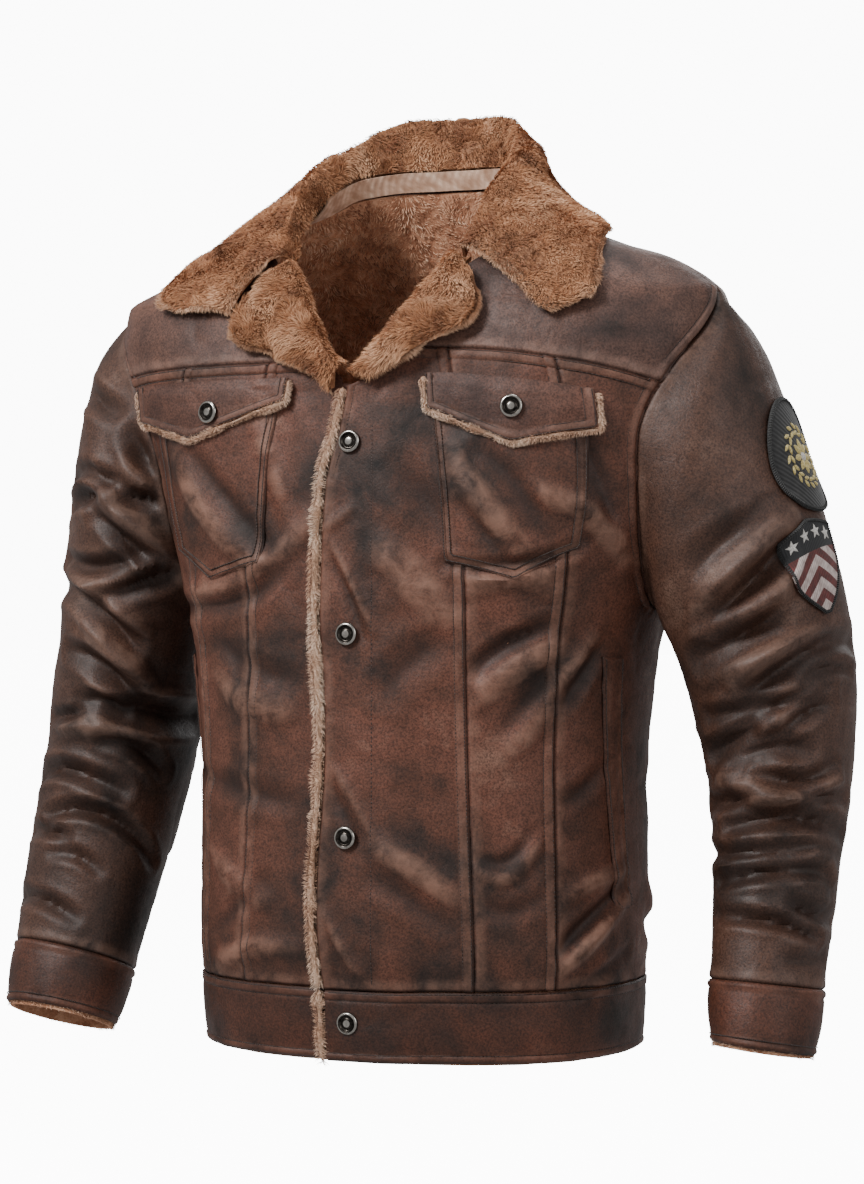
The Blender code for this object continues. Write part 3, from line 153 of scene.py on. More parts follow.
# creases of the body, laid after the photo and, out of its sight, to match; columns:
# angle and height at the start, in the middle and at the end, half width, depth (negative for
# a valley)
BODY_FOLDS = (
    (135.0, 0.360, 145.5, 0.309, 150.0, 0.250, 0.025, -0.0030),
    (222.0, 0.370, 218.0, 0.319, 208.0, 0.260, 0.025, -0.0030),
    (160.0, 0.200, 171.0, 0.159, 176.0, 0.110, 0.024, -0.0026),
    (200.0, 0.150, 197.0, 0.119, 188.0, 0.080, 0.024, 0.0026),
    (115.0, 0.300, 121.5, 0.254, 122.0, 0.200, 0.020, 0.0028),
    (244.0, 0.300, 244.0, 0.249, 238.0, 0.190, 0.020, 0.0028),
    (100.0, 0.120, 112.0, 0.108, 128.0, 0.122, 0.0120, 0.0032),
    (98.0, 0.098, 112.0, 0.088, 130.0, 0.100, 0.0110, -0.0030),
    (262.0, 0.125, 250.0, 0.110, 236.0, 0.118, 0.0120, 0.0032),
    (264.0, 0.100, 250.0, 0.088, 234.0, 0.096, 0.0110, -0.0030),
    (150.0, 0.300, 168.0, 0.285, 190.0, 0.300, 0.0160, -0.0024),
    (172.0, 0.240, 190.0, 0.225, 212.0, 0.240, 0.0180, 0.0026),
    (128.0, 0.420, 138.0, 0.395, 152.0, 0.385, 0.0160, -0.0028),
    (232.0, 0.420, 222.0, 0.395, 208.0, 0.380, 0.0160, -0.0028),
    (104.0, 0.200, 116.0, 0.170, 134.0, 0.165, 0.0140, -0.0028),
    (256.0, 0.205, 244.0, 0.172, 226.0, 0.160, 0.0140, -0.0028),
    (29.3, 0.369, 46.5, 0.368, 61.0, 0.386, 0.0070, -0.0034),
    (30.7, 0.361, 47.5, 0.358, 60.3, 0.373, 0.0060, 0.0018),
    (32.2, 0.450, 39.7, 0.409, 47.6, 0.381, 0.0120, 0.0034),
    (39.4, 0.450, 46.1, 0.428, 52.4, 0.390, 0.0110, -0.0030),
    (50.5, 0.424, 55.0, 0.416, 61.6, 0.408, 0.0100, 0.0026),
    (58.8, 0.466, 62.0, 0.438, 65.8, 0.403, 0.0140, -0.0036),
    (60.1, 0.408, 65.1, 0.392, 71.1, 0.370, 0.0120, 0.0030),
    (34.6, 0.412, 38.7, 0.397, 43.4, 0.375, 0.0080, -0.0022),
    (36.4, 0.351, 46.4, 0.359, 54.9, 0.350, 0.0110, 0.0024),
    (36.9, 0.290, 45.2, 0.309, 54.3, 0.322, 0.0095, -0.0050),
    (38.8, 0.268, 48.4, 0.293, 57.5, 0.308, 0.0110, 0.0042),
    (43.6, 0.244, 51.0, 0.270, 55.6, 0.290, 0.0090, -0.0022),
    (44.8, 0.225, 52.4, 0.249, 56.6, 0.269, 0.0100, 0.0022),
    (60.0, 0.265, 64.2, 0.283, 68.5, 0.303, 0.0090, -0.0034),
    (57.5, 0.277, 61.6, 0.293, 66.4, 0.315, 0.0090, 0.0026),
    (-5.4, 0.386, 2.0, 0.355, 9.6, 0.319, 0.0045, 0.0022),
    (-9.1, 0.393, -3.4, 0.401, 1.9, 0.410, 0.0045, 0.0016),
    (-4.5, 0.371, 0.9, 0.345, 5.8, 0.313, 0.0050, -0.0018),
    (12.0, 0.377, 21.5, 0.357, 30.4, 0.329, 0.0170, 0.0030),
    (16.8, 0.437, 24.2, 0.415, 29.5, 0.386, 0.0160, -0.0026),
    (13.3, 0.276, 20.7, 0.298, 30.2, 0.313, 0.0160, -0.0024),
    (-3.6, 0.218, 2.7, 0.194, 8.9, 0.170, 0.0045, 0.0020),
    (-5.2, 0.205, -0.7, 0.185, 4.2, 0.163, 0.0050, -0.0016),
    (10.7, 0.161, 20.6, 0.145, 31.7, 0.125, 0.0110, 0.0028),
    (10.1, 0.136, 19.2, 0.122, 28.1, 0.103, 0.0120, -0.0026),
    (-5.4, 0.107, -0.6, 0.084, 5.3, 0.065, 0.0045, 0.0022),
    (38.7, 0.143, 46.2, 0.139, 53.6, 0.162, 0.0065, 0.0022),
    (38.2, 0.153, 45.4, 0.150, 52.2, 0.172, 0.0060, -0.0022),
    (39.1, 0.119, 46.1, 0.112, 54.1, 0.122, 0.0090, -0.0020),
    (60.1, 0.069, 68.8, 0.089, 81.7, 0.115, 0.0085, 0.0046),
    (59.2, 0.082, 68.2, 0.104, 81.8, 0.129, 0.0085, -0.0042),
    (61.5, 0.123, 68.9, 0.132, 79.9, 0.141, 0.0080, 0.0024),
    (63.8, 0.047, 72.6, 0.062, 85.0, 0.079, 0.0070, -0.0026),
    (62.0, 0.195, 66.7, 0.202, 72.8, 0.216, 0.0090, -0.0024),
    (-56.5, 0.452, -47.4, 0.407, -32.0, 0.368, 0.0110, 0.0032),
    (-52.1, 0.455, -40.5, 0.418, -28.9, 0.383, 0.0100, -0.0026),
    (-56.0, 0.350, -41.0, 0.353, -28.8, 0.375, 0.0110, 0.0026),
    (-78.0, 0.337, -40.9, 0.339, -26.0, 0.361, 0.0100, -0.0028),
    (-32.6, 0.362, -21.4, 0.383, -10.3, 0.407, 0.0110, 0.0024),
    (-33.7, 0.477, -26.5, 0.439, -21.5, 0.402, 0.0090, 0.0018),
    (-46.7, 0.312, -35.3, 0.293, -19.4, 0.282, 0.0120, -0.0026),
    (-50.4, 0.290, -37.5, 0.266, -21.1, 0.258, 0.0120, 0.0026),
    (-79.6, 0.215, -40.0, 0.198, -20.9, 0.192, 0.0120, -0.0024),
    (-53.4, 0.151, -38.8, 0.127, -28.3, 0.116, 0.0110, 0.0030),
    (-49.8, 0.088, -39.2, 0.110, -28.8, 0.131, 0.0100, -0.0026),
    (-49.5, 0.063, -34.6, 0.079, -18.3, 0.081, 0.0100, 0.0026),
)

# rings of the sleeves; columns: outer x, outer height, inner x, inner height, y, half depth,
# tilt in degrees
SLEEVE_RINGS = {
    1: (
        (0.2475, 0.5725, 0.193, 0.337, -0.006, 0.080, 0.0),
        (0.266, 0.547, 0.201, 0.325, -0.004, 0.082, 0.0),
        (0.287, 0.500, 0.204, 0.316, -0.001, 0.082, 0.0),
        (0.305, 0.450, 0.208, 0.305, 0.002, 0.080, 0.0),
        (0.320, 0.405, 0.212, 0.291, 0.006, 0.077, 0.0),
        (0.331, 0.360, 0.216, 0.275, 0.010, 0.074, 0.0),
        (0.338, 0.315, 0.221, 0.255, 0.014, 0.071, 1.0),
        (0.341, 0.275, 0.226, 0.232, 0.016, 0.067, 2.0),
        (0.340, 0.235, 0.231, 0.206, 0.015, 0.063, 3.0),
        (0.338, 0.192, 0.236, 0.174, 0.008, 0.059, 5.0),
        (0.335, 0.148, 0.241, 0.140, -0.004, 0.055, 7.0),
        (0.333, 0.102, 0.245, 0.102, -0.018, 0.051, 8.0),
        (0.332, 0.058, 0.249, 0.062, -0.034, 0.047, 8.0),
        (0.330, 0.011, 0.255, 0.018, -0.050, 0.044, 8.0),
    ),
    -1: (
        (0.243, 0.5725, 0.188, 0.337, -0.006, 0.080, 0.0),
        (0.2735, 0.541, 0.195, 0.325, -0.004, 0.082, 0.0),
        (0.287, 0.498, 0.198, 0.315, -0.001, 0.082, 0.0),
        (0.298, 0.450, 0.200, 0.303, 0.002, 0.080, 0.0),
        (0.307, 0.405, 0.203, 0.289, 0.006, 0.077, 0.0),
        (0.316, 0.360, 0.207, 0.273, 0.010, 0.074, 0.0),
        (0.3225, 0.315, 0.211, 0.254, 0.014, 0.071, 1.0),
        (0.332, 0.275, 0.215, 0.232, 0.016, 0.067, 3.0),
        (0.336, 0.235, 0.220, 0.206, 0.015, 0.063, 6.0),
        (0.342, 0.192, 0.225, 0.174, 0.008, 0.059, 10.0),
        (0.344, 0.148, 0.231, 0.137, -0.004, 0.055, 14.0),
        (0.344, 0.104, 0.238, 0.094, -0.018, 0.051, 17.0),
        (0.342, 0.062, 0.245, 0.050, -0.034, 0.047, 18.5),
        (0.3405, 0.014, 0.252, 0.006, -0.051, 0.044, 18.5),
    ),
}
LAST_STATION = len(SLEEVE_RINGS[1]) - 1
CUFF_STATION = LAST_STATION - 1
STATION_LENGTH = 0.045       # cloth between two stations on the sleeve's outer side
HEAD_FADE = 1.6              # stations over which the armhole's form fades into the tube

# creases of the sleeves; columns: station and turn at the start, in the middle and at the end,
# half width, depth
SLEEVE_FOLDS = {
    1: (
        (3.6, 316.0, 3.4, 290.0, 3.1, 266.0, 0.015, -0.0040),
        (3.8, 326.0, 3.8, 292.0, 3.9, 258.0, 0.015, 0.0045),
        (4.2, 314.0, 4.4, 294.0, 4.4, 258.0, 0.014, -0.0070),
        (4.7, 316.0, 4.8, 294.0, 4.7, 258.0, 0.012, 0.0035),
        (5.2, 298.0, 5.2, 280.0, 4.9, 238.0, 0.014, -0.0075),
        (5.9, 324.0, 5.9, 290.0, 5.9, 264.0, 0.012, 0.0045),
        (6.1, 376.0, 6.1, 312.0, 6.5, 274.0, 0.012, -0.0060),
        (6.6, 356.0, 6.5, 330.0, 6.6, 310.0, 0.008, -0.0040),
        (6.9, 328.0, 7.0, 294.0, 6.5, 232.0, 0.010, -0.0050),
        (7.0, 328.0, 7.1, 302.0, 7.3, 278.0, 0.008, 0.0040),
        (7.2, 330.0, 7.3, 310.0, 7.5, 288.0, 0.009, -0.0040),
        (7.3, 278.0, 7.3, 256.0, 7.4, 224.0, 0.010, -0.0060),
        (8.0, 308.0, 7.8, 284.0, 7.7, 230.0, 0.011, -0.0050),
        (8.4, 334.0, 8.6, 306.0, 8.3, 278.0, 0.010, -0.0050),
        (8.6, 340.0, 8.8, 286.0, 8.1, 238.0, 0.010, 0.0040),
        (8.9, 356.0, 8.9, 320.0, 9.0, 304.0, 0.009, -0.0045),
        (8.7, 266.0, 8.7, 246.0, 8.6, 212.0, 0.009, -0.0045),
        (9.5, 362.0, 9.2, 298.0, 9.2, 242.0, 0.010, -0.0055),
        (9.8, 320.0, 9.8, 276.0, 9.7, 212.0, 0.008, -0.0040),
        (10.2, 346.0, 10.1, 312.0, 10.3, 226.0, 0.009, -0.0055),
        (10.2, 354.0, 10.0, 326.0, 10.1, 302.0, 0.008, 0.0035),
        (10.9, 376.0, 10.8, 332.0, 10.7, 310.0, 0.009, -0.0045),
        (11.2, 340.0, 11.0, 298.0, 10.9, 226.0, 0.008, -0.0048),
        (11.5, 356.0, 11.6, 326.0, 11.6, 306.0, 0.009, -0.0030),
        (3.0, 100.0, 3.6, 130.0, 4.4, 165.0, 0.016, -0.0050),
        (5.4, 60.0, 5.9, 100.0, 6.4, 150.0, 0.014, -0.0060),
        (6.4, 130.0, 6.8, 160.0, 7.2, 200.0, 0.013, -0.0055),
        (7.2, 50.0, 7.3, 90.0, 7.6, 140.0, 0.012, -0.0060),
        (8.1, 80.0, 8.2, 130.0, 8.5, 190.0, 0.011, -0.0055),
        (9.0, 40.0, 9.1, 80.0, 9.0, 130.0, 0.010, -0.0050),
        (9.6, 100.0, 9.8, 150.0, 9.7, 205.0, 0.010, -0.0045),
        (10.5, 50.0, 10.4, 100.0, 10.6, 160.0, 0.010, -0.0045),
        (4.6, 80.0, 5.0, 110.0, 5.2, 150.0, 0.014, 0.0040),
    ),
    -1: (
        (1.4, 326.0, 1.0, 310.0, 0.6, 296.0, 0.012, -0.0055),
        (0.4, 282.0, 0.3, 274.0, 0.2, 266.0, 0.014, -0.0090),
        (2.9, 322.0, 1.1, 272.0, 0.1, 260.0, 0.009, -0.0050),
        (0.7, 274.0, 0.4, 266.0, 0.1, 260.0, 0.009, 0.0040),
        (3.5, 322.0, 2.6, 296.0, 2.0, 280.0, 0.010, -0.0065),
        (1.0, 264.0, 0.5, 258.0, 0.1, 254.0, 0.009, -0.0060),
        (1.3, 270.0, 0.8, 266.0, 0.1, 258.0, 0.009, 0.0040),
        (2.3, 278.0, 1.3, 248.0, 0.8, 234.0, 0.010, -0.0045),
        (1.5, 268.0, 0.8, 248.0, 0.1, 234.0, 0.011, 0.0045),
        (4.3, 314.0, 3.4, 272.0, 1.4, 240.0, 0.011, -0.0055),
        (3.7, 262.0, 1.9, 234.0, 0.1, 222.0, 0.012, -0.0060),
        (4.4, 298.0, 3.3, 258.0, 1.1, 234.0, 0.010, 0.0035),
        (5.1, 336.0, 4.4, 266.0, 4.5, 238.0, 0.012, -0.0060),
        (3.8, 256.0, 3.6, 240.0, 3.4, 228.0, 0.009, 0.0035),
        (4.9, 272.0, 5.1, 240.0, 5.7, 228.0, 0.012, 0.0050),
        (5.9, 294.0, 5.8, 258.0, 6.1, 228.0, 0.012, -0.0070),
        (6.9, 274.0, 6.7, 254.0, 6.8, 242.0, 0.010, -0.0050),
        (6.8, 244.0, 6.5, 214.0, 6.4, 172.0, 0.015, -0.0085),
        (7.7, 316.0, 7.5, 292.0, 7.3, 278.0, 0.008, -0.0045),
        (7.7, 252.0, 7.7, 230.0, 8.2, 204.0, 0.010, -0.0055),
        (7.8, 292.0, 7.5, 254.0, 7.6, 226.0, 0.010, 0.0040),
        (9.0, 328.0, 8.7, 288.0, 8.9, 234.0, 0.010, -0.0060),
        (9.7, 294.0, 9.5, 244.0, 10.2, 188.0, 0.009, -0.0055),
        (10.0, 330.0, 10.0, 294.0, 10.1, 270.0, 0.008, -0.0045),
        (10.4, 282.0, 10.4, 258.0, 10.6, 238.0, 0.008, -0.0035),
        (11.2, 328.0, 11.3, 282.0, 11.5, 250.0, 0.009, -0.0045),
        (2.6, 20.0, 2.9, 60.0, 3.6, 110.0, 0.015, -0.0050),
        (4.4, 10.0, 4.7, 60.0, 5.3, 120.0, 0.014, -0.0060),
        (5.9, 0.0, 6.3, 50.0, 6.6, 110.0, 0.013, -0.0060),
        (7.0, 40.0, 7.3, 90.0, 7.6, 140.0, 0.012, -0.0055),
        (8.0, 0.0, 8.2, 50.0, 8.5, 110.0, 0.012, -0.0055),
        (9.1, 20.0, 9.2, 80.0, 9.6, 140.0, 0.010, -0.0050),
        (10.1, 0.0, 10.3, 50.0, 10.4, 110.0, 0.010, -0.0045),
        (3.6, 120.0, 4.2, 140.0, 5.0, 160.0, 0.014, -0.0050),
        (5.2, 40.0, 5.6, 90.0, 5.8, 130.0, 0.012, 0.0035),
    ),
}

# sections of the collar from the middle of the back to its end; columns: x, y and height of
# the sewn edge, of the fold and of the free edge
COLLAR = (
    (0.000, 0.0640, 0.686, 0.000, 0.080, 0.728, 0.000, 0.120, 0.650),
    (0.043, 0.0540, 0.684, 0.046, 0.068, 0.725, 0.062, 0.112, 0.644),
    (0.066, 0.0260, 0.678, 0.069, 0.034, 0.705, 0.106, 0.076, 0.634),
    (0.075, -0.008, 0.660, 0.080, -0.006, 0.684, 0.148, 0.010, 0.624),
    (0.076, -0.042, 0.637, 0.083, -0.046, 0.658, 0.174, -0.060, 0.598),
    (0.074, -0.062, 0.620, 0.0805, -0.070, 0.633, 0.180, -0.088, 0.566),
    (0.069, -0.077, 0.600, 0.0745, -0.088, 0.605, 0.150, -0.106, 0.5525),
)
COLLAR_SHIFT = -0.004
COLLAR_SAG = 0.10            # how far the leaf hangs below a straight fall, per metre out
COLLAR_ROUND = 0.010         # how far the fold rounds outwards before the leaf falls

# outer edge of the lapels; columns: share of the way down, angle, height
LAPELS = {
    1: (
        (0.00, 47.0, 0.5830),
        (0.22, 46.5, 0.5640),
        (0.42, 43.0, 0.5480),
        (0.60, 34.8, 0.5356),
        (0.80, 21.5, 0.5200),
        (1.00, 9.0, 0.5065),
    ),
    -1: (
        (0.00, 50.0, 0.5660),
        (0.22, 48.5, 0.5510),
        (0.45, 45.6, 0.5375),
        (0.62, 32.2, 0.5270),
        (0.78, 20.4, 0.5170),
        (0.90, 12.9, 0.5085),
        (1.00, 7.5, 0.4980),
    ),
}
LAPEL_TOP_ANGLE = 43.5
LAPEL_END_ANGLE = {1: 1.0, -1: 5.0}

# columns: angle of the inner end, point and outer end; height of the top at both ends; height
# of the lower edge at the inner end, point and outer end
FLAPS = {
    1: (26.5, 46.5, 62.5, 0.509, 0.496, 0.482, 0.457, 0.467),
    -1: (24.5, 51.5, 69.0, 0.508, 0.508, 0.490, 0.464, 0.480),
}
# columns: angle of the inner side at the top and below, of the outer side at the top and below;
# height of the top; height of the lower edge at the inner side, point and outer side
POCKETS = {
    1: (27.5, 29.5, 61.0, 60.0, 0.478, 0.370, 0.3575, 0.380),
    -1: (27.5, 29.5, 63.0, 60.5, 0.482, 0.370, 0.3575, 0.380),
}
# height of the top and bottom, angle of the front edge at the top and bottom, width
WELT = (0.300, 0.110, 70.0, 77.5, 0.023)

# columns: height, how far the cap stands off the lapping front
SNAPS = ((0.459, 0.0008), (0.317, 0.0015), (0.166, 0.0012), (0.029, 0.0009))
SNAP_ANGLE = 0.6
FLAP_SNAPS = {1: (47.5, 0.483), -1: (46.5, 0.484)}

BADGE_THICKNESS = 0.0014
BADGE_GAP = 0.0014
ROUND_BADGE = {"along": 3.05, "round": 356.0, "radius": 0.040}
SHIELD_BADGE = {"along": 4.75, "round": 336.0, "half_width": 0.0300, "height": 0.070}

SIDES = ((1, "left"), (-1, "right"))


# ------------------------------------------------------------------ small helpers

def between(a, b, share):
    return a + (b - a) * share


def smooth_step(low, high, value):
    share = np.clip((np.asarray(value, float) - low) / (high - low), 0.0, 1.0)
    return share * share * (3.0 - 2.0 * share)


def smooth_table(rows):
    """Turn a table whose first column is its key into a function that returns its columns."""
    values = np.array(rows, float)
    keys = values[:, 0]
    steps = np.diff(values, axis=0) / np.diff(keys)[:, None]
    before, after = steps[:-1], steps[1:]
    same = before * after > 0.0
    total = np.where(same, before + after, 1.0)
    inner = np.where(same, 2.0 * before * after / total, 0.0)
    slopes = np.vstack([steps[:1], inner, steps[-1:]])

    def read(key):
        key = np.clip(np.asarray(key, float), keys[0], keys[-1])
        at = np.clip(np.searchsorted(keys, key, side="left") - 1, 0, len(keys) - 2)
        width = keys[at + 1] - keys[at]
        t = (key - keys[at]) / width
        h0 = (1.0 + 2.0 * t) * (1.0 - t) ** 2
        h1 = t * (1.0 - t) ** 2 * width
        h2 = t * t * (3.0 - 2.0 * t)
        h3 = t * t * (t - 1.0) * width
        return [h0 * values[at, c] + h1 * slopes[at, c] + h2 * values[at + 1, c]
                + h3 * slopes[at + 1, c] for c in range(values.shape[1])]
    return read


def unit(vectors):
    length = np.linalg.norm(vectors, axis=-1, keepdims=True)
    return vectors / np.maximum(length, 1e-12)


def lattice(x, y, z, seed):
    """A repeatable pseudo-random number from 0 to 1 at each whole-numbered place."""
    mixed = (x * 73856093) ^ (y * 19349663) ^ (z * 83492791) ^ (seed * 2654435761)
    mixed = (mixed ^ (mixed >> 13)) * 1274126177
    return ((mixed ^ (mixed >> 16)) & 0xFFFFFF) / float(0xFFFFFF)


def noise(points, size, seed):
    """Smooth noise from -1 to 1 whose lumps are about size across."""
    scaled = points / size + 1000.0
    cell = np.floor(scaled).astype(np.int64)
    part = scaled - cell
    part = part * part * (3.0 - 2.0 * part)
    total = np.zeros(points.shape[:-1])
    for corner in range(8):
        dx, dy, dz = corner & 1, (corner >> 1) & 1, corner >> 2
        weight = ((part[..., 0] if dx else 1.0 - part[..., 0])
                  * (part[..., 1] if dy else 1.0 - part[..., 1])
                  * (part[..., 2] if dz else 1.0 - part[..., 2]))
        total += weight * lattice(cell[..., 0] + dx, cell[..., 1] + dy, cell[..., 2] + dz, seed)
    return 2.0 * total - 1.0


read_body = smooth_table(BODY)
read_neckline = smooth_table(NECKLINE)
read_lap_edge = smooth_table(LAP_EDGE)
read_inner_seam = smooth_table(INNER_SEAM)
read_outer_seam = smooth_table(OUTER_SEAM)
read_yoke_seam = {side: smooth_table(rows) for side, rows in FRONT_YOKE_SEAM.items()}
read_rings = {side: smooth_table([(float(i),) + row for i, row in enumerate(rows)])
              for side, rows in SLEEVE_RINGS.items()}
read_collar = smooth_table([(float(i),) + row for i, row in enumerate(COLLAR)])


# ------------------------------------------------------------------ creases

FOLD_STEPS = 8
FLANK = 0.16                 # how far the cloth beside a valley is pushed up, of its depth


def crease(distance, half_width, depth):
    """Valleys are narrow with pushed-up flanks, ridges are round and wide."""
    if depth < 0.0:
        soft = 0.14 * half_width
        reach = (np.sqrt(distance * distance + soft * soft) - soft) / half_width
        valley = np.maximum(0.0, 1.0 - reach) ** 1.4
        flank = np.exp(-((reach - 1.15) / 0.32) ** 2)
        return depth * (valley - FLANK * flank)
    reach = distance / (half_width * 1.3)
    return depth * np.maximum(0.0, 1.0 - reach * reach) ** 2


def fold_line(place, first, middle, last, half_width, depth):
    t = np.linspace(0.0, 1.0, FOLD_STEPS + 1)
    weights = (2.0 * (t - 0.5) * (t - 1.0), -4.0 * t * (t - 1.0), 2.0 * t * (t - 0.5))
    a, b = (sum(w * at[k] for w, at in zip(weights, (first, middle, last))) for k in (0, 1))
    return place(a, b), half_width, depth


def fold_lift(points, lines):
    """How far the creases raise or sink the points of a plain surface."""
    flat = points.reshape(-1, 3)
    total = np.zeros(len(flat))
    for line, half_width, depth in lines:
        reach = half_width * 1.9
        low, high = line.min(axis=0) - reach, line.max(axis=0) + reach
        near = np.nonzero(((flat > low) & (flat < high)).all(axis=1))[0]
        if len(near) == 0:
            continue
        spots = flat[near]
        best = np.full(len(near), reach)
        along = np.zeros(len(near))
        for i in range(FOLD_STEPS):
            run = line[i + 1] - line[i]
            share = np.clip((spots - line[i]) @ run / (run @ run), 0.0, 1.0)
            distance = np.linalg.norm(spots - line[i] - share[:, None] * run, axis=1)
            closer = distance < best
            best[closer] = distance[closer]
            along[closer] = (i + share[closer]) / FOLD_STEPS
        fade = np.sin(math.pi * (0.10 + 0.80 * along)) ** 0.7
        total[near] += fade * crease(best, half_width, depth)
    return total.reshape(points.shape[:-1])


# ------------------------------------------------------------------ the body's surface

def plain_body(angle, height):
    angle, height = np.broadcast_arrays(np.asarray(angle, float), np.asarray(height, float))
    _, left, right, front, side, back, square = read_body(height)
    s, c = np.sin(np.radians(angle)), np.cos(np.radians(angle))
    half_width = np.where(s > 0.0, left, right)
    depth = np.where(c > 0.0, side - front, back - side)
    radius = ((np.abs(s) / half_width) ** square
              + (np.abs(c) / depth) ** square) ** (-1.0 / square)
    return np.stack([radius * s, side - radius * c, height - NECK_HEIGHT], axis=-1)


def body_normal(angle, height):
    round_step = plain_body(angle + 0.5, height) - plain_body(angle - 0.5, height)
    up_step = plain_body(angle, height + 0.002) - plain_body(angle, height - 0.002)
    return unit(np.cross(round_step, up_step))


BODY_DEPTH = 1.35            # scale of the depths in the table above
BODY_FOLD_LINES = [
    fold_line(plain_body, row[0:2], row[2:4], row[4:6], row[6], row[7] * BODY_DEPTH)
    for row in BODY_FOLDS]


def neck_height(angle):
    wrapped = np.abs((np.asarray(angle, float) + 180.0) % 360.0 - 180.0)
    return read_neckline(wrapped)[1]


def neck_angle(height, inset):
    """Angle at which the front's edge meets a height, moved away from the neck's fold."""
    height = np.asarray(height, float)
    low, high = np.zeros_like(height), np.full_like(height, 90.0)
    for _ in range(24):
        middle = 0.5 * (low + high)
        below = neck_height(middle) < height
        low, high = np.where(below, middle, low), np.where(below, high, middle)
    edge = plain_body(low, height)
    slope = np.clip((90.0 - low) / 60.0, 0.35, 1.0)
    return low + np.degrees(inset / (np.hypot(edge[..., 0], edge[..., 1] + 0.02) * slope))


def arm_share(share):
    width = np.sqrt(np.maximum(0.0, 1.0 - share * share))
    return np.where(share > 0.0, width * between(width * width, 1.0, ARMHOLE_TOP_ROUND), width)


def arm_angle(height, inset):
    share = (np.asarray(height, float) - ARMHOLE_MIDDLE) / (ARMHOLE_HALF + inset)
    reach = ARMHOLE_ANGLE * arm_share(np.clip(share, -1.0, 1.0)) + math.degrees(inset / 0.2)
    return np.where(np.abs(share) < 1.0, reach, 0.0)


def half_gap(height):
    wide = np.where(np.asarray(height) > SHOULDER_TIP - 0.001, 2.8, 1.0)
    return np.degrees(SEAM_GAP * 1.3 / read_body(height)[1]) * wide


def side_angle(height):
    """Edge of a body panel at the armhole; below the shoulder it runs on under the sleeve."""
    under = ARM_TUCK * (1.0 - smooth_step(SHOULDER_TIP - 0.10, SHOULDER_TIP - 0.03, height))
    return 90.0 - np.maximum(arm_angle(height, SEAM_GAP * 2.0) - under, half_gap(height))


def lap(angle, side):
    """How far the lapping front stands off the body."""
    if side < 0:
        return np.zeros_like(np.asarray(angle, float))
    return LAP_LIFT * (1.0 - smooth_step(LAP_FADE[0], LAP_FADE[1], angle))


# ------------------------------------------------------------------ the sleeves' surface

def ring_point(side, station, turn, out):
    """A place on the sleeve's rings, moved outwards by out."""
    _, ox, oh, ix, ih, y, half_depth, tilt = read_rings[side](station)
    zero = np.zeros_like(ox)
    across = np.stack([ox - ix, zero, oh - ih], axis=-1) * 0.5
    middle = np.stack([0.5 * (ox + ix), y, 0.5 * (oh + ih) - NECK_HEIGHT], axis=-1)
    lean = np.radians(tilt)
    deep = np.stack([zero, np.cos(lean), -np.sin(lean)], axis=-1)
    c, s = np.cos(np.radians(turn))[..., None], np.sin(np.radians(turn))[..., None]
    point = middle + across * c + deep * half_depth[..., None] * s
    point = point + unit(unit(across) * c + deep * s) * np.asarray(out)[..., None]
    return point * np.array([side, 1.0, 1.0])


def armhole_place(turn):
    """Angle and height of the armhole seam at a turn round the sleeve's head."""
    s, c = np.sin(np.radians(turn)), np.cos(np.radians(turn))
    return (90.0 + ARMHOLE_ANGLE * np.copysign(arm_share(c), s),
            ARMHOLE_MIDDLE + ARMHOLE_HALF * c)


def armhole_point(side, turn):
    angle, height = armhole_place(turn)
    return plain_body(side * angle, height)


def plain_sleeve(side, station, turn):
    station, turn = np.broadcast_arrays(np.asarray(station, float), np.asarray(turn, float))
    still = np.zeros_like(station)
    start = (1.0 - smooth_step(0.0, 1.0, station / HEAD_FADE))[..., None]
    head = armhole_point(side, turn) - ring_point(side, still, turn, still)
    return ring_point(side, station, turn, still) + head * start


SLEEVE_DEPTH = 1.75          # the cloth is creased a little deeper than its solid
SLEEVE_FOLD_LINES = {
    side: [fold_line(lambda station, turn, side=side: plain_sleeve(side, station, turn),
                     row[0:2], row[2:4], row[4:6], row[6],
                     row[7] * SLEEVE_DEPTH) for row in folds]
    for side, folds in SLEEVE_FOLDS.items()
}


# ------------------------------------------------------------------ creased and sewn surfaces

SEAM_DEPTH = 0.0010          # how far the cloth sinks into a seam
SEAM_WIDTH = 0.0011
BAND_WIDTH = 0.0085          # from a seam to its second row of stitches
BAND_LIFT = 0.0009           # how far the cloth stands up between the two rows
STITCH_DEPTH = 0.0007        # how far a row of stitches sinks
SEAM_REACH = 0.03            # beyond this a seam's distance isn't measured
RELIEF_REACH = 0.02          # beyond this a seam leaves the cloth flat
FAR = 1.0
WRINKLE_DEPTH = 0.0012       # of the panels and the sleeves
CUFF_WRINKLE = 0.0008
LAP_BAND = 0.0065            # raised band along the lapping front's edge
BAND_CRUMPLE = 0.8           # share of the wrinkles that the waistband has
WELT_CRUMPLE = 0.7
TUCK_REACH = 0.0030          # how far a sleeve runs on under its neighbours
TUCK_SINK = 0.0016           # how far it sinks there


def line_distance(points, line):
    """Distance of each point to a line of points; far ones only get a large number."""
    flat = points.reshape(-1, 3)
    best = np.full(len(flat), FAR)
    low, high = line.min(axis=0) - SEAM_REACH, line.max(axis=0) + SEAM_REACH
    near = np.nonzero(((flat > low) & (flat < high)).all(axis=1))[0]
    spots = flat[near]
    found = np.full(len(near), FAR)
    for start, end in zip(line[:-1], line[1:]):
        run = end - start
        share = np.clip((spots - start) @ run / max(run @ run, 1e-12), 0.0, 1.0)
        found = np.minimum(found, np.linalg.norm(spots - start - share[:, None] * run, axis=1))
    best[near] = found
    return best.reshape(points.shape[:-1])


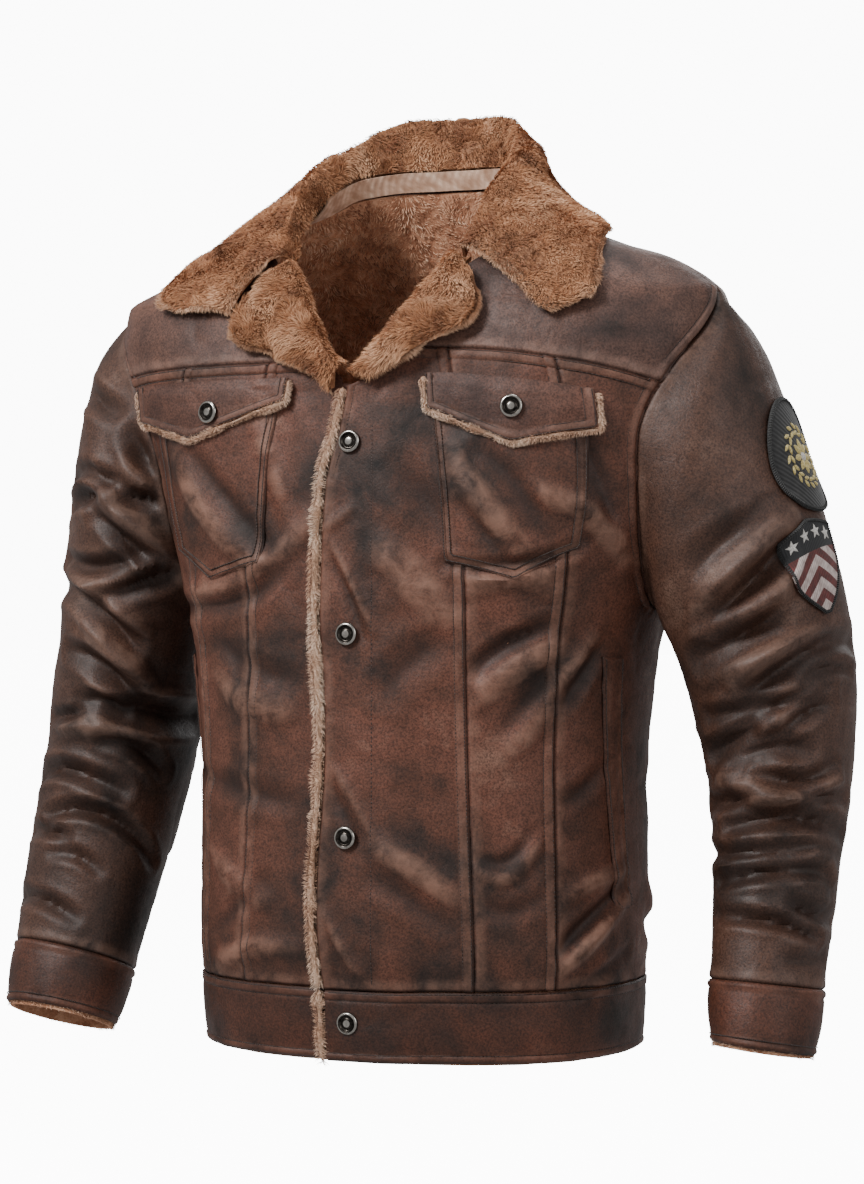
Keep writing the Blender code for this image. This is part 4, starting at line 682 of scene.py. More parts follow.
def seam_relief(distance, band):
    """A seam's groove, and on its banded side the raised strip and its second stitch row."""
    lift = -SEAM_DEPTH * np.exp(-(distance / SEAM_WIDTH) ** 2)
    if band > 0.0:
        lift += BAND_LIFT * (smooth_step(0.0006, 0.0024, distance)
                             - smooth_step(band - 0.0014, band + 0.0008, distance))
        lift -= STITCH_DEPTH * np.exp(-((distance - band) / 0.0009) ** 2)
    else:
        lift += 0.0003 * np.exp(-((distance - 0.0035) / 0.0020) ** 2)
    return lift


def small_wrinkles(points, amount):
    """The crumple of soft worn leather: uneven furrows a few centimetres apart."""
    stretched = points * np.array([1.0, 1.0, 1.35])
    warp = np.stack([noise(points, 0.050, 11), noise(points, 0.050, 12),
                     noise(points, 0.050, 13)], axis=-1) * 0.012
    wide = noise(stretched + warp, 0.038, 3)
    furrow = (1.0 - np.abs(wide)) ** 5
    fine = noise(stretched + warp * 0.5, 0.017, 5)
    fine_furrow = (1.0 - np.abs(fine)) ** 4
    patch = 0.35 + 0.65 * smooth_step(-0.5, 0.6, noise(points, 0.075, 7))
    swell = 0.6 * noise(points, 0.060, 9)
    return amount * patch * (swell - 0.9 * furrow - 0.35 * fine_furrow)


def sewn_relief(points, seams):
    """Relief that rows of (seam line, band) give points, and the distance to the nearest."""
    nearest = np.full(points.shape[:-1], FAR)
    relief = np.zeros(points.shape[:-1])
    for line, band in seams:
        distance = line_distance(points, line)
        relief += np.where(distance < RELIEF_REACH, seam_relief(distance, band), 0.0)
        nearest = np.minimum(nearest, distance)
    return relief, nearest


def setting(group, name):
    """A value from one of the jacket's property groups."""
    return getattr(getattr(bpy.context.scene, "jacket_" + group), name)


def body_skin(angle, height, out, seams, share=1.0):
    """Lay creases, crumple and sewn relief over the body's plain surface.

    Returns the finished points, the height of the creases and the distance to the nearest seam.
    """
    points = plain_body(angle, height)
    amount = share * setting("leather", "wrinkle")
    lift = fold_lift(points, BODY_FOLD_LINES) + small_wrinkles(points, amount)
    relief, nearest = sewn_relief(points, seams)
    calm = smooth_step(0.0, 0.012, nearest)
    pucker = 0.0007 * noise(points, 0.0085, 21) * np.exp(-nearest / 0.009)
    total = lift * between(0.55, 1.0, calm) + relief + pucker
    normals = body_normal(angle, height)
    return points + normals * (np.asarray(out) + total)[..., None], lift, nearest


def grid_normals(points, closed=False):
    """Normals of a grid of points whose columns run along u and whose rows run along v."""
    if closed:
        wide = np.concatenate([points[:, -2:-1], points, points[:, 1:2]], axis=1)
        across = wide[:, 2:] - wide[:, :-2]
    else:
        across = np.gradient(points, axis=1)
    return unit(np.cross(across, np.gradient(points, axis=0)))


def sleeve_normal(side, station, turn):
    down = plain_sleeve(side, station + 0.05, turn) - plain_sleeve(side, station - 0.05, turn)
    aside = plain_sleeve(side, station, turn + 2.0) - plain_sleeve(side, station, turn - 2.0)
    return unit(np.cross(down, aside)) * side


def sleeve_skin(side, station, turn, out, seams, amount=WRINKLE_DEPTH):
    """The same for a sleeve, whose creases fade out at its head and at the cuff."""
    station, turn = np.broadcast_arrays(np.asarray(station, float), np.asarray(turn, float))
    plain = plain_sleeve(side, station, turn)
    hold = smooth_step(0.0, 0.5, station) * (1.0 - smooth_step(11.5, 12.0, station))
    lift = fold_lift(plain, SLEEVE_FOLD_LINES[side]) * hold
    lift = lift + small_wrinkles(plain, amount) * between(0.3, 1.0, hold)
    relief, nearest = sewn_relief(plain, seams)
    pucker = 0.0009 * noise(plain, 0.0090, 23) * np.exp(-nearest / 0.012)
    normal = sleeve_normal(side, station, turn)
    total = lift + relief + pucker + np.asarray(out)
    return plain + normal * total[..., None], lift, nearest


def tucked(points, sink):
    """Add a row at each end of a tube that slips under its neighbour, so no light gets in."""
    def end(row, inner):
        centre = row.mean(axis=0)
        return row + unit(row - inner) * TUCK_REACH - unit(row - centre) * sink
    return np.concatenate([end(points[0], points[2])[None], points,
                           end(points[-1], points[-3])[None]])


# ------------------------------------------------------------------ meshes

# rows of a mesh stand at these distances from an edge: one with stitches, and a plain one
EDGE_MARKS = np.array((0.0, 0.0005, 0.0011, 0.0018, 0.0028, 0.0044, 0.0060, 0.0073, 0.0084,
                       0.0095, 0.0112, 0.0140))
PLAIN_MARKS = np.array((0.0, 0.0005, 0.0011, 0.0019, 0.0032, 0.0052))
PANEL_STEP = 0.0038


def spread(width, low_marks, high_marks, step):
    """Shares of a width: fine marks at both ends, even steps between them."""
    count = int(math.ceil(float(np.max(width)) / step))
    squeeze = np.minimum(1.0, 0.45 * width / max(low_marks[-1], high_marks[-1]))
    low = low_marks * squeeze / width
    high = 1.0 - high_marks[::-1] * squeeze / width
    steps = np.arange(1, count) / count
    return np.concatenate([low, low[..., -1:] + (high[..., :1] - low[..., -1:]) * steps, high],
                          axis=-1)


def level_rows(bottom, top, low_marks, high_marks, step=PANEL_STEP):
    """Heights of a panel's rows, closer together where the armhole runs level."""
    shares = spread(np.array([top - bottom]), low_marks, high_marks, step)
    rows = list(bottom + (top - bottom) * shares)
    for i in range(1, 14):
        rise = ARMHOLE_HALF * math.cos(math.radians(i * 2.2))
        rows += [ARMHOLE_MIDDLE - rise, ARMHOLE_MIDDLE + rise]
    rows += [UNDERARM, SHOULDER_TIP]
    kept = []
    for height in sorted(rows):
        if height < bottom - 1e-9 or height > top + 1e-9:
            continue
        if not kept or height - kept[-1] > 0.00035:
            kept.append(height)
    kept[-1] = top
    return np.array(kept)


def filled_mesh(name, points, corners, starts):
    """A mesh from arrays: its points, the corners of all faces and where each face starts."""
    mesh = bpy.data.meshes.new(name)
    mesh.vertices.add(points.size // 3)
    mesh.vertices.foreach_set("co", points.ravel())
    mesh.loops.add(corners.size)
    mesh.loops.foreach_set("vertex_index", corners.ravel())
    mesh.polygons.add(starts.size)
    mesh.polygons.foreach_set("loop_start", starts.ravel())
    mesh.update(calc_edges=True)
    return mesh


def new_piece(name, mesh):
    piece = bpy.data.objects.new(name, mesh)
    bpy.context.scene.collection.objects.link(piece)
    return piece


def grid_mesh(name, points, flat_uv, closed=False, fields=None):
    """A grid primitive whose corners are set on points[row, column]."""
    rows, columns = points.shape[:2]
    bpy.ops.object.select_all(action="DESELECT")
    bpy.ops.mesh.primitive_grid_add(x_subdivisions=columns - 1, y_subdivisions=rows - 1,
                                    size=2.0, location=(0.0, 0.0, 0.0))
    piece = bpy.context.object
    piece.name = name
    mesh = piece.data
    mesh.name = name
    place = np.empty(len(mesh.vertices) * 3)
    mesh.vertices.foreach_get("co", place)
    place = place.reshape(-1, 3)
    column = np.rint((place[:, 0] + 1.0) * 0.5 * (columns - 1)).astype(int)
    row = np.rint((place[:, 1] + 1.0) * 0.5 * (rows - 1)).astype(int)
    mesh.vertices.foreach_set("co", points[row, column].ravel())
    corner = np.empty(len(mesh.loops), int)
    mesh.loops.foreach_get("vertex_index", corner)
    mesh.uv_layers[0].data.foreach_set("uv", flat_uv[row[corner], column[corner]].ravel())
    for field, values in (fields or {}).items():
        layer = mesh.attributes.new(field, "FLOAT", "POINT")
        layer.data.foreach_set("value", np.ascontiguousarray(values[row, column], float))
    if closed:
        joined = bmesh.new()
        joined.from_mesh(mesh)
        bmesh.ops.remove_doubles(joined, verts=joined.verts, dist=0.00001)
        joined.to_mesh(mesh)
        joined.free()
    return piece


def select_only(piece):
    bpy.ops.object.select_all(action="DESELECT")
    piece.select_set(True)
    bpy.context.view_layer.objects.active = piece


def apply_modifier(piece, kind, **settings):
    select_only(piece)
    made = piece.modifiers.new(kind.title(), kind)
    for key, value in settings.items():
        setattr(made, key, value)
    bpy.ops.object.modifier_apply(modifier=made.name)


def smooth(piece, angle=50.0):
    select_only(piece)
    bpy.ops.object.shade_smooth_by_angle(angle=math.radians(angle))


def flat_lengths(points):
    """Place in metres of each point of a grid on the flat cut, and the cut's sizes."""
    across = np.linalg.norm(np.diff(points, axis=1), axis=-1)
    along = np.linalg.norm(np.diff(points, axis=0), axis=-1)
    u = np.concatenate([np.zeros((points.shape[0], 1)), np.cumsum(across, axis=1)], axis=1)
    v = np.concatenate([np.zeros((1, points.shape[1])), np.cumsum(along, axis=0)], axis=0)
    side_a = points[1:, 1:] - points[:-1, :-1]
    side_b = points[1:, :-1] - points[:-1, 1:]
    area = 0.5 * np.linalg.norm(np.cross(side_a, side_b), axis=-1).sum()
    return np.stack([u, v], axis=-1), float(u[:, -1].max()), float(v[-1].max()), float(area)


CUTS = []                    # name, width, length and area of every cut piece


def settle(piece, finish_name, nodes=()):
    """Give a piece its finish, its body and the solid it stands for."""
    piece.data.materials.clear()
    for name in ([finish_name] if isinstance(finish_name, str) else finish_name):
        piece.data.materials.append(finish(name))
    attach(piece, "root")
    if nodes:
        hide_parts(*nodes)
    return piece


def cloth(name, plain, points, finish_name, thickness, closed=False,
          lift=None, nearest=None):
    """A cut piece of cloth as a thin wall whose outer face lies on points."""
    flat_uv, width, length, area = flat_lengths(plain)
    shape = plain.shape[:2]
    lift = np.zeros(shape) if lift is None else lift
    nearest = np.full(shape, 0.05) if nearest is None else nearest
    # the leather finishes use these fields to paint shade into creases and seam grooves, and partly
    # painted highlights onto ridges and seam bands
    fields = {"crease": np.clip(lift / 0.004, -1.5, 1.5), "edge": np.minimum(nearest, 0.05)}
    piece = grid_mesh(name + "_cloth", points, flat_uv, closed, fields)
    apply_modifier(piece, "SOLIDIFY", thickness=thickness, offset=-1.0)
    smooth(piece)
    settle(piece, finish_name, (name,))
    CUTS.append((name, width, length, area))
    return piece


# ------------------------------------------------------------------ front, back and waistband

def seam_path(pairs):
    pairs = np.array(pairs)
    return plain_body(pairs[:, 0], pairs[:, 1])


def upright_seam(side, read):
    heights = np.linspace(BAND_HEIGHT, 0.530, 70)
    return seam_path(np.stack([side * read(heights)[1], heights], axis=-1))


def yoke_line(side):
    angles = np.linspace(0.0, 76.0, 60)
    return seam_path(np.stack([side * angles, read_yoke_seam[side](angles)[1]], axis=-1))


def armhole_line(side):
    return armhole_point(side, np.linspace(0.0, 360.0, 97))


def level_line(height, first, last):
    angles = np.linspace(first, last, 120)
    return seam_path(np.stack([angles, np.full(120, height)], axis=-1))


PLACKET_ANGLE = 8.6          # row of stitches along the lapping front

SEAMS = {
    "inner": {side: upright_seam(side, read_inner_seam) for side, _ in SIDES},
    "outer": {side: upright_seam(side, read_outer_seam) for side, _ in SIDES},
    "yoke": {side: yoke_line(side) for side, _ in SIDES},
    "armhole": {side: armhole_line(side) for side, _ in SIDES},
    "waist": level_line(BAND_HEIGHT, -12.0, 372.0),
    "back_yoke": level_line(BACK_YOKE_SEAM, 88.0, 272.0),
    "front_edge": seam_path(np.stack([read_lap_edge(np.linspace(0.0, 0.5, 60))[1],
                                      np.linspace(0.0, 0.5, 60)], axis=-1)),
    "neck": {side: seam_path(np.stack([side * np.linspace(1.0, 90.0, 60),
                                       neck_height(np.linspace(1.0, 90.0, 60))], axis=-1))
             for side, _ in SIDES},
}
ARM_BAND = 0.0075


def front_edge_angle(side, height):
    height = np.asarray(height, float)
    edge = read_lap_edge(height)[1] if side > 0 else np.full_like(height, -UNDERLAP_EDGE)
    above = height >= neck_height(0.0) - 0.004
    return np.where(above, np.maximum(edge, neck_angle(height, NECK_TURN)), edge)


def metres_per_degree(angle, height):
    step = plain_body(angle + 0.5, height) - plain_body(angle - 0.5, height)
    return np.linalg.norm(step, axis=-1)


def panel_grid(side, low_edge, high_edge, rows, top, low_marks, high_marks, step):
    """Angles and heights of a panel between two edges; the last row lies on its top seam."""
    levels = np.asarray(rows)[:, None]
    height = levels
    angle = between(low_edge(levels), high_edge(levels), 0.5)
    share = None
    for _ in range(4):
        low, high = low_edge(height), high_edge(height)
        width = np.abs(high - low) * metres_per_degree(side * between(low, high, 0.5), height)
        if share is None:
            row_width = width.reshape(len(rows), -1).mean(axis=1)
            share = spread(row_width[:, None], low_marks, high_marks, step)
        angle = between(low, high, share)
        height = levels + (top(angle) - rows[-1]) * smooth_step(0.42, rows[-1], levels)
        height = np.broadcast_to(height, angle.shape)
    return angle, height


YOKE_END = 74.0              # angle at which the yoke seam meets the armhole
BACK_STEP = 0.0046           # mesh spacing across the back
SETTLING = 5                 # rounds in which a yoke's rows and columns find their places


def mirrored(side, *grids):
    """Turn the columns round on the wearer's right, so that every grid runs the same way."""
    return grids if side > 0 else tuple(grid[:, ::-1] for grid in grids)


def inner_edge(height, sign=1.0):
    """Angle of a front panel's edge: beyond the seam it shares, or short of it."""
    return read_inner_seam(height)[1] + sign * half_gap(height)


def outer_edge(height, sign=1.0):
    return read_outer_seam(height)[1] + sign * half_gap(height)


def front_panel(name, side, low_edge, high_edge, rows, seams):
    """One of the three panels of a front, between two upright seams and below the yoke."""
    def top(angle):
        return read_yoke_seam[side](angle)[1] - SEAM_GAP

    angle, height = panel_grid(side, low_edge, high_edge, rows, top, PLAIN_MARKS, EDGE_MARKS,
                               setting("leather", "panel_step"))
    angle, height = mirrored(side, side * angle, height)
    plain = plain_body(angle, height)
    points, lift, nearest = body_skin(angle, height, lap(side * angle, side), seams)
    cloth(name, plain, points, "leather_panels", PANEL_WALL, lift=lift,
          nearest=nearest)


def build_front_panels():
    for side, word in SIDES:
        arm_seam = float(read_yoke_seam[side](YOKE_END)[1])
        rows = level_rows(BAND_HEIGHT + SEAM_GAP, arm_seam - SEAM_GAP, PLAIN_MARKS, EDGE_MARKS)
        ends = [(SEAMS["yoke"][side], BAND_WIDTH), (SEAMS["waist"], 0.0)]
        inner, outer = SEAMS["inner"][side], SEAMS["outer"][side]
        edge, trims = [], []
        if side > 0:
            edge = [(SEAMS["front_edge"], LAP_BAND)]
            trims = [bpy.data.objects[n] for n in ("front_edge_fleece_roll", "pile_front_edge")]
        front_panel("front_centre_" + word, side, lambda h: front_edge_angle(side, h),
                    lambda h: inner_edge(h, -1.0), rows, ends + [(inner, BAND_WIDTH)] + edge)
        front_panel("front_middle_" + word, side, inner_edge, lambda h: outer_edge(h, -1.0),
                    rows, ends + [(inner, 0.0), (outer, BAND_WIDTH)])
        front_panel("front_side_" + word, side, outer_edge, side_angle, rows,
                    ends + [(outer, 0.0), (SEAMS["armhole"][side], ARM_BAND)])


def build_front_yokes():
    top = float(neck_height(90.0)) - NECK_TURN
    for side, word in SIDES:
        arm_seam = float(read_yoke_seam[side](YOKE_END)[1]) + SEAM_GAP
        rows = level_rows(arm_seam, top, PLAIN_MARKS, PLAIN_MARKS)[:, None]
        keep = np.clip(1.0 - (rows - arm_seam) / (SHOULDER_TIP - arm_seam), 0.0, 1.0)
        height, share = rows, None
        for _ in range(SETTLING):
            low = np.minimum(neck_angle(height, NECK_TURN), 84.0)
            high = side_angle(height)
            if share is None:
                width = (high - low) * metres_per_degree(side * 60.0, height)
                share = spread(width, PLAIN_MARKS, EDGE_MARKS, PANEL_STEP)
            angle = between(low, high, share)
            height = rows + (read_yoke_seam[side](angle)[1] + SEAM_GAP - arm_seam) * keep
        angle, height = mirrored(side, side * angle, np.broadcast_to(height, angle.shape))
        points, lift, nearest = body_skin(angle, height, lap(side * angle, side),
                                          [(SEAMS["yoke"][side], 0.0),
                                           (SEAMS["armhole"][side], ARM_BAND)])
        cloth("front_yoke_" + word, plain_body(angle, height), points, "leather_yokes",
              PANEL_WALL, lift=lift, nearest=nearest)


def build_back():
    rows = level_rows(BAND_HEIGHT + SEAM_GAP, BACK_YOKE_SEAM - SEAM_GAP, PLAIN_MARKS, EDGE_MARKS)
    height = rows[:, None]
    reach = side_angle(height)
    width = 2.0 * reach * metres_per_degree(np.full_like(height, 180.0), height)
    share = spread(width, EDGE_MARKS, EDGE_MARKS, BACK_STEP)
    angle = between(180.0 - reach, 180.0 + reach, share)
    height = np.broadcast_to(height, angle.shape)
    both_arms = [(SEAMS["armhole"][side], ARM_BAND) for side, _ in SIDES]
    points, lift, nearest = body_skin(angle, height, 0.0,
                                      [(SEAMS["back_yoke"], BAND_WIDTH), (SEAMS["waist"], 0.0)]
                                      + both_arms)
    cloth("back_panel", plain_body(angle, height), points, "leather_panels",
          PANEL_WALL, lift=lift, nearest=nearest)

    low_rows = level_rows(BACK_YOKE_SEAM + SEAM_GAP, SHOULDER_TIP, PLAIN_MARKS, (0.0,))
    rise = np.linspace(0.0, 1.0, 26)[1:]
    angle = np.broadcast_to(180.0, (len(low_rows) + len(rise), 1))
    share = None
    for _ in range(SETTLING):
        top = neck_height(angle) - NECK_TURN
        low_part = np.broadcast_to(low_rows[:, None], (len(low_rows), angle.shape[1]))
        high_part = between(SHOULDER_TIP, top[len(low_rows):], rise[:, None])
        height = np.concatenate([low_part, high_part], axis=0)
        reach = side_angle(height)
        if share is None:
            width = 2.0 * reach[:, :1] * metres_per_degree(np.full_like(height[:, :1], 180.0),
                                                           height[:, :1])
            share = spread(width, EDGE_MARKS, EDGE_MARKS, BACK_STEP)
        angle = between(180.0 - reach, 180.0 + reach, share)
    points, lift, nearest = body_skin(angle, height, 0.0, [(SEAMS["back_yoke"], 0.0)] + both_arms)
    cloth("back_yoke", plain_body(angle, height), points, "leather_yokes",
          PANEL_WALL, lift=lift, nearest=nearest)


def band_out(angle, height):
    """How far the waistband stands off the body: its lapping end and its padding."""
    out = np.where(angle < 180.0, lap(angle, 1), 0.0)
    return out + 0.0016 * np.sin(math.pi * height / BAND_HEIGHT) ** 0.7


BAND_SEAMS = [(SEAMS["waist"], 0.0078), (level_line(0.0, -12.0, 372.0), 0.0062)]


def build_waistband():
    marks = np.array([0.0, 0.0006, 0.0014, 0.0026, 0.0045, 0.0062, 0.0080, 0.0105, 0.014, 0.018,
                      0.022, 0.026, 0.030, 0.034, 0.038, 0.0405, 0.0425, 0.0438, 0.0448, 0.0458,
                      0.0468, 0.0485, 0.0500, 0.0510, 0.0518, 0.0524, BAND_HEIGHT - 0.0006])
    share = spread(np.array([1.16]), PLAIN_MARKS, PLAIN_MARKS, 0.0042)
    angle = between(LAP_EDGE[0][1], 360.0 + UNDERLAP_EDGE, share[None, :])
    angle, height = np.broadcast_arrays(angle, marks[:, None])
    points, lift, nearest = body_skin(angle, height, band_out(angle, height), BAND_SEAMS,
                                      BAND_CRUMPLE)
    cloth("waistband", plain_body(angle, height), points, "leather_bands",
          PANEL_WALL, lift=lift, nearest=nearest)


# ------------------------------------------------------------------ lining and tape

def lined(angle, height):
    depth = LEATHER + LINING_GAP
    return plain_body(angle, height) - body_normal(angle, height) * depth


def fleece_lumps(points, amount=0.0011):
    """The clumps that a plush pile falls into."""
    return amount * (noise(points, 0.011, 31) + 0.6 * noise(points, 0.0055, 32))


def lining_piece(name, plain):
    inward = plain - grid_normals(plain) * fleece_lumps(plain)[..., None] * 0.5
    return cloth(name, plain, inward, "plush_ground_lining", FLEECE)


def build_lining():
    split = UNDERARM - 0.008
    u = np.linspace(0.15, 359.85, 200)[None, :]
    v = np.linspace(-HEM_FLEECE, split, 58)[:, None]
    angle, height = np.broadcast_arrays(u, v)
    lining_piece("body_lining", lined(angle, height))

    rows = level_rows(split + SEAM_GAP * 4.0, SHOULDER_TIP, (0.0,), (0.0,), 0.006)
    rise = np.linspace(0.0, 1.0, 30)[1:]
    angle = np.linspace(90.0, 270.0, 110)[None, :]
    share = np.linspace(0.0, 1.0, 110)[None, :]
    for _ in range(5):
        wide = np.broadcast_to(angle, (len(rows) + len(rise), 110))
        top = neck_height(wide[len(rows):]) - LINING_TURN
        height = np.concatenate([np.broadcast_to(rows[:, None], (len(rows), 110)),
                                 between(SHOULDER_TIP, top, rise[:, None])], axis=0)
        limit = 90.0 - np.maximum(arm_angle(height, 0.006), 0.5)
        angle = between(180.0 - limit, 180.0 + limit, share)
    plain = lined(angle, height)
    keep = height > 0.47
    strands = pile("pile_back_lining", plain, -grid_normals(plain), keep, 26000, 0.0050, 0.00058,
                   1.1, "plush_pile_lining", 41, base=FLEECE * 0.9)
    lining_piece("back_lining", plain)

    for side, word in SIDES:
        rows = level_rows(split + SEAM_GAP * 4.0, float(neck_height(90.0)) - LINING_TURN,
                          (0.0,), (0.0,), 0.006)
        height = rows[:, None]
        limit = 90.0 - np.maximum(arm_angle(height, 0.006), 0.5)
        start = np.where(height > neck_height(0.0) - LINING_TURN,
                         neck_angle(height + 0.004, LINING_TURN), 0.15)
        angle = side * between(start, limit, np.linspace(0.0, 1.0, 40)[None, :])
        angle, height = mirrored(side, angle, np.broadcast_to(height, angle.shape))
        lining_piece("front_lining_" + word, lined(angle, height))


def build_tape():
    """The woven tape that covers the neck seam inside the back."""
    depth = LEATHER + LINING_GAP + FLEECE + LAYER_GAP
    angle = np.linspace(100.0, 268.0, 140)[None, :]
    v = np.linspace(0.0, 1.0, 14)[:, None]
    height = neck_height(angle) + between(-0.010, 0.005, v)
    angle, height = np.broadcast_arrays(angle, height)
    plain = plain_body(angle, height) - body_normal(angle, height) * depth
    wave = 0.0005 * noise(plain, 0.016, 51)
    points = plain + body_normal(angle, height) * wave[..., None]
    cloth("neck_tape", plain, points, "cotton_tape", TAPE)


# ------------------------------------------------------------------ sleeves and cuffs

CUFF_GAP = 0.008             # in stations, between the sleeve and its cuff
CUFF_BAND = 0.0065           # raised band along the cuff's seam and along its end
CUFF_END_BAND = 0.006


def turns(side, count):
    u = np.linspace(0.0, 1.0, count)
    return 360.0 * (1.0 - u if side > 0 else u)


def sleeve_line(side, station):
    return plain_sleeve(side, np.full(90, station), np.linspace(0.0, 360.0, 90))


def back_seam_turn(station):
    """Turn at which the sleeve's seam runs, a little curved behind the elbow."""
    return 118.0 + 10.0 * np.sin(station * 0.25)


def back_sleeve_seam(side):
    station = np.linspace(0.0, CUFF_STATION, 80)
    return plain_sleeve(side, station, back_seam_turn(station))


SLEEVE_SEAMS = {side: {
    "head": sleeve_line(side, 0.0),
    "cuff": sleeve_line(side, float(CUFF_STATION)),
    "end": sleeve_line(side, float(LAST_STATION)),
    "back": back_sleeve_seam(side),
} for side, _ in SIDES}


def joined(*fields):
    """Fields on a tube's grid, with the last column made one with the first."""
    for field in fields:
        field[:, -1] = field[:, 0]
    return fields


def build_sleeve(side, word, seams):
    fine = np.array([0.0, 0.02, 0.045, 0.075, 0.115, 0.17, 0.24])
    station = np.concatenate([fine, np.linspace(0.31, CUFF_STATION - 0.32, 172),
                              CUFF_STATION - CUFF_GAP - fine[::-1]])
    station, turn = np.broadcast_arrays(station[:, None], turns(side, 151))
    points, lift, nearest = joined(*sleeve_skin(side, station, turn, 0.0,
                                                [(seams["head"], 0.0), (seams["cuff"], 0.0),
                                                 (seams["back"], BAND_WIDTH)]))
    plain = plain_sleeve(side, station, turn)
    lift, nearest = (np.concatenate([f[:1], f, f[-1:]]) for f in (lift, nearest))
    cloth("sleeve_" + word, tucked(plain, 0.0), tucked(points, TUCK_SINK), "leather_sleeves",
          PANEL_WALL, closed=True, lift=lift, nearest=nearest)


def build_cuff(side, word, seams):
    marks = np.array([0.0, 0.02, 0.05, 0.09, 0.14, 0.19, 0.25, 0.34, 0.44, 0.54, 0.64, 0.74,
                      0.82, 0.88, 0.93, 0.965, 0.985, 1.0])
    station = between(CUFF_STATION + CUFF_GAP, LAST_STATION, marks)
    station, turn = np.broadcast_arrays(station[:, None], turns(side, 121))
    out = 0.0018 * np.sin(math.pi * np.minimum(1.0, (station - CUFF_STATION) * 1.1)) ** 0.7
    points, lift, nearest = joined(*sleeve_skin(side, station, turn, out,
                                                [(seams["cuff"], CUFF_BAND),
                                                 (seams["end"], CUFF_END_BAND)], CUFF_WRINKLE))
    cloth("cuff_" + word, plain_sleeve(side, station, turn), points, "leather_bands",
          PANEL_WALL, closed=True, lift=lift, nearest=nearest)


def build_cuff_lining(side, word):
    station = between(CUFF_STATION - 0.30, LAST_STATION, np.linspace(0.0, 1.0, 12))
    station, turn = np.broadcast_arrays(station[:, None], turns(side, 91))
    plain = ring_point(side, station, turn, np.full(station.shape, -LEATHER - LAYER_GAP))
    plain[-1] += np.array([0.0, -0.0008, -0.0024])
    normal = grid_normals(plain, True)
    points, = joined(plain + normal * fleece_lumps(plain, 0.0005)[..., None])
    rim = pile("pile_cuff_" + word, plain[-3:], normal[-3:], None, 2600, 0.0036, 0.00034, 0.6,
               "plush_pile_edge", 43 + side)
    cloth("cuff_lining_" + word, plain, points, "plush_ground_lining", FLEECE * 0.8,
          closed=True)


def build_sleeves():
    for side, word in SIDES:
        build_sleeve(side, word, SLEEVE_SEAMS[side])
        build_cuff(side, word, SLEEVE_SEAMS[side])
        build_cuff_lining(side, word)


# ------------------------------------------------------------------ pile

COMB = np.array([0.0, 0.0, -1.0])      # the way the pile is brushed
ROLL_SIDES = 14
ROLL_BLADE = 0.00036         # width of the blades on a roll
LEAN = 0.7                   # how much they lean


def pile(name, points, normals, keep, count, length, width, lean, finish_name, seed, base=0.0):
    """Tufts of plush on a grid: short bent blades that lean in swirls.

    Each blade has a root, a bend and a tip; two attributes carry its tone and how far along
    it a point is.
    """
    rng = np.random.default_rng(seed)
    rows, columns = points.shape[0] - 1, points.shape[1] - 1
    area = np.linalg.norm(np.cross(points[1:, 1:] - points[:-1, :-1],
                                   points[1:, :-1] - points[:-1, 1:]), axis=-1)
    if keep is not None:
        area = area * keep[:-1, :-1]
    chance = np.cumsum(area.ravel())
    cell = np.searchsorted(chance, rng.random(count) * chance[-1])
    cell = np.minimum(cell, rows * columns - 1)
    row, column = cell // columns, cell % columns
    s, t = rng.random((2, count, 1))

    def across(grid):
        low = grid[row, column] * (1.0 - s) + grid[row, column + 1] * s
        high = grid[row + 1, column] * (1.0 - s) + grid[row + 1, column + 1] * s
        return low * (1.0 - t) + high * t

    normal = unit(across(normals))
    root = across(points) + normal * base
    swirl = 1.15 * noise(root, 0.026, seed + 1) + 0.5 * noise(root, 0.010, seed + 2)
    swirl = swirl * math.pi + (rng.random(count) - 0.5) * 0.9
    down = COMB - normal * (normal @ COMB)[:, None]
    down = unit(down + 1e-6)
    aside = np.cross(normal, down)
    flow = down * np.cos(swirl)[:, None] + aside * np.sin(swirl)[:, None]
    flow = unit(flow + down * 0.55)
    reach = length * (0.72 + 0.45 * rng.random((count, 1)))
    reach *= 1.0 + 0.18 * noise(root, 0.012, seed + 3)[:, None]
    tilt = lean * (0.75 + 0.5 * rng.random((count, 1)))
    first = unit(normal + flow * tilt * 0.7)
    stray = aside * 0.3 * (rng.random((count, 1)) - 0.5)
    second = unit(normal * 0.55 + flow * tilt * 1.35 + stray)
    bend = root + first * reach * 0.5
    tip = bend + second * reach * 0.5
    side = unit(np.cross(first, normal + flow * 0.3 + rng.normal(0.0, 0.25, (count, 3))))
    half = 0.5 * width * (0.7 + 0.6 * rng.random((count, 1)))
    corners = np.stack([root - side * half, root + side * half, bend + side * half * 0.85,
                        bend - side * half * 0.85, tip], axis=1)
    start = np.arange(count)[:, None]
    mesh = filled_mesh(name, corners, start * 5 + [0, 1, 2, 3, 3, 2, 4], start * 7 + [0, 4])
    own = (0.5 + 0.50 * noise(root, 0.030, seed + 5) + 0.22 * noise(root, 0.009, seed + 6)
           + 0.14 * (rng.random(count) - 0.5))
    layer = mesh.attributes.new("tone", "FLOAT", "POINT")
    layer.data.foreach_set("value", np.repeat(np.clip(own, 0.0, 1.0), 5))
    along = mesh.attributes.new("along", "FLOAT", "POINT")
    along.data.foreach_set("value", np.tile([0.0, 0.0, 0.55, 0.55, 1.0], count))
    piece = new_piece(name, mesh)
    settle(piece, finish_name)
    return piece


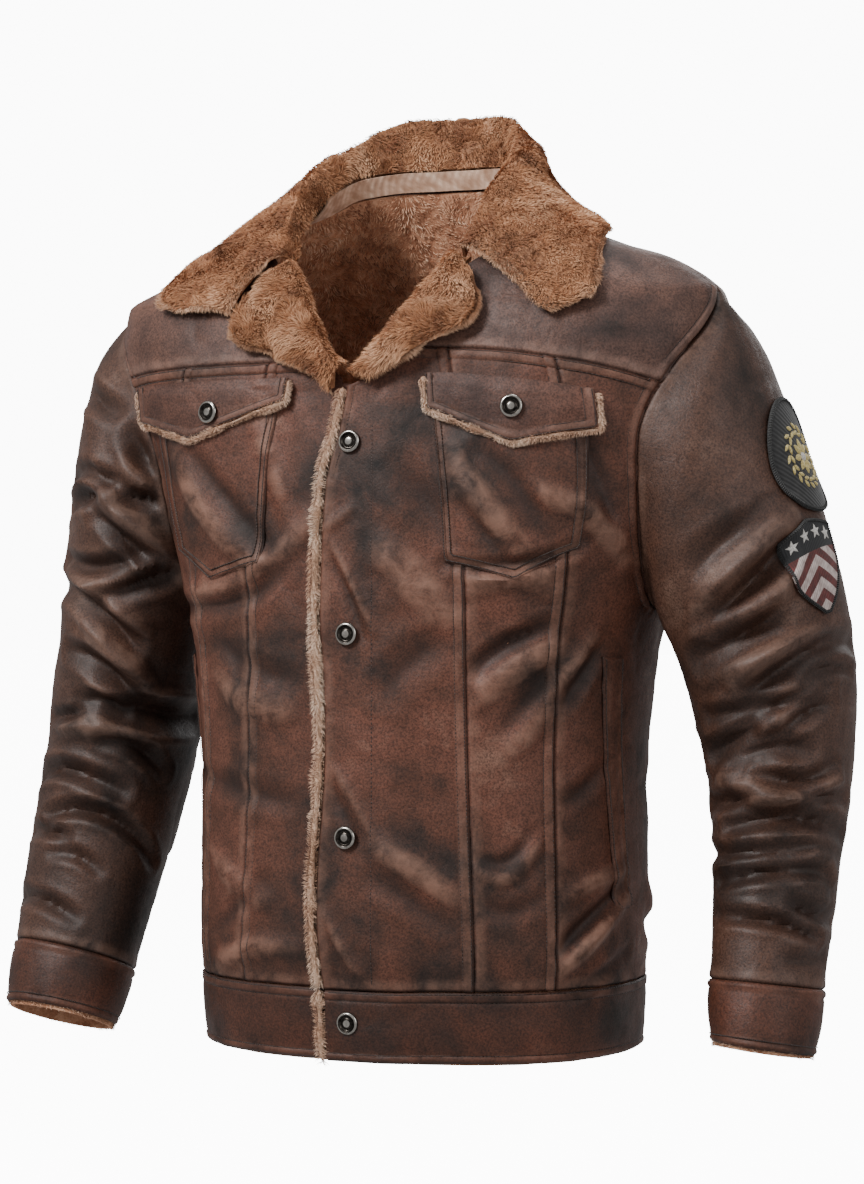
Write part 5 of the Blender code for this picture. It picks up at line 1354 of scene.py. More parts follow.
def tube_grid(path, radius, out_of_cloth):
    """A closed tube's points round a path, its ends drawn together."""
    path = np.asarray(path)
    along = unit(np.gradient(path, axis=0))
    up = unit(out_of_cloth - along * (along * out_of_cloth).sum(axis=-1, keepdims=True))
    aside = np.cross(along, up)
    turn = np.linspace(0.0, 2.0 * math.pi, ROLL_SIDES + 1)[:, None]
    ring = up[:, None] * np.cos(turn) + aside[:, None] * np.sin(turn)
    points = path[:, None] + ring * radius[:, None, None]
    points[0], points[-1] = path[0], path[-1]
    return points, ring


def fleece_roll(name, pile_name, path, radius, out, count, length, seed):
    """A roll of fleece along a path, with its pile; out points away from the cloth."""
    uneven = 1.0 + 0.35 * noise(np.asarray(path), 0.014, seed + 9)
    points, ring = tube_grid(path, radius * uneven, out)
    lumps = fleece_lumps(points, 0.0006)
    lumps[0] = lumps[-1] = 0.0
    points = points + ring * lumps[..., None]
    points[:, -1] = points[:, 0]
    uv, _, _, _ = flat_lengths(points)
    piece = grid_mesh(name + "_roll", points, uv, closed=True)
    tidy = bmesh.new()
    tidy.from_mesh(piece.data)
    bmesh.ops.recalc_face_normals(tidy, faces=tidy.faces)
    tidy.to_mesh(piece.data)
    tidy.free()
    smooth(piece, 80.0)
    settle(piece, "plush_ground_edge", (name,))
    pile(pile_name, points, ring, None, count, length, ROLL_BLADE, LEAN, "plush_pile_edge",
         seed)


def resample(path, step):
    """Points at even steps along a line of points."""
    path = np.asarray(path)
    run = np.concatenate([[0.0], np.cumsum(np.linalg.norm(np.diff(path, axis=0), axis=1))])
    at = np.linspace(0.0, run[-1], max(2, int(round(run[-1] / step)) + 1))
    return np.stack([np.interp(at, run, path[:, c]) for c in range(path.shape[1])], axis=-1)


DEGREE = 0.003               # length of about one degree of the body's girth
FLAP_RIM = 0.0016            # radius of the fleece that shows from under a flap


def even_places(path, step):
    """Angles and heights at even steps along a path of (angle, height) places."""
    even = resample(np.stack([path[:, 0] * DEGREE, path[:, 1]], axis=-1), step)
    return even[:, 0] / DEGREE, even[:, 1]


def build_fleece_edges():
    """The fleece that shows along the lapping front, round the flaps and under the band."""
    beyond = math.degrees((EDGE_ROLL + SEAM_GAP * 3.0) / FRONT_RADIUS)
    out = LAP_LIFT - 0.5 * LEATHER
    for name, low, high, radius in (("front_edge_fleece", BAND_HEIGHT + 0.0006, 0.500, EDGE_ROLL),
                                    ("band_edge_fleece", -0.0015, BAND_HEIGHT - 0.0006,
                                     EDGE_ROLL * 0.9)):
        height = np.linspace(low, high, int((high - low) / 0.003))
        angle = read_lap_edge(np.maximum(height, 0.0))[1] - beyond
        path, _, _ = body_skin(angle, height, out, ())
        normal = body_normal(angle, height)
        count = int(9000 * (high - low) / 0.45)
        fleece_roll(name, "pile_" + name.replace("_fleece", ""), path, radius * 0.62, normal,
                    count, 0.0054, 61)
    for side, word in SIDES:
        row = FLAPS[side]
        inner, outer = row[0], row[2]
        clear = FLAP_RIM * 0.55
        pad = math.degrees(clear / BODY_RADIUS)
        places = [(inner - pad, between(flap_low(row, inner), flap_top(row, inner), v))
                  for v in (0.90, 0.45, 0.05)]
        places += [(angle, flap_low(row, angle) - clear * 0.9)
                   for angle in np.linspace(inner, outer, 40)]
        places += [(outer + pad, between(flap_low(row, outer), flap_top(row, outer), v))
                   for v in (0.05, 0.45, 0.90)]
        places = np.array([(a, float(h)) for a, h in places])
        angle, height = even_places(places, 0.0025)
        base = POCKET_OUT + FLAP_RIM + 0.0003 + lap(angle, side)
        path, _, _ = body_skin(side * angle, height, base, ())
        normal = body_normal(side * angle, height)
        fleece_roll("flap_fleece_" + word, "pile_flap_" + word, path, FLAP_RIM, normal,
                    5200, 0.0034, 63 + side)


# ------------------------------------------------------------------ collar and lapels

RIGHT_WING = (0.042, -0.008, 0.008)    # how much wider the wearer's right end of the collar is


def collar_rows(along):
    """Sewn edge, fold and free edge of the collar; along runs from -1 to 1 across the back."""
    away = np.abs(along)
    eased = np.where(away < 0.12, away ** 2 / 0.24 + 0.06, away)
    row, eased_row = (read_collar(place * (len(COLLAR) - 1)) for place in (away, eased))
    flip = np.where(along >= 0.0, 1.0, -1.0)
    rows = [np.stack([row[i] * flip + COLLAR_SHIFT, eased_row[i + 1],
                      eased_row[i + 2] - NECK_HEIGHT], axis=-1) for i in (1, 4, 7)]
    wide = smooth_step(0.80, 1.0, -np.asarray(along, float))[..., None]
    rows[2] = rows[2] + wide * np.array(RIGHT_WING)
    return rows


def fold_curve(seam, fold, edge, t):
    """Section of the collar: up from the seam, over a round fold and down to the edge."""
    turn_share = 0.42
    s = np.clip(t / turn_share, 0.0, 1.0)
    rise = fold - seam
    bow = unit(edge - fold) * (-0.10 * np.linalg.norm(rise, axis=-1, keepdims=True))
    up = seam + rise * np.sin(0.5 * math.pi * s) + bow * np.sin(math.pi * s) * 0.6
    s = np.clip((t - turn_share) / (1.0 - turn_share), 0.0, 1.0)
    out = (edge - fold) * np.array([1.0, 1.0, 0.0])
    sag = COLLAR_SAG * smooth_step(-0.06, 0.02, fold[..., 1:2])
    drop = np.concatenate([np.zeros_like(sag), np.zeros_like(sag), -sag], axis=-1)
    lift = drop * np.linalg.norm(out, axis=-1, keepdims=True) + unit(out) * COLLAR_ROUND
    down = fold + (edge - fold) * s + lift * np.sin(math.pi * s) * (1.0 - s) ** 0.8
    return np.where(t < turn_share, up, down)


def body_tree():
    """The body's surface as a tree that finds the nearest place on it."""
    angle, height = np.meshgrid(np.arange(0.0, 360.0, 4.0), np.linspace(0.40, 0.68, 36))
    points = plain_body(angle, height)
    rows, count = angle.shape
    faces = [(row * count + i, row * count + (i + 1) % count,
              (row + 1) * count + (i + 1) % count, (row + 1) * count + i)
             for row in range(rows - 1) for i in range(count)]
    return BVHTree.FromPolygons([Vector(point) for point in points.reshape(-1, 3)], faces)


def collar_grid(columns, rows):
    tree = body_tree()
    u = np.linspace(-1.0, 1.0, columns)
    v = np.asarray(rows)
    seam, fold, edge = (np.broadcast_to(part, (len(v),) + part.shape) for part in collar_rows(u))
    t = np.broadcast_to(v[:, None, None], (len(v), columns, 1))
    points = fold_curve(seam, fold, edge, t)
    stand_off = (PILE + 0.0035) * smooth_step(0.34, 0.50, v)
    push = np.zeros(points.shape)
    for row in np.nonzero(v > 0.36)[0]:
        for column in range(columns):
            place, normal, _, away = tree.find_nearest(Vector(points[row, column]))
            short = stand_off[row] - (Vector(points[row, column]) - place).dot(normal)
            near = 1.0 - float(smooth_step(0.018, 0.040, away))
            push[row, column] = np.array(normal) * max(0.0, short) * near
    for _ in range(5):
        push[1:-1, 1:-1] = 0.25 * (push[2:, 1:-1] + push[:-2, 1:-1] + push[1:-1, 2:]
                                   + push[1:-1, :-2])
    points = points + push
    return points


COLLAR_COUNT = 62000
COLLAR_WALL = 0.0022
COLLAR_PILE = 0.0046
LAPEL_COUNT = 9000


def build_collar():
    v = np.concatenate([np.linspace(0.0, 0.36, 16), np.linspace(0.375, 0.94, 30),
                        np.array([0.955, 0.968, 0.979, 0.988, 0.995, 1.0])])
    plain = collar_grid(161, v)
    for _ in range(8):
        middle = plain[1:-1, 1:-1]
        around = 0.25 * (plain[2:, 1:-1] + plain[:-2, 1:-1] + plain[1:-1, 2:] + plain[1:-1, :-2])
        plain[1:-1, 1:-1] = between(middle, around, 0.6)
    normal = grid_normals(plain)
    edge = np.minimum(v[:, None], 1.0) + np.zeros(plain.shape[:2])
    round_off = -0.0020 * smooth_step(0.955, 1.0, edge) ** 2
    wave = 0.0012 * noise(plain, 0.045, 71)
    points = plain + normal * (fleece_lumps(plain, 0.0012) + wave + round_off)[..., None]
    strands = pile("pile_collar", points, normal, None, COLLAR_COUNT,
                   setting("fleece", "pile_length"), 0.00058, 1.15,
                   "plush_pile_collar", 72)
    rim_rows = points[-4:]
    fall = unit(np.gradient(plain, axis=0))[-4:]
    rim = pile("pile_collar_edge", rim_rows, unit(fall + normal[-4:] * 0.25), None, 9000, 0.0052,
               0.00048, 0.5, "plush_pile_rim", 75)
    for column, sign, word in ((slice(-4, None), 1.0, "left"), (slice(0, 4), -1.0, "right")):
        aside = unit(np.gradient(plain, axis=1)) * sign
        grid = points[18:, column]
        pile("pile_collar_end_" + word, grid,
                                unit(aside[18:, column] + normal[18:, column] * 0.25), None,
                                2200, 0.0050, 0.00048, 0.5, "plush_pile_rim", 77)
    cloth("collar", plain, points, "plush_ground_collar", COLLAR_WALL)


def lapel_grid(side, rows, columns):
    down = rows[:, None]
    angle = between(LAPEL_TOP_ANGLE, LAPEL_END_ANGLE[side], down)
    height = neck_height(angle)
    _, edge_angle, edge_height = smooth_table(LAPELS[side])(down)
    across = columns[None, :]
    inside_part = 0.25
    s = np.clip(across / inside_part, 0.0, 1.0)
    turn = np.degrees(LINING_TURN * 0.75 * (1.0 - s) / 0.12)
    base = lap(angle, side)
    out_in = base + between(-(LEATHER + LAYER_GAP + 0.001), PILE * 0.5, s * s)
    q = np.clip((across - inside_part) / (1.0 - inside_part), 0.0, 1.0)
    out_up = base + PILE + LAYER_GAP + 0.0010 + 0.004 * np.sin(math.pi * q)
    inside = across < inside_part
    place_angle = np.where(inside, angle + turn, between(angle, edge_angle, q))
    place_height = np.where(inside, height, between(height, edge_height, q))
    out = np.where(inside, out_in, out_up)
    return (np.broadcast_to(a, (len(rows), len(columns))) for a in (place_angle, place_height, out))


def build_lapels():
    for side, word in SIDES:
        rows = np.linspace(0.0, 1.0, 52)
        columns = np.concatenate([np.linspace(0.0, 0.24, 9), np.linspace(0.27, 0.93, 22),
                                  np.array([0.95, 0.97, 0.985, 0.995, 1.0])])
        angle, height, out = lapel_grid(side, rows, columns)
        angle, height, out = mirrored(side, side * angle, height, out)
        plain = plain_body(angle, height) + body_normal(angle, height) * out[..., None]
        for _ in range(3):
            around = 0.25 * (plain[2:, 1:-1] + plain[:-2, 1:-1] + plain[1:-1, 2:]
                             + plain[1:-1, :-2])
            plain[1:-1, 1:-1] = between(plain[1:-1, 1:-1], around, 0.7)
        # the rows run downwards, so the grid is turned over to face outwards
        plain = plain[::-1]
        normal = grid_normals(plain)
        points = plain + normal * fleece_lumps(plain)[..., None]
        strands = pile("pile_lapel_" + word, points, normal, None, LAPEL_COUNT, 0.0068, 0.00048,
                       0.9, "plush_pile_collar", 81 + side)
        aside = unit(np.gradient(plain, axis=1)) * side
        grid = points[:, -4:] if side > 0 else points[:, :4]
        away = (aside + normal * 0.3)[:, -4:] if side > 0 else (aside + normal * 0.3)[:, :4]
        rim = pile("pile_lapel_edge_" + word, grid, unit(away), None, 2600, 0.0058, 0.00046, 0.5,
                   "plush_pile_rim", 85 + side)
        cloth("lapel_" + word, plain, points, "plush_ground_collar", LAPEL_PILE)


# ------------------------------------------------------------------ pockets, flaps and welts

POCKET_OUT = LAYER_GAP + LEATHER
FLAP_OUT = POCKET_OUT + LAYER_GAP + LEATHER
FLAP_BAND = 0.0064
FLAP_PUFF = 0.0012           # how much a flap's middle is puffed up
PRESSED = 0.0016             # how much a sewn edge is pressed down


def flap_low(row, angle):
    """Height of a flap's lower edge at an angle: two straight runs that meet at the point."""
    inner, point, outer = row[0:3]
    low_inner, low_point, low_outer = row[5:8]
    angle = np.asarray(angle, float)
    near = np.clip((angle - inner) / (point - inner), 0.0, 1.0)
    far = np.clip((outer - angle) / (outer - point), 0.0, 1.0)
    return np.where(angle < point, between(low_inner, low_point, near ** 1.2),
                    between(low_outer, low_point, far ** 1.2))


def flap_top(row, angle):
    inner, outer, top_inner, top_outer = row[0], row[2], row[3], row[4]
    share = (np.asarray(angle, float) - inner) / (outer - inner)
    return between(top_inner, top_outer, share * share)


def pocket_low(row, share):
    low_inner, low_point, low_outer = row[5:8]
    point_share = 0.55
    near = np.clip(share / point_share, 0.0, 1.0)
    far = np.clip((1.0 - share) / (1.0 - point_share), 0.0, 1.0)
    return np.where(share < point_share, between(low_inner, low_point, near ** 1.2),
                    between(low_outer, low_point, far ** 1.2))


def pocket_place(side, share, rise):
    it, il, ot, ol, top = POCKETS[side][0:5]
    low = pocket_low(POCKETS[side], share)
    angle = between(between(il, ol, share), between(it, ot, share), rise)
    return angle, between(low, top, rise)


def rim_line(points):
    """The outline of a grid, round all four sides."""
    return np.concatenate([points[0], points[1:, -1], points[-1, -2::-1], points[-2::-1, 0]])


def sewn_out(nearest, stand):
    """A patch is pressed down along the stitches round its edge and swells towards its middle."""
    return stand - PRESSED * (1.0 - smooth_step(0.0, 0.020, nearest))


def build_pocket(side, word):
    share = spread(np.array([0.100]), PLAIN_MARKS, PLAIN_MARKS, 0.0036)
    rise = spread(np.array([0.115]), EDGE_MARKS, (0.0,), 0.0036)
    angle, height = pocket_place(side, *np.broadcast_arrays(share[None, :], rise[:, None]))
    angle, height = mirrored(side, side * angle, height)
    plain = plain_body(angle, height)
    outline = rim_line(plain)[::3]
    out = sewn_out(line_distance(plain, outline), POCKET_OUT) + lap(side * angle, side)
    points, lift, nearest = body_skin(angle, height, out, [(outline, 0.0)])
    cloth("pocket_" + word, plain, points, "leather_panels", PATCH_WALL, lift=lift,
          nearest=nearest)


def build_flap(side, word):
    """A flap puffed up over its fleece, and pressed down at its sewn top."""
    row = FLAPS[side]
    share = spread(np.array([0.110]), EDGE_MARKS, EDGE_MARKS, 0.0034)
    rise = spread(np.array([0.034]), EDGE_MARKS, PLAIN_MARKS, 0.0030)
    angle = between(row[0], row[2], share)[None, :]
    height = between(flap_low(row, angle), flap_top(row, angle), rise[:, None])
    angle = np.broadcast_to(angle, height.shape)
    angle, height = mirrored(side, side * angle, height)
    plain = plain_body(angle, height)
    loose = np.concatenate([plain[::-1, 0], plain[0], plain[:, -1]])[::3]
    away = line_distance(plain, loose)
    out = FLAP_OUT + lap(side * angle, side) + FLAP_PUFF * smooth_step(0.0, 0.02, away)
    out = out - PRESSED * smooth_step(0.75, 1.0, rise)[:, None]
    points, lift, nearest = body_skin(angle, height, out, [(loose, FLAP_BAND)])
    cloth("flap_" + word, plain, points, "leather_flaps", PANEL_WALL,
          lift=lift, nearest=nearest)


def build_pockets():
    for side, word in SIDES:
        build_pocket(side, word)
        build_flap(side, word)


def build_welts():
    top, bottom, front_top, front_bottom, width = WELT
    for side, word in SIDES:
        share = spread(np.array([width]), PLAIN_MARKS, PLAIN_MARKS, 0.0026)
        rise = spread(np.array([top - bottom]), PLAIN_MARKS, PLAIN_MARKS, 0.0036)[:, None]
        angle = between(front_bottom, front_top, rise) + np.degrees(width * share / WELT_RADIUS)
        height = between(bottom, top, rise)
        angle, height = mirrored(side, side * angle, np.broadcast_to(height, angle.shape))
        plain = plain_body(angle, height)
        outline = rim_line(plain)[::2]
        away = line_distance(plain, outline)
        out = sewn_out(away, POCKET_OUT)
        points, lift, nearest = body_skin(angle, height, out, [(outline, 0.0040)], WELT_CRUMPLE)
        cloth("welt_" + word, plain, points, "leather_panels", PATCH_WALL,
              lift=lift, nearest=nearest)


# ------------------------------------------------------------------ snaps

# turned profile of a snap: radius and height above the foot, from the foot to the centre
SNAP_PROFILE = (
    (0.0079, 0.0000), (0.0084, 0.0003), (0.0086, 0.0009), (0.0085, 0.0016), (0.0081, 0.0022),
    (0.0075, 0.0026), (0.0068, 0.0027), (0.0062, 0.0025), (0.0057, 0.0020), (0.0054, 0.0015),
    (0.0050, 0.0012), (0.0046, 0.0012), (0.0042, 0.0016), (0.0036, 0.0020), (0.0027, 0.0023),
    (0.0014, 0.0025),
)


def turned_cap(name):
    """A cap turned from its profile: a circle extruded ring by ring and closed at the top."""
    bpy.ops.object.select_all(action="DESELECT")
    bpy.ops.mesh.primitive_circle_add(vertices=44, radius=SNAP_PROFILE[0][0],
                                      location=(0.0, 0.0, 0.0), fill_type="NGON")
    piece = bpy.context.object
    piece.name = name
    bpy.ops.object.mode_set(mode="EDIT")
    bpy.ops.mesh.select_all(action="SELECT")
    for (radius, height), (wider, higher) in zip(SNAP_PROFILE, SNAP_PROFILE[1:]):
        bpy.ops.mesh.extrude_region_move(
            TRANSFORM_OT_translate={"value": (0.0, 0.0, higher - height)})
        scale = wider / radius
        bpy.ops.transform.resize(value=(scale, scale, 1.0), center_override=(0.0, 0.0, higher))
    bpy.ops.mesh.select_all(action="SELECT")
    bpy.ops.mesh.normals_make_consistent(inside=False)
    bpy.ops.object.mode_set(mode="OBJECT")
    smooth(piece, 40.0)
    return piece


def seat(piece, place, outward):
    """Move a piece's mesh to its place, its own up turned outwards."""
    turn = Vector(outward).to_track_quat("Z", "Y").to_matrix().to_4x4()
    piece.data.transform(Matrix.Translation(Vector(place)) @ turn)
    piece.data.update()


RIM = (0.0069, 0.0083)       # radii of a cap's ring and of its middle, painted with a brighter nickel as highlights
MIDDLE = 0.0026


def build_snaps():
    spots = []
    for number, (height, rise) in enumerate(SNAPS, start=1):
        spots.append(("snap_%d" % number, SNAP_ANGLE, height, LAP_LIFT + rise))
    for side, word in SIDES:
        angle, height = FLAP_SNAPS[side]
        out = FLAP_OUT + 0.0007 + LAYER_GAP + float(lap(angle, side))
        spots.append(("flap_snap_" + word, side * angle, height, out))
    model = turned_cap("snap_model")
    for node, angle, height, out in spots:
        bpy.ops.object.select_all(action="DESELECT")
        piece = model.copy()
        piece.data = model.data.copy()
        piece.name = node + "_cap"
        bpy.context.scene.collection.objects.link(piece)
        angle, height = np.array([angle]), np.array([height])
        place, _, _ = body_skin(angle, height, out, ())
        across = [Vector(polygon.center[:2]).length for polygon in piece.data.polygons]
        # the faces of the ring and the middle get the brighter nickel, a painted highlight
        painted_glint_faces = [int(RIM[0] < radius < RIM[1] or radius < MIDDLE) for radius in across]
        seat(piece, place[0], body_normal(angle, height)[0])
        settle(piece, ("darkened_nickel", "bright_nickel"), (node,))
        piece.data.polygons.foreach_set("material_index", painted_glint_faces)
    bpy.data.objects.remove(model, do_unlink=True)


# ------------------------------------------------------------------ badges

def badge_points(place, right, up, out):
    """Points of a sleeve badge from its own flat sizes: right and up in metres."""
    station = place["along"] - up / STATION_LENGTH
    turn = place["round"] + np.degrees(right / SLEEVE_RADIUS)
    station, turn, out = np.broadcast_arrays(station, turn, out)
    plain = plain_sleeve(1, station, turn)
    soft = fold_lift(plain, SLEEVE_FOLD_LINES[1])
    return plain + sleeve_normal(1, station, turn) * (out + soft)[..., None]


BADGE_OUT = BADGE_GAP + BADGE_THICKNESS


def flat_patch(name, place, right, up, finish_name):
    points = badge_points(place, right, up, BADGE_OUT)
    piece = grid_mesh(name + "_patch", points, np.stack([right, up], axis=-1))
    apply_modifier(piece, "SOLIDIFY", thickness=BADGE_THICKNESS, offset=-1.0)
    smooth(piece)
    settle(piece, finish_name, (name,))
    _, width, length, area = flat_lengths(points)
    CUTS.append((name, width, length, area))


DOME_ROWS = 3                # rows of faces from a raised shape's rim to its middle
STAR_POINTS = 5
STAR_INNER = 0.42            # radius between a star's points, as a share of its radius


def raised_shape(outline, rise, height, place):
    """A domed embroidered shape from its outline of (right, up) places, as faces and points."""
    outline = np.asarray(outline)
    centre = outline.mean(axis=0)
    rings = []
    for i in range(DOME_ROWS + 1):
        share = i / DOME_ROWS
        scale = math.cos(share * math.pi / 2.0) if i < DOME_ROWS else 0.0
        ring = centre + (outline - centre) * scale
        lift = rise + height * math.sin(share * math.pi / 2.0)
        rings.append(badge_points(place, ring[:, 0], ring[:, 1], np.full(len(ring), lift)))
    count = len(outline)
    points = np.concatenate(rings[:-1] + [rings[-1][:1]])
    faces = []
    for row in range(DOME_ROWS - 1):
        for i in range(count):
            j = (i + 1) % count
            faces.append((row * count + i, row * count + j, (row + 1) * count + j,
                          (row + 1) * count + i))
    last = (DOME_ROWS - 1) * count
    faces += [(last + i, last + (i + 1) % count, last + count) for i in range(count)]
    return points, faces


def joined_mesh(name, parts, finish_numbers):
    """One mesh from many (points, faces) parts, each with its own finish number."""
    points, faces, numbers, start = [], [], [], 0
    for index, (part, part_faces) in enumerate(parts):
        points.append(np.asarray(part))
        faces += [tuple(start + corner for corner in face) for face in part_faces]
        numbers += [finish_numbers[index]] * len(part_faces)
        start += len(part)
    mesh = bpy.data.meshes.new(name)
    mesh.from_pydata([tuple(p) for p in np.concatenate(points)], [], faces)
    mesh.polygons.foreach_set("material_index", numbers)
    mesh.update()
    return new_piece(name, mesh)


def thread_edge(place, outline, count, rise, thick):
    """A merrowed border: short fat stitches laid side by side across an outline."""
    closed = np.vstack([outline, outline[:1]])
    path = resample(closed, np.linalg.norm(np.diff(closed, axis=0), axis=1).sum() / count)[:-1]
    ahead = np.roll(path, -1, axis=0) - np.roll(path, 1, axis=0)
    along = unit(ahead)
    outward = np.stack([along[:, 1], -along[:, 0]], axis=-1)
    parts = []
    for spot, run, away in zip(path, along, outward):
        slant = unit(away + run * 0.25)
        half = slant * thick
        wide = run * thick * 0.50
        ring = np.array([spot - half, spot - half * 0.6 + wide, spot + half * 0.6 + wide,
                         spot + half, spot + half * 0.6 - wide, spot - half * 0.6 - wide])
        low = badge_points(place, ring[:, 0], ring[:, 1], np.full(6, rise - 0.0004))
        inner = spot + (ring - spot) * 0.45
        high = badge_points(place, inner[:, 0], inner[:, 1], np.full(6, rise + thick * 0.62))
        faces = [(i, (i + 1) % 6, 6 + (i + 1) % 6, 6 + i) for i in range(6)]
        faces.append((6, 7, 8, 9, 10, 11))
        parts.append((np.concatenate([low, high]), faces))
    return parts


def leaf_outline(base, direction, length, width):
    direction = np.asarray(direction, float)
    aside = np.array([-direction[1], direction[0]])
    out, back = np.linspace(0.0, 1.0, 9), np.linspace(1.0, 0.0, 9)[1:-1]
    return np.array([base + direction * length * t
                     + sign * (aside * width * math.sin(math.pi * t) ** 0.8)
                     for sign, shares in ((1.0, out), (-1.0, back)) for t in shares])


def star_outline(centre, radius):
    shape = []
    for i in range(STAR_POINTS * 2):
        reach = radius if i % 2 == 0 else radius * STAR_INNER
        at = math.radians(90.0 + 180.0 * i / STAR_POINTS)
        shape.append((centre[0] + reach * math.cos(at), centre[1] + reach * math.sin(at)))
    return np.array(shape)


def round_badge_parts():
    """A plain wreath of leaves round an eight-petalled rosette."""
    place, radius = ROUND_BADGE, ROUND_BADGE["radius"]
    parts, numbers = [], []
    for i in range(16):
        at = 2.0 * math.pi * (i + 0.5) / 16.0
        spot = np.array([math.cos(at), math.sin(at)])
        run = np.array([-spot[1], spot[0]])
        for sign in (-1.0, 1.0):
            base = spot * radius * (0.46 + 0.015 * sign)
            outline = leaf_outline(base, unit(run + spot * 0.55 * sign), radius * 0.17,
                                   radius * 0.036)
            parts.append(raised_shape(outline, BADGE_OUT, 0.0012, place))
            numbers.append(0)
    for i in range(8):
        at = 2.0 * math.pi * i / 8.0
        run = np.array([math.cos(at), math.sin(at)])
        outline = leaf_outline(run * radius * 0.07, run, radius * 0.24, radius * 0.062)
        parts.append(raised_shape(outline, BADGE_OUT, 0.0014, place))
        numbers.append(0)
    middle = [(radius * 0.08 * math.cos(a), radius * 0.08 * math.sin(a))
              for a in np.linspace(0.0, 2.0 * math.pi, 13)[:-1]]
    parts.append(raised_shape(middle, BADGE_OUT, 0.0018, place))
    numbers.append(1)
    rim = np.array([(radius * 0.965 * math.cos(a), radius * 0.965 * math.sin(a))
                    for a in np.linspace(0.0, 2.0 * math.pi, 73)[:-1]])
    edge = thread_edge(place, rim, 150, BADGE_OUT, 0.0019)
    parts += edge
    numbers += [2] * len(edge)
    return parts, numbers


def shield_half_width(drop):
    return SHIELD_BADGE["half_width"] * (1.0 - np.maximum(0.0, (drop - 0.35) / 0.65) ** 2.0 * 0.94)


def shield_up(share, drop):
    return (0.5 - drop - 0.10 * np.abs(share) * (1.0 - drop)) * SHIELD_BADGE["height"]


def shield_badge_parts():
    """Four small stars in a row under the top edge of a striped shield."""
    place = SHIELD_BADGE
    parts, numbers = [], []
    for right, up in ((-0.0195, 0.0205), (-0.0068, 0.0240), (0.0068, 0.0240), (0.0195, 0.0205)):
        parts.append(raised_shape(star_outline((right, up), 0.0056), BADGE_OUT, 0.0010, place))
        numbers.append(1)
    drop = np.linspace(0.02, 0.99, 22)
    top = np.linspace(-0.97, 0.97, 16)
    left = np.stack([-shield_half_width(drop) * 0.96, shield_up(-0.96, drop)], axis=-1)
    right = np.stack([shield_half_width(drop) * 0.96, shield_up(0.96, drop)], axis=-1)
    head = np.stack([shield_half_width(0.02) * top, shield_up(top, 0.02)], axis=-1)
    outline = np.concatenate([right[::-1], head[::-1][1:-1], left])
    edge = thread_edge(place, outline[::-1], 120, BADGE_OUT, 0.0018)
    parts += edge
    numbers += [2] * len(edge)
    return parts, numbers


def build_badges():
    for name, maker in (("badge_round_details", round_badge_parts),
                        ("badge_shield_details", shield_badge_parts)):
        parts, numbers = maker()
        piece = joined_mesh(name, parts, numbers)
        smooth(piece, 60.0)
        numbers = np.zeros(len(piece.data.polygons), int)
        piece.data.polygons.foreach_get("material_index", numbers)
        settle(piece, ("gold_embroidery", "cream_embroidery", "black_embroidery"))
        piece.data.polygons.foreach_set("material_index", numbers)

    radius = ROUND_BADGE["radius"]
    x, y = np.meshgrid(np.linspace(-1.0, 1.0, 34), np.linspace(-1.0, 1.0, 34))
    right = x * np.sqrt(1.0 - 0.5 * y * y) * radius
    up = y * np.sqrt(1.0 - 0.5 * x * x) * radius
    flat_patch("badge_round", ROUND_BADGE, right, up, "black_twill")

    share, v = np.meshgrid(np.linspace(-1.0, 1.0, 30), np.linspace(0.0, 1.0, 40))
    right = share * shield_half_width(1.0 - v)
    flat_patch("badge_shield", SHIELD_BADGE, right, shield_up(share, 1.0 - v), "satin_stripes")


# ------------------------------------------------------------------ stitching

STITCH_PITCH = 0.0034
STITCH_LENGTH = 0.0025
STITCH_SINK = 0.0002         # how far the stitches lie in the leather
THREAD = 0.00042             # half the width of the thread
FIRST_ROW = 0.0019           # from a seam to its first row; the second is BAND_WIDTH away
POCKET_SIZE = (0.098, 0.115)


def offset_path(path, distance, side):
    """Move a path of (angle, height) places sideways by a distance over the cloth."""
    path = np.asarray(path, float)
    scale = metres_per_degree(side * path[:, 0], path[:, 1])
    run = np.gradient(path, axis=0)
    run = unit(np.stack([run[:, 0] * scale, run[:, 1]], axis=-1))
    away = np.stack([run[:, 1], -run[:, 0]], axis=-1) * distance
    return path + np.stack([away[:, 0] / scale, away[:, 1]], axis=-1)


def stitch_parts(points, normals):
    """Short rounded threads along a line of points on the cloth."""
    path = resample(np.concatenate([points, normals], axis=1), STITCH_PITCH)
    spots, up = path[:, :3], unit(path[:, 3:])
    if len(spots) < 3:
        return np.zeros((0, 3)), np.zeros((0, 4), int)
    along = unit(np.gradient(spots, axis=0))
    aside = np.cross(along, up)
    half = STITCH_LENGTH * 0.5
    shape = []
    for reach, thick, rise in ((-1.0, 0.35, -0.9), (-0.55, 1.0, 0.55), (0.55, 1.0, 0.55),
                               (1.0, 0.35, -0.9)):
        for x, z in ((-1.0, -0.4), (-0.6, 0.7), (0.6, 0.7), (1.0, -0.4)):
            shape.append((reach * half, x * thick * THREAD, (rise + z * thick) * THREAD))
    shape = np.array(shape)
    verts = (spots[:, None] + along[:, None] * shape[None, :, 0:1]
             + aside[:, None] * shape[None, :, 1:2]
             + up[:, None] * (shape[None, :, 2:3] - STITCH_SINK))
    faces = np.array([(a, a + 4, a + 5, a + 1) for ring in (0, 4, 8)
                      for a in range(ring, ring + 3)])
    all_faces = (faces[None] + (np.arange(len(spots)) * 16)[:, None, None]).reshape(-1, 4)
    return verts.reshape(-1, 3), all_faces


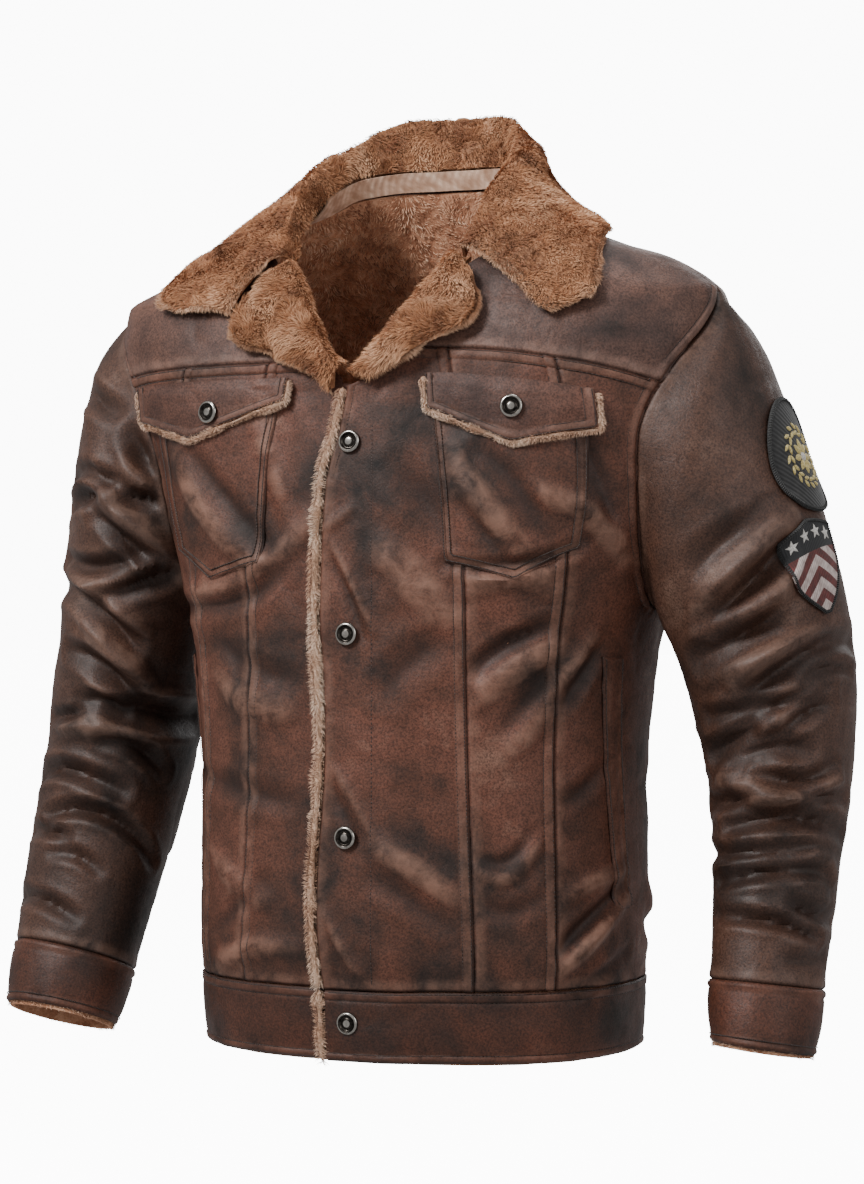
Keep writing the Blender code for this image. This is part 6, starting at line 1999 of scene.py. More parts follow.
def stitch_mesh(name, rows):
    points, faces, start = [], [], 0
    for place, normal in rows:
        part, part_faces = stitch_parts(place, normal)
        if len(part) == 0:
            continue
        points.append(part)
        faces.append(part_faces + start)
        start += len(part)
    points, faces = np.concatenate(points), np.concatenate(faces)
    piece = new_piece(name, filled_mesh(name, points, faces, np.arange(len(faces)) * 4))
    smooth(piece, 80.0)
    settle(piece, "polyester_thread")


def body_row(side, path, seams, out=0.0, share=1.0):
    """A row of stitches along (angle, height) places on the body's finished surface."""
    angle, height = even_places(path, DEGREE)
    angle = side * angle
    place, _, _ = body_skin(angle, height, lap(side * angle, side) + out, seams, share)
    return place, body_normal(angle, height)


def sleeve_row(side, station, turn, out, seams, amount):
    place, _, _ = sleeve_skin(side, station, turn, out, seams, amount)
    return place, sleeve_normal(side, station, turn)


def stitch_fronts():
    rows = []
    for side, _ in SIDES:
        angles = np.linspace(10.0 if side > 0 else 12.0, 72.0, 60)
        seam = np.stack([angles, read_yoke_seam[side](angles)[1]], axis=-1)
        rows += [body_row(side, seam - [0.0, distance], [(SEAMS["yoke"][side], BAND_WIDTH)])
                 for distance in (FIRST_ROW, BAND_WIDTH)]
        heights = np.linspace(BAND_HEIGHT + 0.002, 0.505, 120)
        for read, key in ((read_inner_seam, "inner"), (read_outer_seam, "outer")):
            seam = np.stack([read(heights)[1], heights], axis=-1)
            rows += [body_row(side, offset_path(seam, -distance, side),
                              [(SEAMS[key][side], BAND_WIDTH)])
                     for distance in (FIRST_ROW, BAND_WIDTH)]
        arm = np.stack(armhole_place(np.linspace(0.0, 360.0, 181)), axis=-1)
        rows += [body_row(side, offset_path(part, -ARM_BAND, side),
                          [(SEAMS["armhole"][side], ARM_BAND)])
                 for part in (arm[4:86], arm[95:177])]
    heights = np.linspace(BAND_HEIGHT + 0.003, 0.500, 120)
    edge = np.stack([read_lap_edge(heights)[1], heights], axis=-1)
    rows.append(body_row(1, offset_path(edge, LAP_BAND, 1), [(SEAMS["front_edge"], LAP_BAND)]))
    placket = np.stack([np.full(120, PLACKET_ANGLE), heights], axis=-1)
    rows.append(body_row(1, placket[:112], ()))
    stitch_mesh("stitching_fronts", rows)


def stitch_back_and_band():
    rows = []
    angles = np.linspace(94.0, 266.0, 160)
    for distance in (FIRST_ROW, BAND_WIDTH):
        seam = np.stack([angles, np.full(160, BACK_YOKE_SEAM - distance)], axis=-1)
        rows.append(body_row(1, seam[6:-6], [(SEAMS["back_yoke"], BAND_WIDTH)]))
    around = np.linspace(LAP_EDGE[0][1] + 1.5, 360.0 + UNDERLAP_EDGE - 2.0, 300)
    for distance in (0.0018, 0.0078, BAND_HEIGHT - 0.0062):
        path = np.stack([around, np.full(300, BAND_HEIGHT - distance)], axis=-1)
        angle, height = even_places(path, DEGREE)
        place, _, _ = body_skin(angle, height, band_out(angle, height), BAND_SEAMS,
                                BAND_CRUMPLE)
        rows.append((place, body_normal(angle, height)))
    stitch_mesh("stitching_back_and_band", rows)


def pocket_row(side, inset):
    """Down one side of a pocket, along its lower edge and up the other side."""
    side_share, low_rise = inset / POCKET_SIZE[0], inset / POCKET_SIZE[1]
    rise = np.linspace(0.0, 1.0, 40)
    parts = [(np.full(40, side_share), between(0.98, low_rise, rise)),
             (np.linspace(side_share, 1.0 - side_share, 60), np.full(60, low_rise)),
             (np.full(40, 1.0 - side_share), between(low_rise, 0.98, rise))]
    path = np.concatenate([np.stack(pocket_place(side, *part), axis=-1) for part in parts])
    return body_row(side, path, [(pocket_outline(side), 0.0065)], POCKET_OUT)


def flap_row(side, inset):
    """Down one end of a flap, along its loose edge and up the other end."""
    row = FLAPS[side]
    pad = np.degrees(inset / BODY_RADIUS)
    first, last = row[0] + pad, row[2] - pad
    angles = np.linspace(first, last, 70)
    low = np.stack([angles, flap_low(row, angles) + inset * 1.05], axis=-1)
    ends = []
    for angle, order in ((first, 1), (last, -1)):
        rise = np.linspace(0.93, 0.0, 20)[::order]
        base = flap_low(row, angle) + inset * 1.05
        ends.append(np.stack([np.full(20, angle), between(base, flap_top(row, angle), rise)],
                             axis=-1))
    path = np.concatenate([ends[0], low, ends[1]])
    out = FLAP_OUT + FLAP_PUFF * float(smooth_step(0.0, 0.02, inset))
    return body_row(side, path, [(flap_outline(side), FLAP_BAND)], out)


def welt_row(side, share):
    """Up a welt, at a share of its width."""
    top, bottom, front_top, front_bottom, width = WELT
    rise = np.linspace(0.015, 0.985, 60)
    angle = between(front_bottom, front_top, rise) + np.degrees(width * share / WELT_RADIUS)
    path = np.stack([angle, between(bottom, top, rise)], axis=-1)
    return body_row(side, path, (), POCKET_OUT - 0.0004, WELT_CRUMPLE)


def stitch_pockets():
    rows = []
    for side, _ in SIDES:
        rows += [pocket_row(side, inset) for inset in (0.0018, 0.0068)]
        rows += [flap_row(side, inset) for inset in (0.0017, FLAP_BAND)]
        rows += [welt_row(side, share) for share in (0.09, 0.91)]
    stitch_mesh("stitching_pockets", rows)


def stitch_sleeves():
    rows = []
    for side, _ in SIDES:
        turn = np.linspace(0.0, 360.0, 181)
        for station, out in ((CUFF_STATION + 0.045, 0.0006), (LAST_STATION - 0.13, 0.0010)):
            rows.append(sleeve_row(side, np.full(181, station), turn, out, (), CUFF_WRINKLE))
        station = np.linspace(0.4, CUFF_STATION - 0.1, 200)
        for beside in (1.5, 6.6):
            rows.append(sleeve_row(side, station, back_seam_turn(station) + beside, 0.0,
                                   [(SLEEVE_SEAMS[side]["back"], BAND_WIDTH)], WRINKLE_DEPTH))
    stitch_mesh("stitching_sleeves", rows)


def build_stitching():
    stitch_fronts()
    stitch_back_and_band()
    stitch_pockets()
    stitch_sleeves()


def pocket_outline(side):
    share, rise = np.meshgrid(np.linspace(0.0, 1.0, 30), np.linspace(0.0, 1.0, 30))
    angle, height = pocket_place(side, share, rise)
    return rim_line(plain_body(side * angle, height))


def flap_outline(side):
    row = FLAPS[side]
    angle = np.linspace(row[0], row[2], 40)
    low = plain_body(side * angle, flap_low(row, angle))
    rise = np.linspace(1.0, 0.0, 12)
    ends = [plain_body(np.full(12, side * a), between(flap_low(row, a), flap_top(row, a), rise))
            for a in (row[0], row[2])]
    return np.concatenate([ends[0], low, ends[1][::-1]])


# ------------------------------------------------------------------ finishes

def to_linear(code):
    """An sRGB hex colour as linear red, green, blue and alpha."""
    parts = [int(code[i:i + 2], 16) / 255.0 for i in (1, 3, 5)]
    return tuple(c / 12.92 if c <= 0.04045 else ((c + 0.055) / 1.055) ** 2.4
                 for c in parts) + (1.0,)


def add(tree, kind, out, inputs=None, stops=(), **settings):
    """Add a node with its settings and links, and return its output out.

    inputs maps a socket to a value, an sRGB hex or another node's output. stops are a colour
    ramp's (position, sRGB hex or value).
    """
    made = tree.nodes.new("ShaderNode" + kind)
    for key, value in settings.items():
        setattr(made, key, value)
    for key, value in (inputs or {}).items():
        if isinstance(value, bpy.types.NodeSocket):
            tree.links.new(value, made.inputs[key])
        else:
            made.inputs[key].default_value = to_linear(value) if isinstance(value, str) else value
    for i, (position, value) in enumerate(stops):
        elements = made.color_ramp.elements
        between_ends = 0 < i < len(stops) - 1
        stop = elements.new(position) if between_ends else elements[0 if i == 0 else -1]
        stop.position = position
        stop.color = to_linear(value) if isinstance(value, str) else (value,) * 3 + (1.0,)
    return made.outputs[out]


def new_material(name, **uniform):
    """A Principled material, with its uniform values set straight on the shader."""
    made = bpy.data.materials.new(name)
    made.use_nodes = True
    shader = made.node_tree.nodes["Principled BSDF"]
    for key, value in uniform.items():
        shader.inputs[key.replace("_", " ")].default_value = value
    return made, made.node_tree, shader.inputs


def per_metre(size):
    """Scale of a pattern whose cells are size across, for Object coordinates in metres."""
    return 1.0 / size


LEATHERS = {
    # name: darkest, dark, base, reddish, light; roughness; wear and painted highlight on the
    # ridges; depth of the clouds; how dark the painted shade in the creases is
    "leather_panels": ("#1f1410", "#3a251c", "#5c3728", "#6f4333", "#8f6b5a", 0.58, 0.60, 1.2,
                       0.65),
    "leather_yokes": ("#281b16", "#463029", "#624439", "#724f41", "#957567", 0.52, 0.50, 1.2, 0.6),
    "leather_bands": ("#27180f", "#3b231a", "#512e20", "#5f3525", "#7c5342", 0.52, 0.35, 1.2, 0.6),
    "leather_flaps": ("#2a1a15", "#452c24", "#5f3e32", "#6d4638", "#8c6a5b", 0.56, 0.45, 1.2, 0.6),
    "leather_sleeves": ("#221611", "#38261e", "#4d3429", "#583b2e", "#7f6355", 0.50, 0.40, 1.3,
                        0.4),
}


def leather_material(name, colours, roughness, ridge_wear_and_highlight, clouds, furrow):
    """Distressed coated leather: soft, mottled and rubbed.

    It gives the eye near-black clouds and reddish patches some 60 mm wide, painted shade in
    the creases and the seams' grooves, ridges and seam bands paled partly by rubbing and
    partly by painted highlight, a fine nap that speckles it and a low uneven sheen.
    """
    darkest, dark, base, reddish, light = colours
    made, tree, shader = new_material(name)
    place = add(tree, "TexCoord", "Object")
    cloud = add(tree, "TexNoise", 0, {"Vector": place, "Scale": per_metre(0.095), "Detail": 3.0,
                                      "Roughness": 0.55, "Distortion": 0.3})
    patch = add(tree, "TexNoise", 0, {"Vector": place, "Scale": per_metre(0.024), "Detail": 6.0,
                                      "Roughness": 0.64, "Distortion": 0.5})
    speck = add(tree, "TexNoise", 0, {"Vector": place, "Scale": per_metre(0.0016),
                                      "Detail": 2.0, "Roughness": 0.7})
    tone = add(tree, "Mix", 0, {0: 0.30, 2: cloud, 3: patch})
    colour = add(tree, "ValToRGB", 0, {0: tone}, stops=(
        (0.5 - 0.14 * clouds, darkest), (0.5 - 0.085 * clouds, dark), (0.5, base),
        (0.5 + 0.075 * clouds, reddish), (0.5 + 0.19 * clouds, light)))
    nap = add(tree, "ValToRGB", 0, {0: speck}, stops=((0.32, "#8d8581"), (0.62, "#ffffff")))
    colour = add(tree, "Mix", 2, {0: 0.9, 6: colour, 7: nap}, data_type="RGBA",
                 blend_type="MULTIPLY")
    # painted shade: the deeper a crease sinks, the more its colour is darkened towards darkest;
    # furrow sets how dark this painted shade gets
    folds = add(tree, "Attribute", "Fac", attribute_name="crease")
    crease_shade_depth = add(tree, "Math", 0, {0: folds, 1: -1.0}, operation="MULTIPLY")
    colour = add(tree, "Mix", 2, {0: add(tree, "ValToRGB", 0, {0: crease_shade_depth},
                 stops=((0.06, 0.0), (0.85, furrow))), 6: colour, 7: darkest}, data_type="RGBA")
    # ridges are lightened towards light in random patches, partly as rubbed wear and partly as
    # painted highlight
    wear_and_highlight_patches = add(tree, "ValToRGB", 0, {0: patch}, stops=((0.38, 0.1), (0.60, 1.0)))
    ridge_wear_and_highlight_mask = add(tree, "Math", 0, {0: add(tree, "ValToRGB", 0, {0: folds}, stops=(
                 (0.10, 0.0), (0.70, ridge_wear_and_highlight))), 1: wear_and_highlight_patches}, operation="MULTIPLY")
    colour = add(tree, "Mix", 2, {0: ridge_wear_and_highlight_mask, 6: colour, 7: light}, data_type="RGBA")
    # the raised band beside a seam is lightened towards light, partly as wear and partly as painted
    # highlight
    seam = add(tree, "Math", 0, {0: add(tree, "Attribute", "Fac", attribute_name="edge"),
                                 1: 40.0}, operation="MULTIPLY")
    worn = add(tree, "Math", 0, {0: add(tree, "ValToRGB", 0, {0: seam}, stops=(
               (0.04, 0.0), (0.10, 0.34), (0.26, 0.24), (0.42, 0.0))), 1: wear_and_highlight_patches},
               operation="MULTIPLY")
    colour = add(tree, "Mix", 2, {0: worn, 6: colour, 7: light}, data_type="RGBA")
    # painted shade in each seam's groove: the colour is darkened towards darkest within about a
    # millimetre of the seam
    seam_groove_shade = add(tree, "ValToRGB", 0, {0: seam}, stops=((0.006, 0.55), (0.045, 0.0)))
    colour = add(tree, "Mix", 2, {0: seam_groove_shade, 6: colour, 7: darkest}, data_type="RGBA")
    tree.links.new(colour, shader["Base Color"])
    tree.links.new(add(tree, "ValToRGB", 0, {0: patch}, stops=(
        (0.30, roughness + 0.12), (0.70, roughness - 0.07))), shader["Roughness"])
    shader["Specular IOR Level"].default_value = 0.38
    scuff = add(tree, "TexNoise", 0, {"Vector": place, "Scale": per_metre(0.008), "Detail": 8.0,
                                      "Roughness": 0.66, "Distortion": 1.0})
    tree.links.new(add(tree, "Bump", 0, {"Height": add(tree, "Mix", 0, {0: 0.30, 2: scuff,
                   3: speck}), "Strength": 0.60, "Distance": 0.0012}), shader["Normal"])
    return made


def fleece_material(name, deep, base, pale):
    """The knitted ground under the pile of the fleece, matt and a little darker."""
    made, tree, shader = new_material(name, Roughness=0.92, Specular_IOR_Level=0.25,
                                      Sheen_Weight=0.35, Sheen_Roughness=0.5,
                                      Sheen_Tint=to_linear(pale))
    place = add(tree, "TexCoord", "Object")
    clump = add(tree, "TexNoise", 0, {"Vector": place, "Scale": per_metre(0.013), "Detail": 5.0,
                                      "Roughness": 0.6, "Distortion": 0.8})
    curl = add(tree, "TexNoise", 0, {"Vector": place, "Scale": per_metre(0.0022), "Detail": 4.0,
                                     "Roughness": 0.7, "Distortion": 1.4})
    tone = add(tree, "Mix", 0, {0: 0.4, 2: clump, 3: curl})
    tree.links.new(add(tree, "ValToRGB", 0, {0: tone}, stops=(
        (0.38, deep), (0.50, base), (0.62, pale))), shader["Base Color"])
    tree.links.new(add(tree, "Bump", 0, {"Height": tone, "Strength": 0.8, "Distance": 0.0016}),
                   shader["Normal"])
    return made


def pile_material(name, deep, base, pale, tip):
    """Plush pile: fibres darkened towards the root by painted shade, sun-bleached at the tip, with
    a soft sheen.
    """
    made, tree, shader = new_material(name, Roughness=0.80, Specular_IOR_Level=0.25,
                                      Sheen_Weight=0.30, Sheen_Roughness=0.45,
                                      Sheen_Tint=to_linear(pale))
    tone = add(tree, "Attribute", "Fac", attribute_name="tone")
    along = add(tree, "Attribute", "Fac", attribute_name="along")
    colour = add(tree, "ValToRGB", 0, {0: tone}, stops=((0.20, deep), (0.50, base),
                                                        (0.82, pale)))
    # painted shade: the colour is multiplied darker towards each blade's root
    root = add(tree, "ValToRGB", 0, {0: along}, stops=((0.0, "#9a8f8a"), (0.55, "#ffffff")))
    colour = add(tree, "Mix", 2, {0: 1.0, 6: colour, 7: root}, data_type="RGBA",
                 blend_type="MULTIPLY")
    colour = add(tree, "Mix", 2, {0: add(tree, "ValToRGB", 0, {0: along}, stops=(
                 (0.60, 0.0), (1.0, 0.30))), 6: colour, 7: tip}, data_type="RGBA")
    tree.links.new(colour, shader["Base Color"])
    return made


def woven_material(name, low, mid, high, rib_size, fray_size):
    """Twill, such as a tape or a badge: slanting ribs, drawn wide enough to show, and fraying."""
    made, tree, shader = new_material(name, Roughness=0.85, Sheen_Weight=0.2)
    cut = add(tree, "UVMap", "UV")
    rib = add(tree, "TexWave", "Fac", {"Vector": cut, "Scale": per_metre(rib_size) / 6.28,
              "Distortion": 0.6, "Detail": 1.0}, wave_type="BANDS", bands_direction="DIAGONAL")
    fray = add(tree, "TexNoise", 0, {"Vector": cut, "Scale": per_metre(fray_size),
                                     "Detail": 5.0})
    colour = add(tree, "ValToRGB", 0, {0: fray}, stops=((0.35, low), (0.55, mid), (0.70, high)))
    # painted shade in the grooves between the ribs: the colour is darkened towards low
    shade = add(tree, "ValToRGB", 0, {0: rib}, stops=((0.2, 0.35), (0.7, 0.0)))
    colour = add(tree, "Mix", 2, {0: shade, 6: colour, 7: low}, data_type="RGBA")
    tree.links.new(colour, shader["Base Color"])
    tree.links.new(add(tree, "Bump", 0, {"Height": rib, "Strength": 0.5, "Distance": 0.0004}),
                   shader["Normal"])
    return made


def mottled_material(name, low, high, size, smoothest, roughest, **uniform):
    """A plain finish with a mottle of its own: metal clouded with wear, thread or paper."""
    made, tree, shader = new_material(name, **uniform)
    place = add(tree, "TexCoord", "Object")
    cloud = add(tree, "TexNoise", 0, {"Vector": place, "Scale": per_metre(size), "Detail": 4.0,
                                      "Roughness": 0.6})
    tree.links.new(add(tree, "ValToRGB", 0, {0: cloud}, stops=((0.35, low), (0.66, high))),
                   shader["Base Color"])
    tree.links.new(add(tree, "ValToRGB", 0, {0: cloud}, stops=(
        (0.35, roughest), (0.66, smoothest))), shader["Roughness"])
    tree.links.new(add(tree, "Bump", 0, {"Height": cloud, "Strength": 0.3, "Distance": 0.0003}),
                   shader["Normal"])
    return made


def stripes_material(name):
    """Satin-stitched stripes: chevrons of dull red and cream under a dark plain field."""
    made, tree, shader = new_material(name, Roughness=0.62, Sheen_Weight=0.1)
    cut = add(tree, "UVMap", "UV")
    parts = add(tree, "SeparateXYZ", 0, {"Vector": cut}).node.outputs
    across = add(tree, "Math", 0, {0: parts["X"]}, operation="ABSOLUTE")
    slant = add(tree, "Math", 0, {0: across, 1: 0.75, 2: parts["Y"]}, operation="MULTIPLY_ADD")
    band = add(tree, "Math", 0, {0: slant, 1: 0.0165}, operation="DIVIDE")
    band = add(tree, "Math", 0, {0: band}, operation="FRACT")
    red = add(tree, "Math", 0, {0: band, 1: 0.5}, operation="GREATER_THAN")
    head = add(tree, "Math", 0, {0: parts["Y"], 1: 0.0115}, operation="GREATER_THAN")
    worn = add(tree, "TexNoise", 0, {"Vector": cut, "Scale": per_metre(0.006), "Detail": 4.0})
    cream = add(tree, "ValToRGB", 0, {0: worn}, stops=((0.3, "#a5918c"), (0.65, "#d6c6c0")))
    scarlet = add(tree, "ValToRGB", 0, {0: worn}, stops=((0.3, "#3f1815"), (0.65, "#6e2a26")))
    colour = add(tree, "Mix", 2, {0: red, 6: cream, 7: scarlet}, data_type="RGBA")
    colour = add(tree, "Mix", 2, {0: head, 6: colour, 7: "#101114"}, data_type="RGBA")
    satin = add(tree, "TexWave", "Fac", {"Vector": cut, "Scale": per_metre(0.0010) / 6.28,
                "Distortion": 0.5}, wave_type="BANDS", bands_direction="X")
    # painted shade between the satin stitches: the colour is darkened towards near black
    shade = add(tree, "ValToRGB", 0, {0: satin}, stops=((0.2, 0.30), (0.7, 0.0)))
    colour = add(tree, "Mix", 2, {0: shade, 6: colour, 7: "#120d0a"}, data_type="RGBA")
    tree.links.new(colour, shader["Base Color"])
    tree.links.new(add(tree, "Bump", 0, {"Height": satin, "Strength": 0.5, "Distance": 0.0003}),
                   shader["Normal"])
    return made


FLEECES = {
    # name: deep, base, pale and, for pile, tip
    "plush_ground_collar": ("#724a34", "#9c6c4c", "#c09070"),
    "plush_ground_lining": ("#8a5c44", "#bd8667", "#ddac8b"),
    "plush_ground_edge": ("#a37d64", "#cba58a", "#e2c4ab"),
    "plush_pile_collar": ("#7f4b30", "#b98059", "#e0b08a", "#ecc9a8"),
    "plush_pile_lining": ("#8c5c43", "#d29f7d", "#f0c8a8", "#f6d8bd"),
    "plush_pile_rim": ("#9c6f52", "#c49a7b", "#ddb697", "#ebccb0"),
    "plush_pile_edge": ("#b58d72", "#d8b196", "#ecd0b8", "#f8e5d4"),
}

THREADS = {
    # name: dark and light of the twist, lowest and highest roughness
    "polyester_thread": ("#1a0e0a", "#3a241a", 0.45, 0.65),
    "gold_embroidery": ("#a08a48", "#dccb8c", 0.42, 0.58),
    "cream_embroidery": ("#aaa5a0", "#dcd8d2", 0.45, 0.65),
    "black_embroidery": ("#0b0b0b", "#222120", 0.50, 0.70),
}


def make_finish(name):
    if name in LEATHERS:
        row = LEATHERS[name]
        return leather_material(name, row[:5], *row[5:])
    if name in FLEECES:
        ground, tip = FLEECES[name][:3], FLEECES[name][3:]
        if name == "plush_pile_collar":
            tip = (tuple(setting("fleece", "tip")) + (1.0,),)
        return pile_material(name, *ground, *tip) if tip else fleece_material(name, *ground)
    if name in THREADS:
        # Twisted thread: a soft gloss broken along it every millimetre or so.
        low, high, smoothest, roughest = THREADS[name]
        return mottled_material(name, low, high, 0.0012, smoothest, roughest, Sheen_Weight=0.12)
    if name == "cotton_tape":
        # Tan cotton tape: a matt twill, a little frayed and soiled.
        return woven_material(name, "#a88066", "#cfaa91", "#e8c8ae", 0.0016, 0.010)
    if name == "black_twill":
        # The badges' ground: black cotton, rubbed to charcoal.
        return woven_material(name, "#0b0b0b", "#1b1a1a", "#2c2a29", 0.0011, 0.009)
    if name == "darkened_nickel":
        # Nickel plated steel darkened with age: soft reflections, clouded and warm grey.
        return mottled_material(name, "#1d1a18", "#4a4540", 0.004, 0.24, 0.42, Metallic=1.0)
    if name == "bright_nickel":
        # A brighter copy of the nickel, painted on the rim and the centre as their highlights:
        # clean bright reflections.
        return mottled_material(name, "#8f8a84", "#c2bdb6", 0.004, 0.16, 0.30, Metallic=1.0)
    if name == "satin_stripes":
        return stripes_material(name)
    if name == "white_paper":
        # Seamless white paper, evenly lit from behind so that it reads as white.
        return mottled_material(name, "#f3f3f2", "#f7f7f6", 0.3, 0.90, 0.96,
                                Emission_Color=to_linear("#ffffff"),
                                Emission_Strength=PAPER_GLOW)
    raise RuntimeError("no finish is named " + name)


def finish(name):
    return bpy.data.materials.get(name) or make_finish(name)


# ------------------------------------------------------------------ stage

VIEW_ANGLE = 24.0            # the camera stands this far round to the wearer's left
VIEW_DISTANCE = 2.6
VIEW_HEIGHT = 0.348 - NECK_HEIGHT
FOCAL_PIXELS = 3333.0        # focal length in pixels of an 864 by 1184 image
IMAGE_WIDTH, IMAGE_HEIGHT = 864.0, 1184.0
BACK_SHARE = 0.8             # power of the light behind, as a share of the fill light's
VIEW_MIDDLE = 425.0          # column of the image on the jacket's middle
SENSOR = 36.0
FLOOR_DROP = 0.30
PAPER_GLOW = 11.0            # how bright the paper and the air behind it look to the camera


def area_light(name, place, target, size, power):
    bpy.ops.object.light_add(type="AREA", location=place)
    lamp = bpy.context.object
    lamp.name = name
    lamp.data.shape = "DISK"
    lamp.data.size = size
    lamp.data.energy = power
    lamp.rotation_mode = "QUATERNION"
    lamp.rotation_quaternion = (Vector(target) - Vector(place)).to_track_quat("-Z", "Y")
    return lamp


def build_stage():
    bpy.ops.object.select_all(action="DESELECT")
    floor_z = -NECK_HEIGHT - FLOOR_DROP
    bpy.ops.mesh.primitive_plane_add(size=60.0, location=(0.0, 0.0, floor_z))
    floor = bpy.context.object
    floor.name = "floor"
    floor.data.materials.append(finish("white_paper"))
    floor.visible_diffuse = False
    floor.visible_glossy = False

    turn = math.radians(VIEW_ANGLE)
    eye = Vector((math.sin(turn), -math.cos(turn), 0.0)) * VIEW_DISTANCE
    eye.z = VIEW_HEIGHT
    lens = bpy.data.cameras.new("view")
    lens.sensor_fit = "VERTICAL"
    lens.sensor_height = SENSOR
    lens.lens = FOCAL_PIXELS / IMAGE_HEIGHT * SENSOR
    lens.shift_x = (IMAGE_WIDTH / 2.0 - VIEW_MIDDLE) / IMAGE_HEIGHT
    lens.clip_start = 0.05
    lens.clip_end = 90.0
    view = bpy.data.objects.new("view", lens)
    view.location = eye
    view.rotation_mode = "QUATERNION"
    view.rotation_quaternion = Vector((-eye.x, -eye.y, 0.0)).to_track_quat("-Z", "Y")
    bpy.context.scene.collection.objects.link(view)
    bpy.context.scene.camera = view

    middle = (0.0, 0.0, -0.25)
    fill = setting("stage", "fill")
    area_light("key_light", (-1.0, -2.1, 1.5), middle, 0.9, setting("stage", "key"))
    area_light("fill_light", (2.6, -1.2, 0.6), middle, 1.8, fill)
    area_light("top_light", (0.2, 0.3, 2.4), middle, 1.2, setting("stage", "top"))
    area_light("back_light", (0.0, 2.4, 0.9), middle, 1.8, fill * BACK_SHARE)

    world = bpy.data.worlds.new("studio")
    world.use_nodes = True
    air = world.node_tree.nodes["Background"]
    seen = add(world.node_tree, "LightPath", "Is Camera Ray")
    strength = add(world.node_tree, "Mix", 0, {0: seen, 2: setting("stage", "air"), 3: PAPER_GLOW})
    air.inputs["Color"].default_value = to_linear("#ffffff")
    world.node_tree.links.new(strength, air.inputs["Strength"])
    bpy.context.scene.world = world


# ------------------------------------------------------------------ add-on

class JacketLeather(bpy.types.PropertyGroup):
    """Sizes of the leather."""
    panel_step: FloatProperty(name="Panel mesh", description="Mesh spacing of the front panels",
                              default=PANEL_STEP, min=0.002, max=0.02, unit="LENGTH")
    wrinkle: FloatProperty(name="Wrinkles", description="Depth of the small wrinkles",
                           default=WRINKLE_DEPTH, min=0.0, max=0.003, unit="LENGTH")


class JacketFleece(bpy.types.PropertyGroup):
    """Size and colour of the fleece."""
    pile_length: FloatProperty(name="Collar pile", description="Length of the collar's pile",
                               default=COLLAR_PILE, min=0.002, max=0.015, unit="LENGTH")
    tip: FloatVectorProperty(name="Pile tip", description="Colour of the collar pile's tips",
                             default=to_linear(FLEECES["plush_pile_collar"][3])[:3], size=3,
                             subtype="COLOR", min=0.0, max=1.0)


class JacketStage(bpy.types.PropertyGroup):
    """Light and view."""
    key: FloatProperty(name="Key light", description="Power of the key light in watts",
                       default=88.0, min=0.0, max=1000.0, unit="POWER")
    fill: FloatProperty(name="Fill light", description="Power of the fill light in watts",
                        default=22.0, min=0.0, max=1000.0, unit="POWER")
    top: FloatProperty(name="Top light", description="Power of the top light in watts",
                       default=26.0, min=0.0, max=1000.0, unit="POWER")
    air: FloatProperty(name="Surrounding light", description="Strength of the white surroundings",
                       default=0.48, min=0.0, max=5.0, subtype="FACTOR")


class PieceOperator:
    """What every operator of the jacket shares."""
    bl_options = {"REGISTER", "UNDO"}

    def execute(self, context):
        self.make()
        return {"FINISHED"}


class JACKET_OT_fleece_edges(PieceOperator, bpy.types.Operator):
    """Model the fleece that shows along the front, the band and the flaps"""
    bl_idname = "jacket.fleece_edges"
    bl_label = "Fleece edges"
    make = staticmethod(build_fleece_edges)


class JACKET_OT_front_panels(PieceOperator, bpy.types.Operator):
    """Model the panels of both fronts"""
    bl_idname = "jacket.front_panels"
    bl_label = "Front panels"
    make = staticmethod(build_front_panels)


class JACKET_OT_front_yokes(PieceOperator, bpy.types.Operator):
    """Model the yokes of both fronts"""
    bl_idname = "jacket.front_yokes"
    bl_label = "Front yokes"
    make = staticmethod(build_front_yokes)


class JACKET_OT_back(PieceOperator, bpy.types.Operator):
    """Model the back panel and the back yoke"""
    bl_idname = "jacket.back"
    bl_label = "Back"
    make = staticmethod(build_back)


class JACKET_OT_waistband(PieceOperator, bpy.types.Operator):
    """Model the waistband"""
    bl_idname = "jacket.waistband"
    bl_label = "Waistband"
    make = staticmethod(build_waistband)


class JACKET_OT_lining(PieceOperator, bpy.types.Operator):
    """Model the fleece lining of the body"""
    bl_idname = "jacket.lining"
    bl_label = "Lining"
    make = staticmethod(build_lining)


class JACKET_OT_neck_tape(PieceOperator, bpy.types.Operator):
    """Model the tape inside the neck"""
    bl_idname = "jacket.neck_tape"
    bl_label = "Neck tape"
    make = staticmethod(build_tape)


class JACKET_OT_badges(PieceOperator, bpy.types.Operator):
    """Model the two sleeve badges"""
    bl_idname = "jacket.badges"
    bl_label = "Badges"
    make = staticmethod(build_badges)


class JACKET_OT_sleeves(PieceOperator, bpy.types.Operator):
    """Model the sleeves, the cuffs and their lining"""
    bl_idname = "jacket.sleeves"
    bl_label = "Sleeves and cuffs"
    make = staticmethod(build_sleeves)


class JACKET_OT_collar(PieceOperator, bpy.types.Operator):
    """Model the fleece collar"""
    bl_idname = "jacket.collar"
    bl_label = "Collar"
    make = staticmethod(build_collar)


class JACKET_OT_lapels(PieceOperator, bpy.types.Operator):
    """Model the small fleece lapels"""
    bl_idname = "jacket.lapels"
    bl_label = "Lapels"
    make = staticmethod(build_lapels)


class JACKET_OT_pockets(PieceOperator, bpy.types.Operator):
    """Model the chest pockets and their flaps"""
    bl_idname = "jacket.pockets"
    bl_label = "Pockets and flaps"
    make = staticmethod(build_pockets)


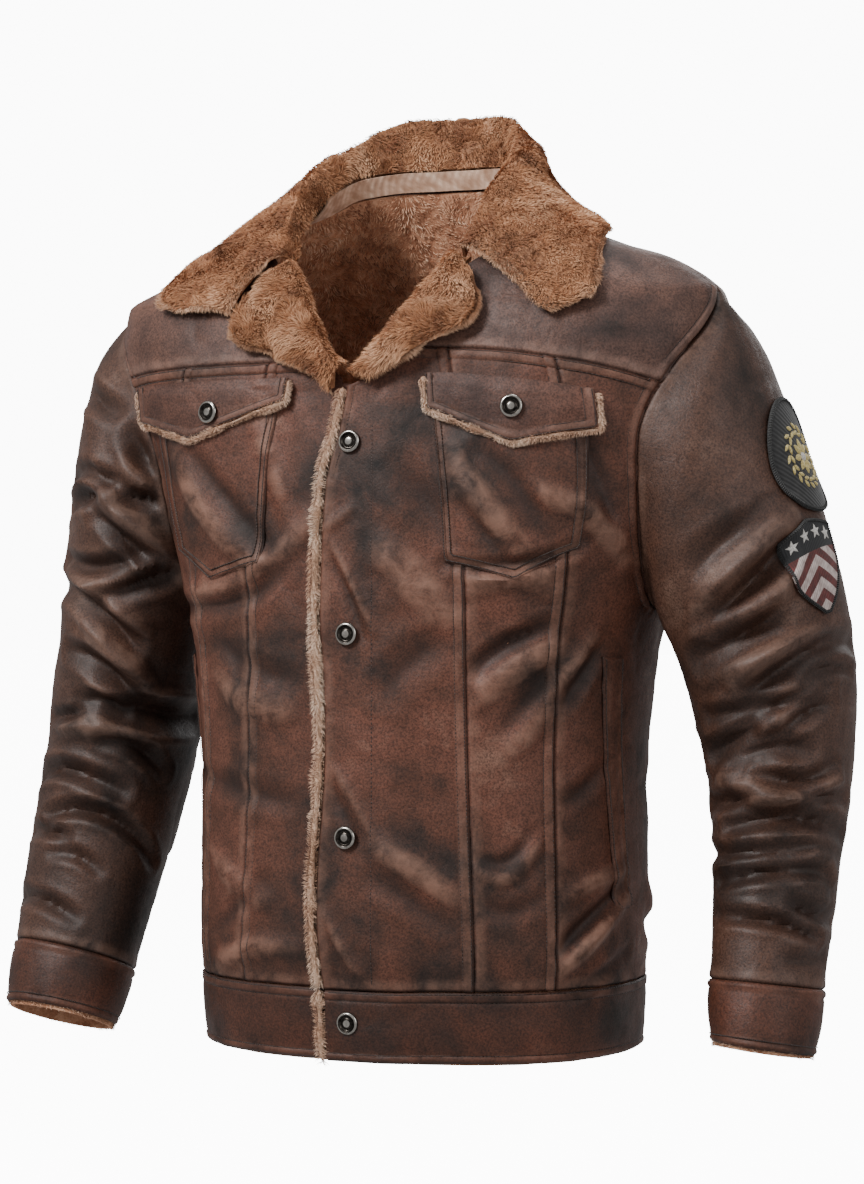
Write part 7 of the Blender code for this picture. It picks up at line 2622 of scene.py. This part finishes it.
class JACKET_OT_welts(PieceOperator, bpy.types.Operator):
    """Model the welts of the side pockets"""
    bl_idname = "jacket.welts"
    bl_label = "Welts"
    make = staticmethod(build_welts)


class JACKET_OT_snaps(PieceOperator, bpy.types.Operator):
    """Model the six snap caps"""
    bl_idname = "jacket.snaps"
    bl_label = "Snaps"
    make = staticmethod(build_snaps)


class JACKET_OT_stitching(PieceOperator, bpy.types.Operator):
    """Model the rows of stitches"""
    bl_idname = "jacket.stitching"
    bl_label = "Stitching"
    make = staticmethod(build_stitching)


class JACKET_OT_stage(PieceOperator, bpy.types.Operator):
    """Set up the floor, the light and the camera"""
    bl_idname = "jacket.stage"
    bl_label = "Stage"
    make = staticmethod(build_stage)


OPERATORS = (
    JACKET_OT_fleece_edges, JACKET_OT_front_panels, JACKET_OT_front_yokes, JACKET_OT_back,
    JACKET_OT_waistband, JACKET_OT_lining, JACKET_OT_neck_tape, JACKET_OT_badges,
    JACKET_OT_sleeves, JACKET_OT_collar, JACKET_OT_lapels, JACKET_OT_pockets, JACKET_OT_welts,
    JACKET_OT_snaps, JACKET_OT_stitching, JACKET_OT_stage,
)


class JACKET_PT_pieces(bpy.types.Panel):
    """The jacket's pieces in the order they are made"""
    bl_label = "Leather jacket"
    bl_idname = "JACKET_PT_pieces"
    bl_space_type = "VIEW_3D"
    bl_region_type = "UI"
    bl_category = "Jacket"

    def draw(self, context):
        for group in ("jacket_leather", "jacket_fleece", "jacket_stage"):
            owner = getattr(context.scene, group)
            for name in owner.__annotations__:
                self.layout.prop(owner, name)
        for operator in OPERATORS:
            self.layout.operator(operator.bl_idname)


GROUPS = (("jacket_leather", JacketLeather), ("jacket_fleece", JacketFleece),
          ("jacket_stage", JacketStage))


def register():
    for name, group in GROUPS:
        bpy.utils.register_class(group)
        setattr(bpy.types.Scene, name, PointerProperty(type=group))
    for operator in OPERATORS:
        bpy.utils.register_class(operator)
    bpy.utils.register_class(JACKET_PT_pieces)


def unregister():
    bpy.utils.unregister_class(JACKET_PT_pieces)
    for operator in reversed(OPERATORS):
        bpy.utils.unregister_class(operator)
    for name, group in reversed(GROUPS):
        delattr(bpy.types.Scene, name)
        bpy.utils.unregister_class(group)


def main():
    register()
    for operator in OPERATORS:
        space, name = operator.bl_idname.split(".")
        getattr(getattr(bpy.ops, space), name)()
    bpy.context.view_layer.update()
    for name, width, length, area in CUTS:
        print("cut %s %.0f x %.0f mm, %.4f m2" % (name, width * 1000, length * 1000, area))


if __name__ == "__main__":
    main()
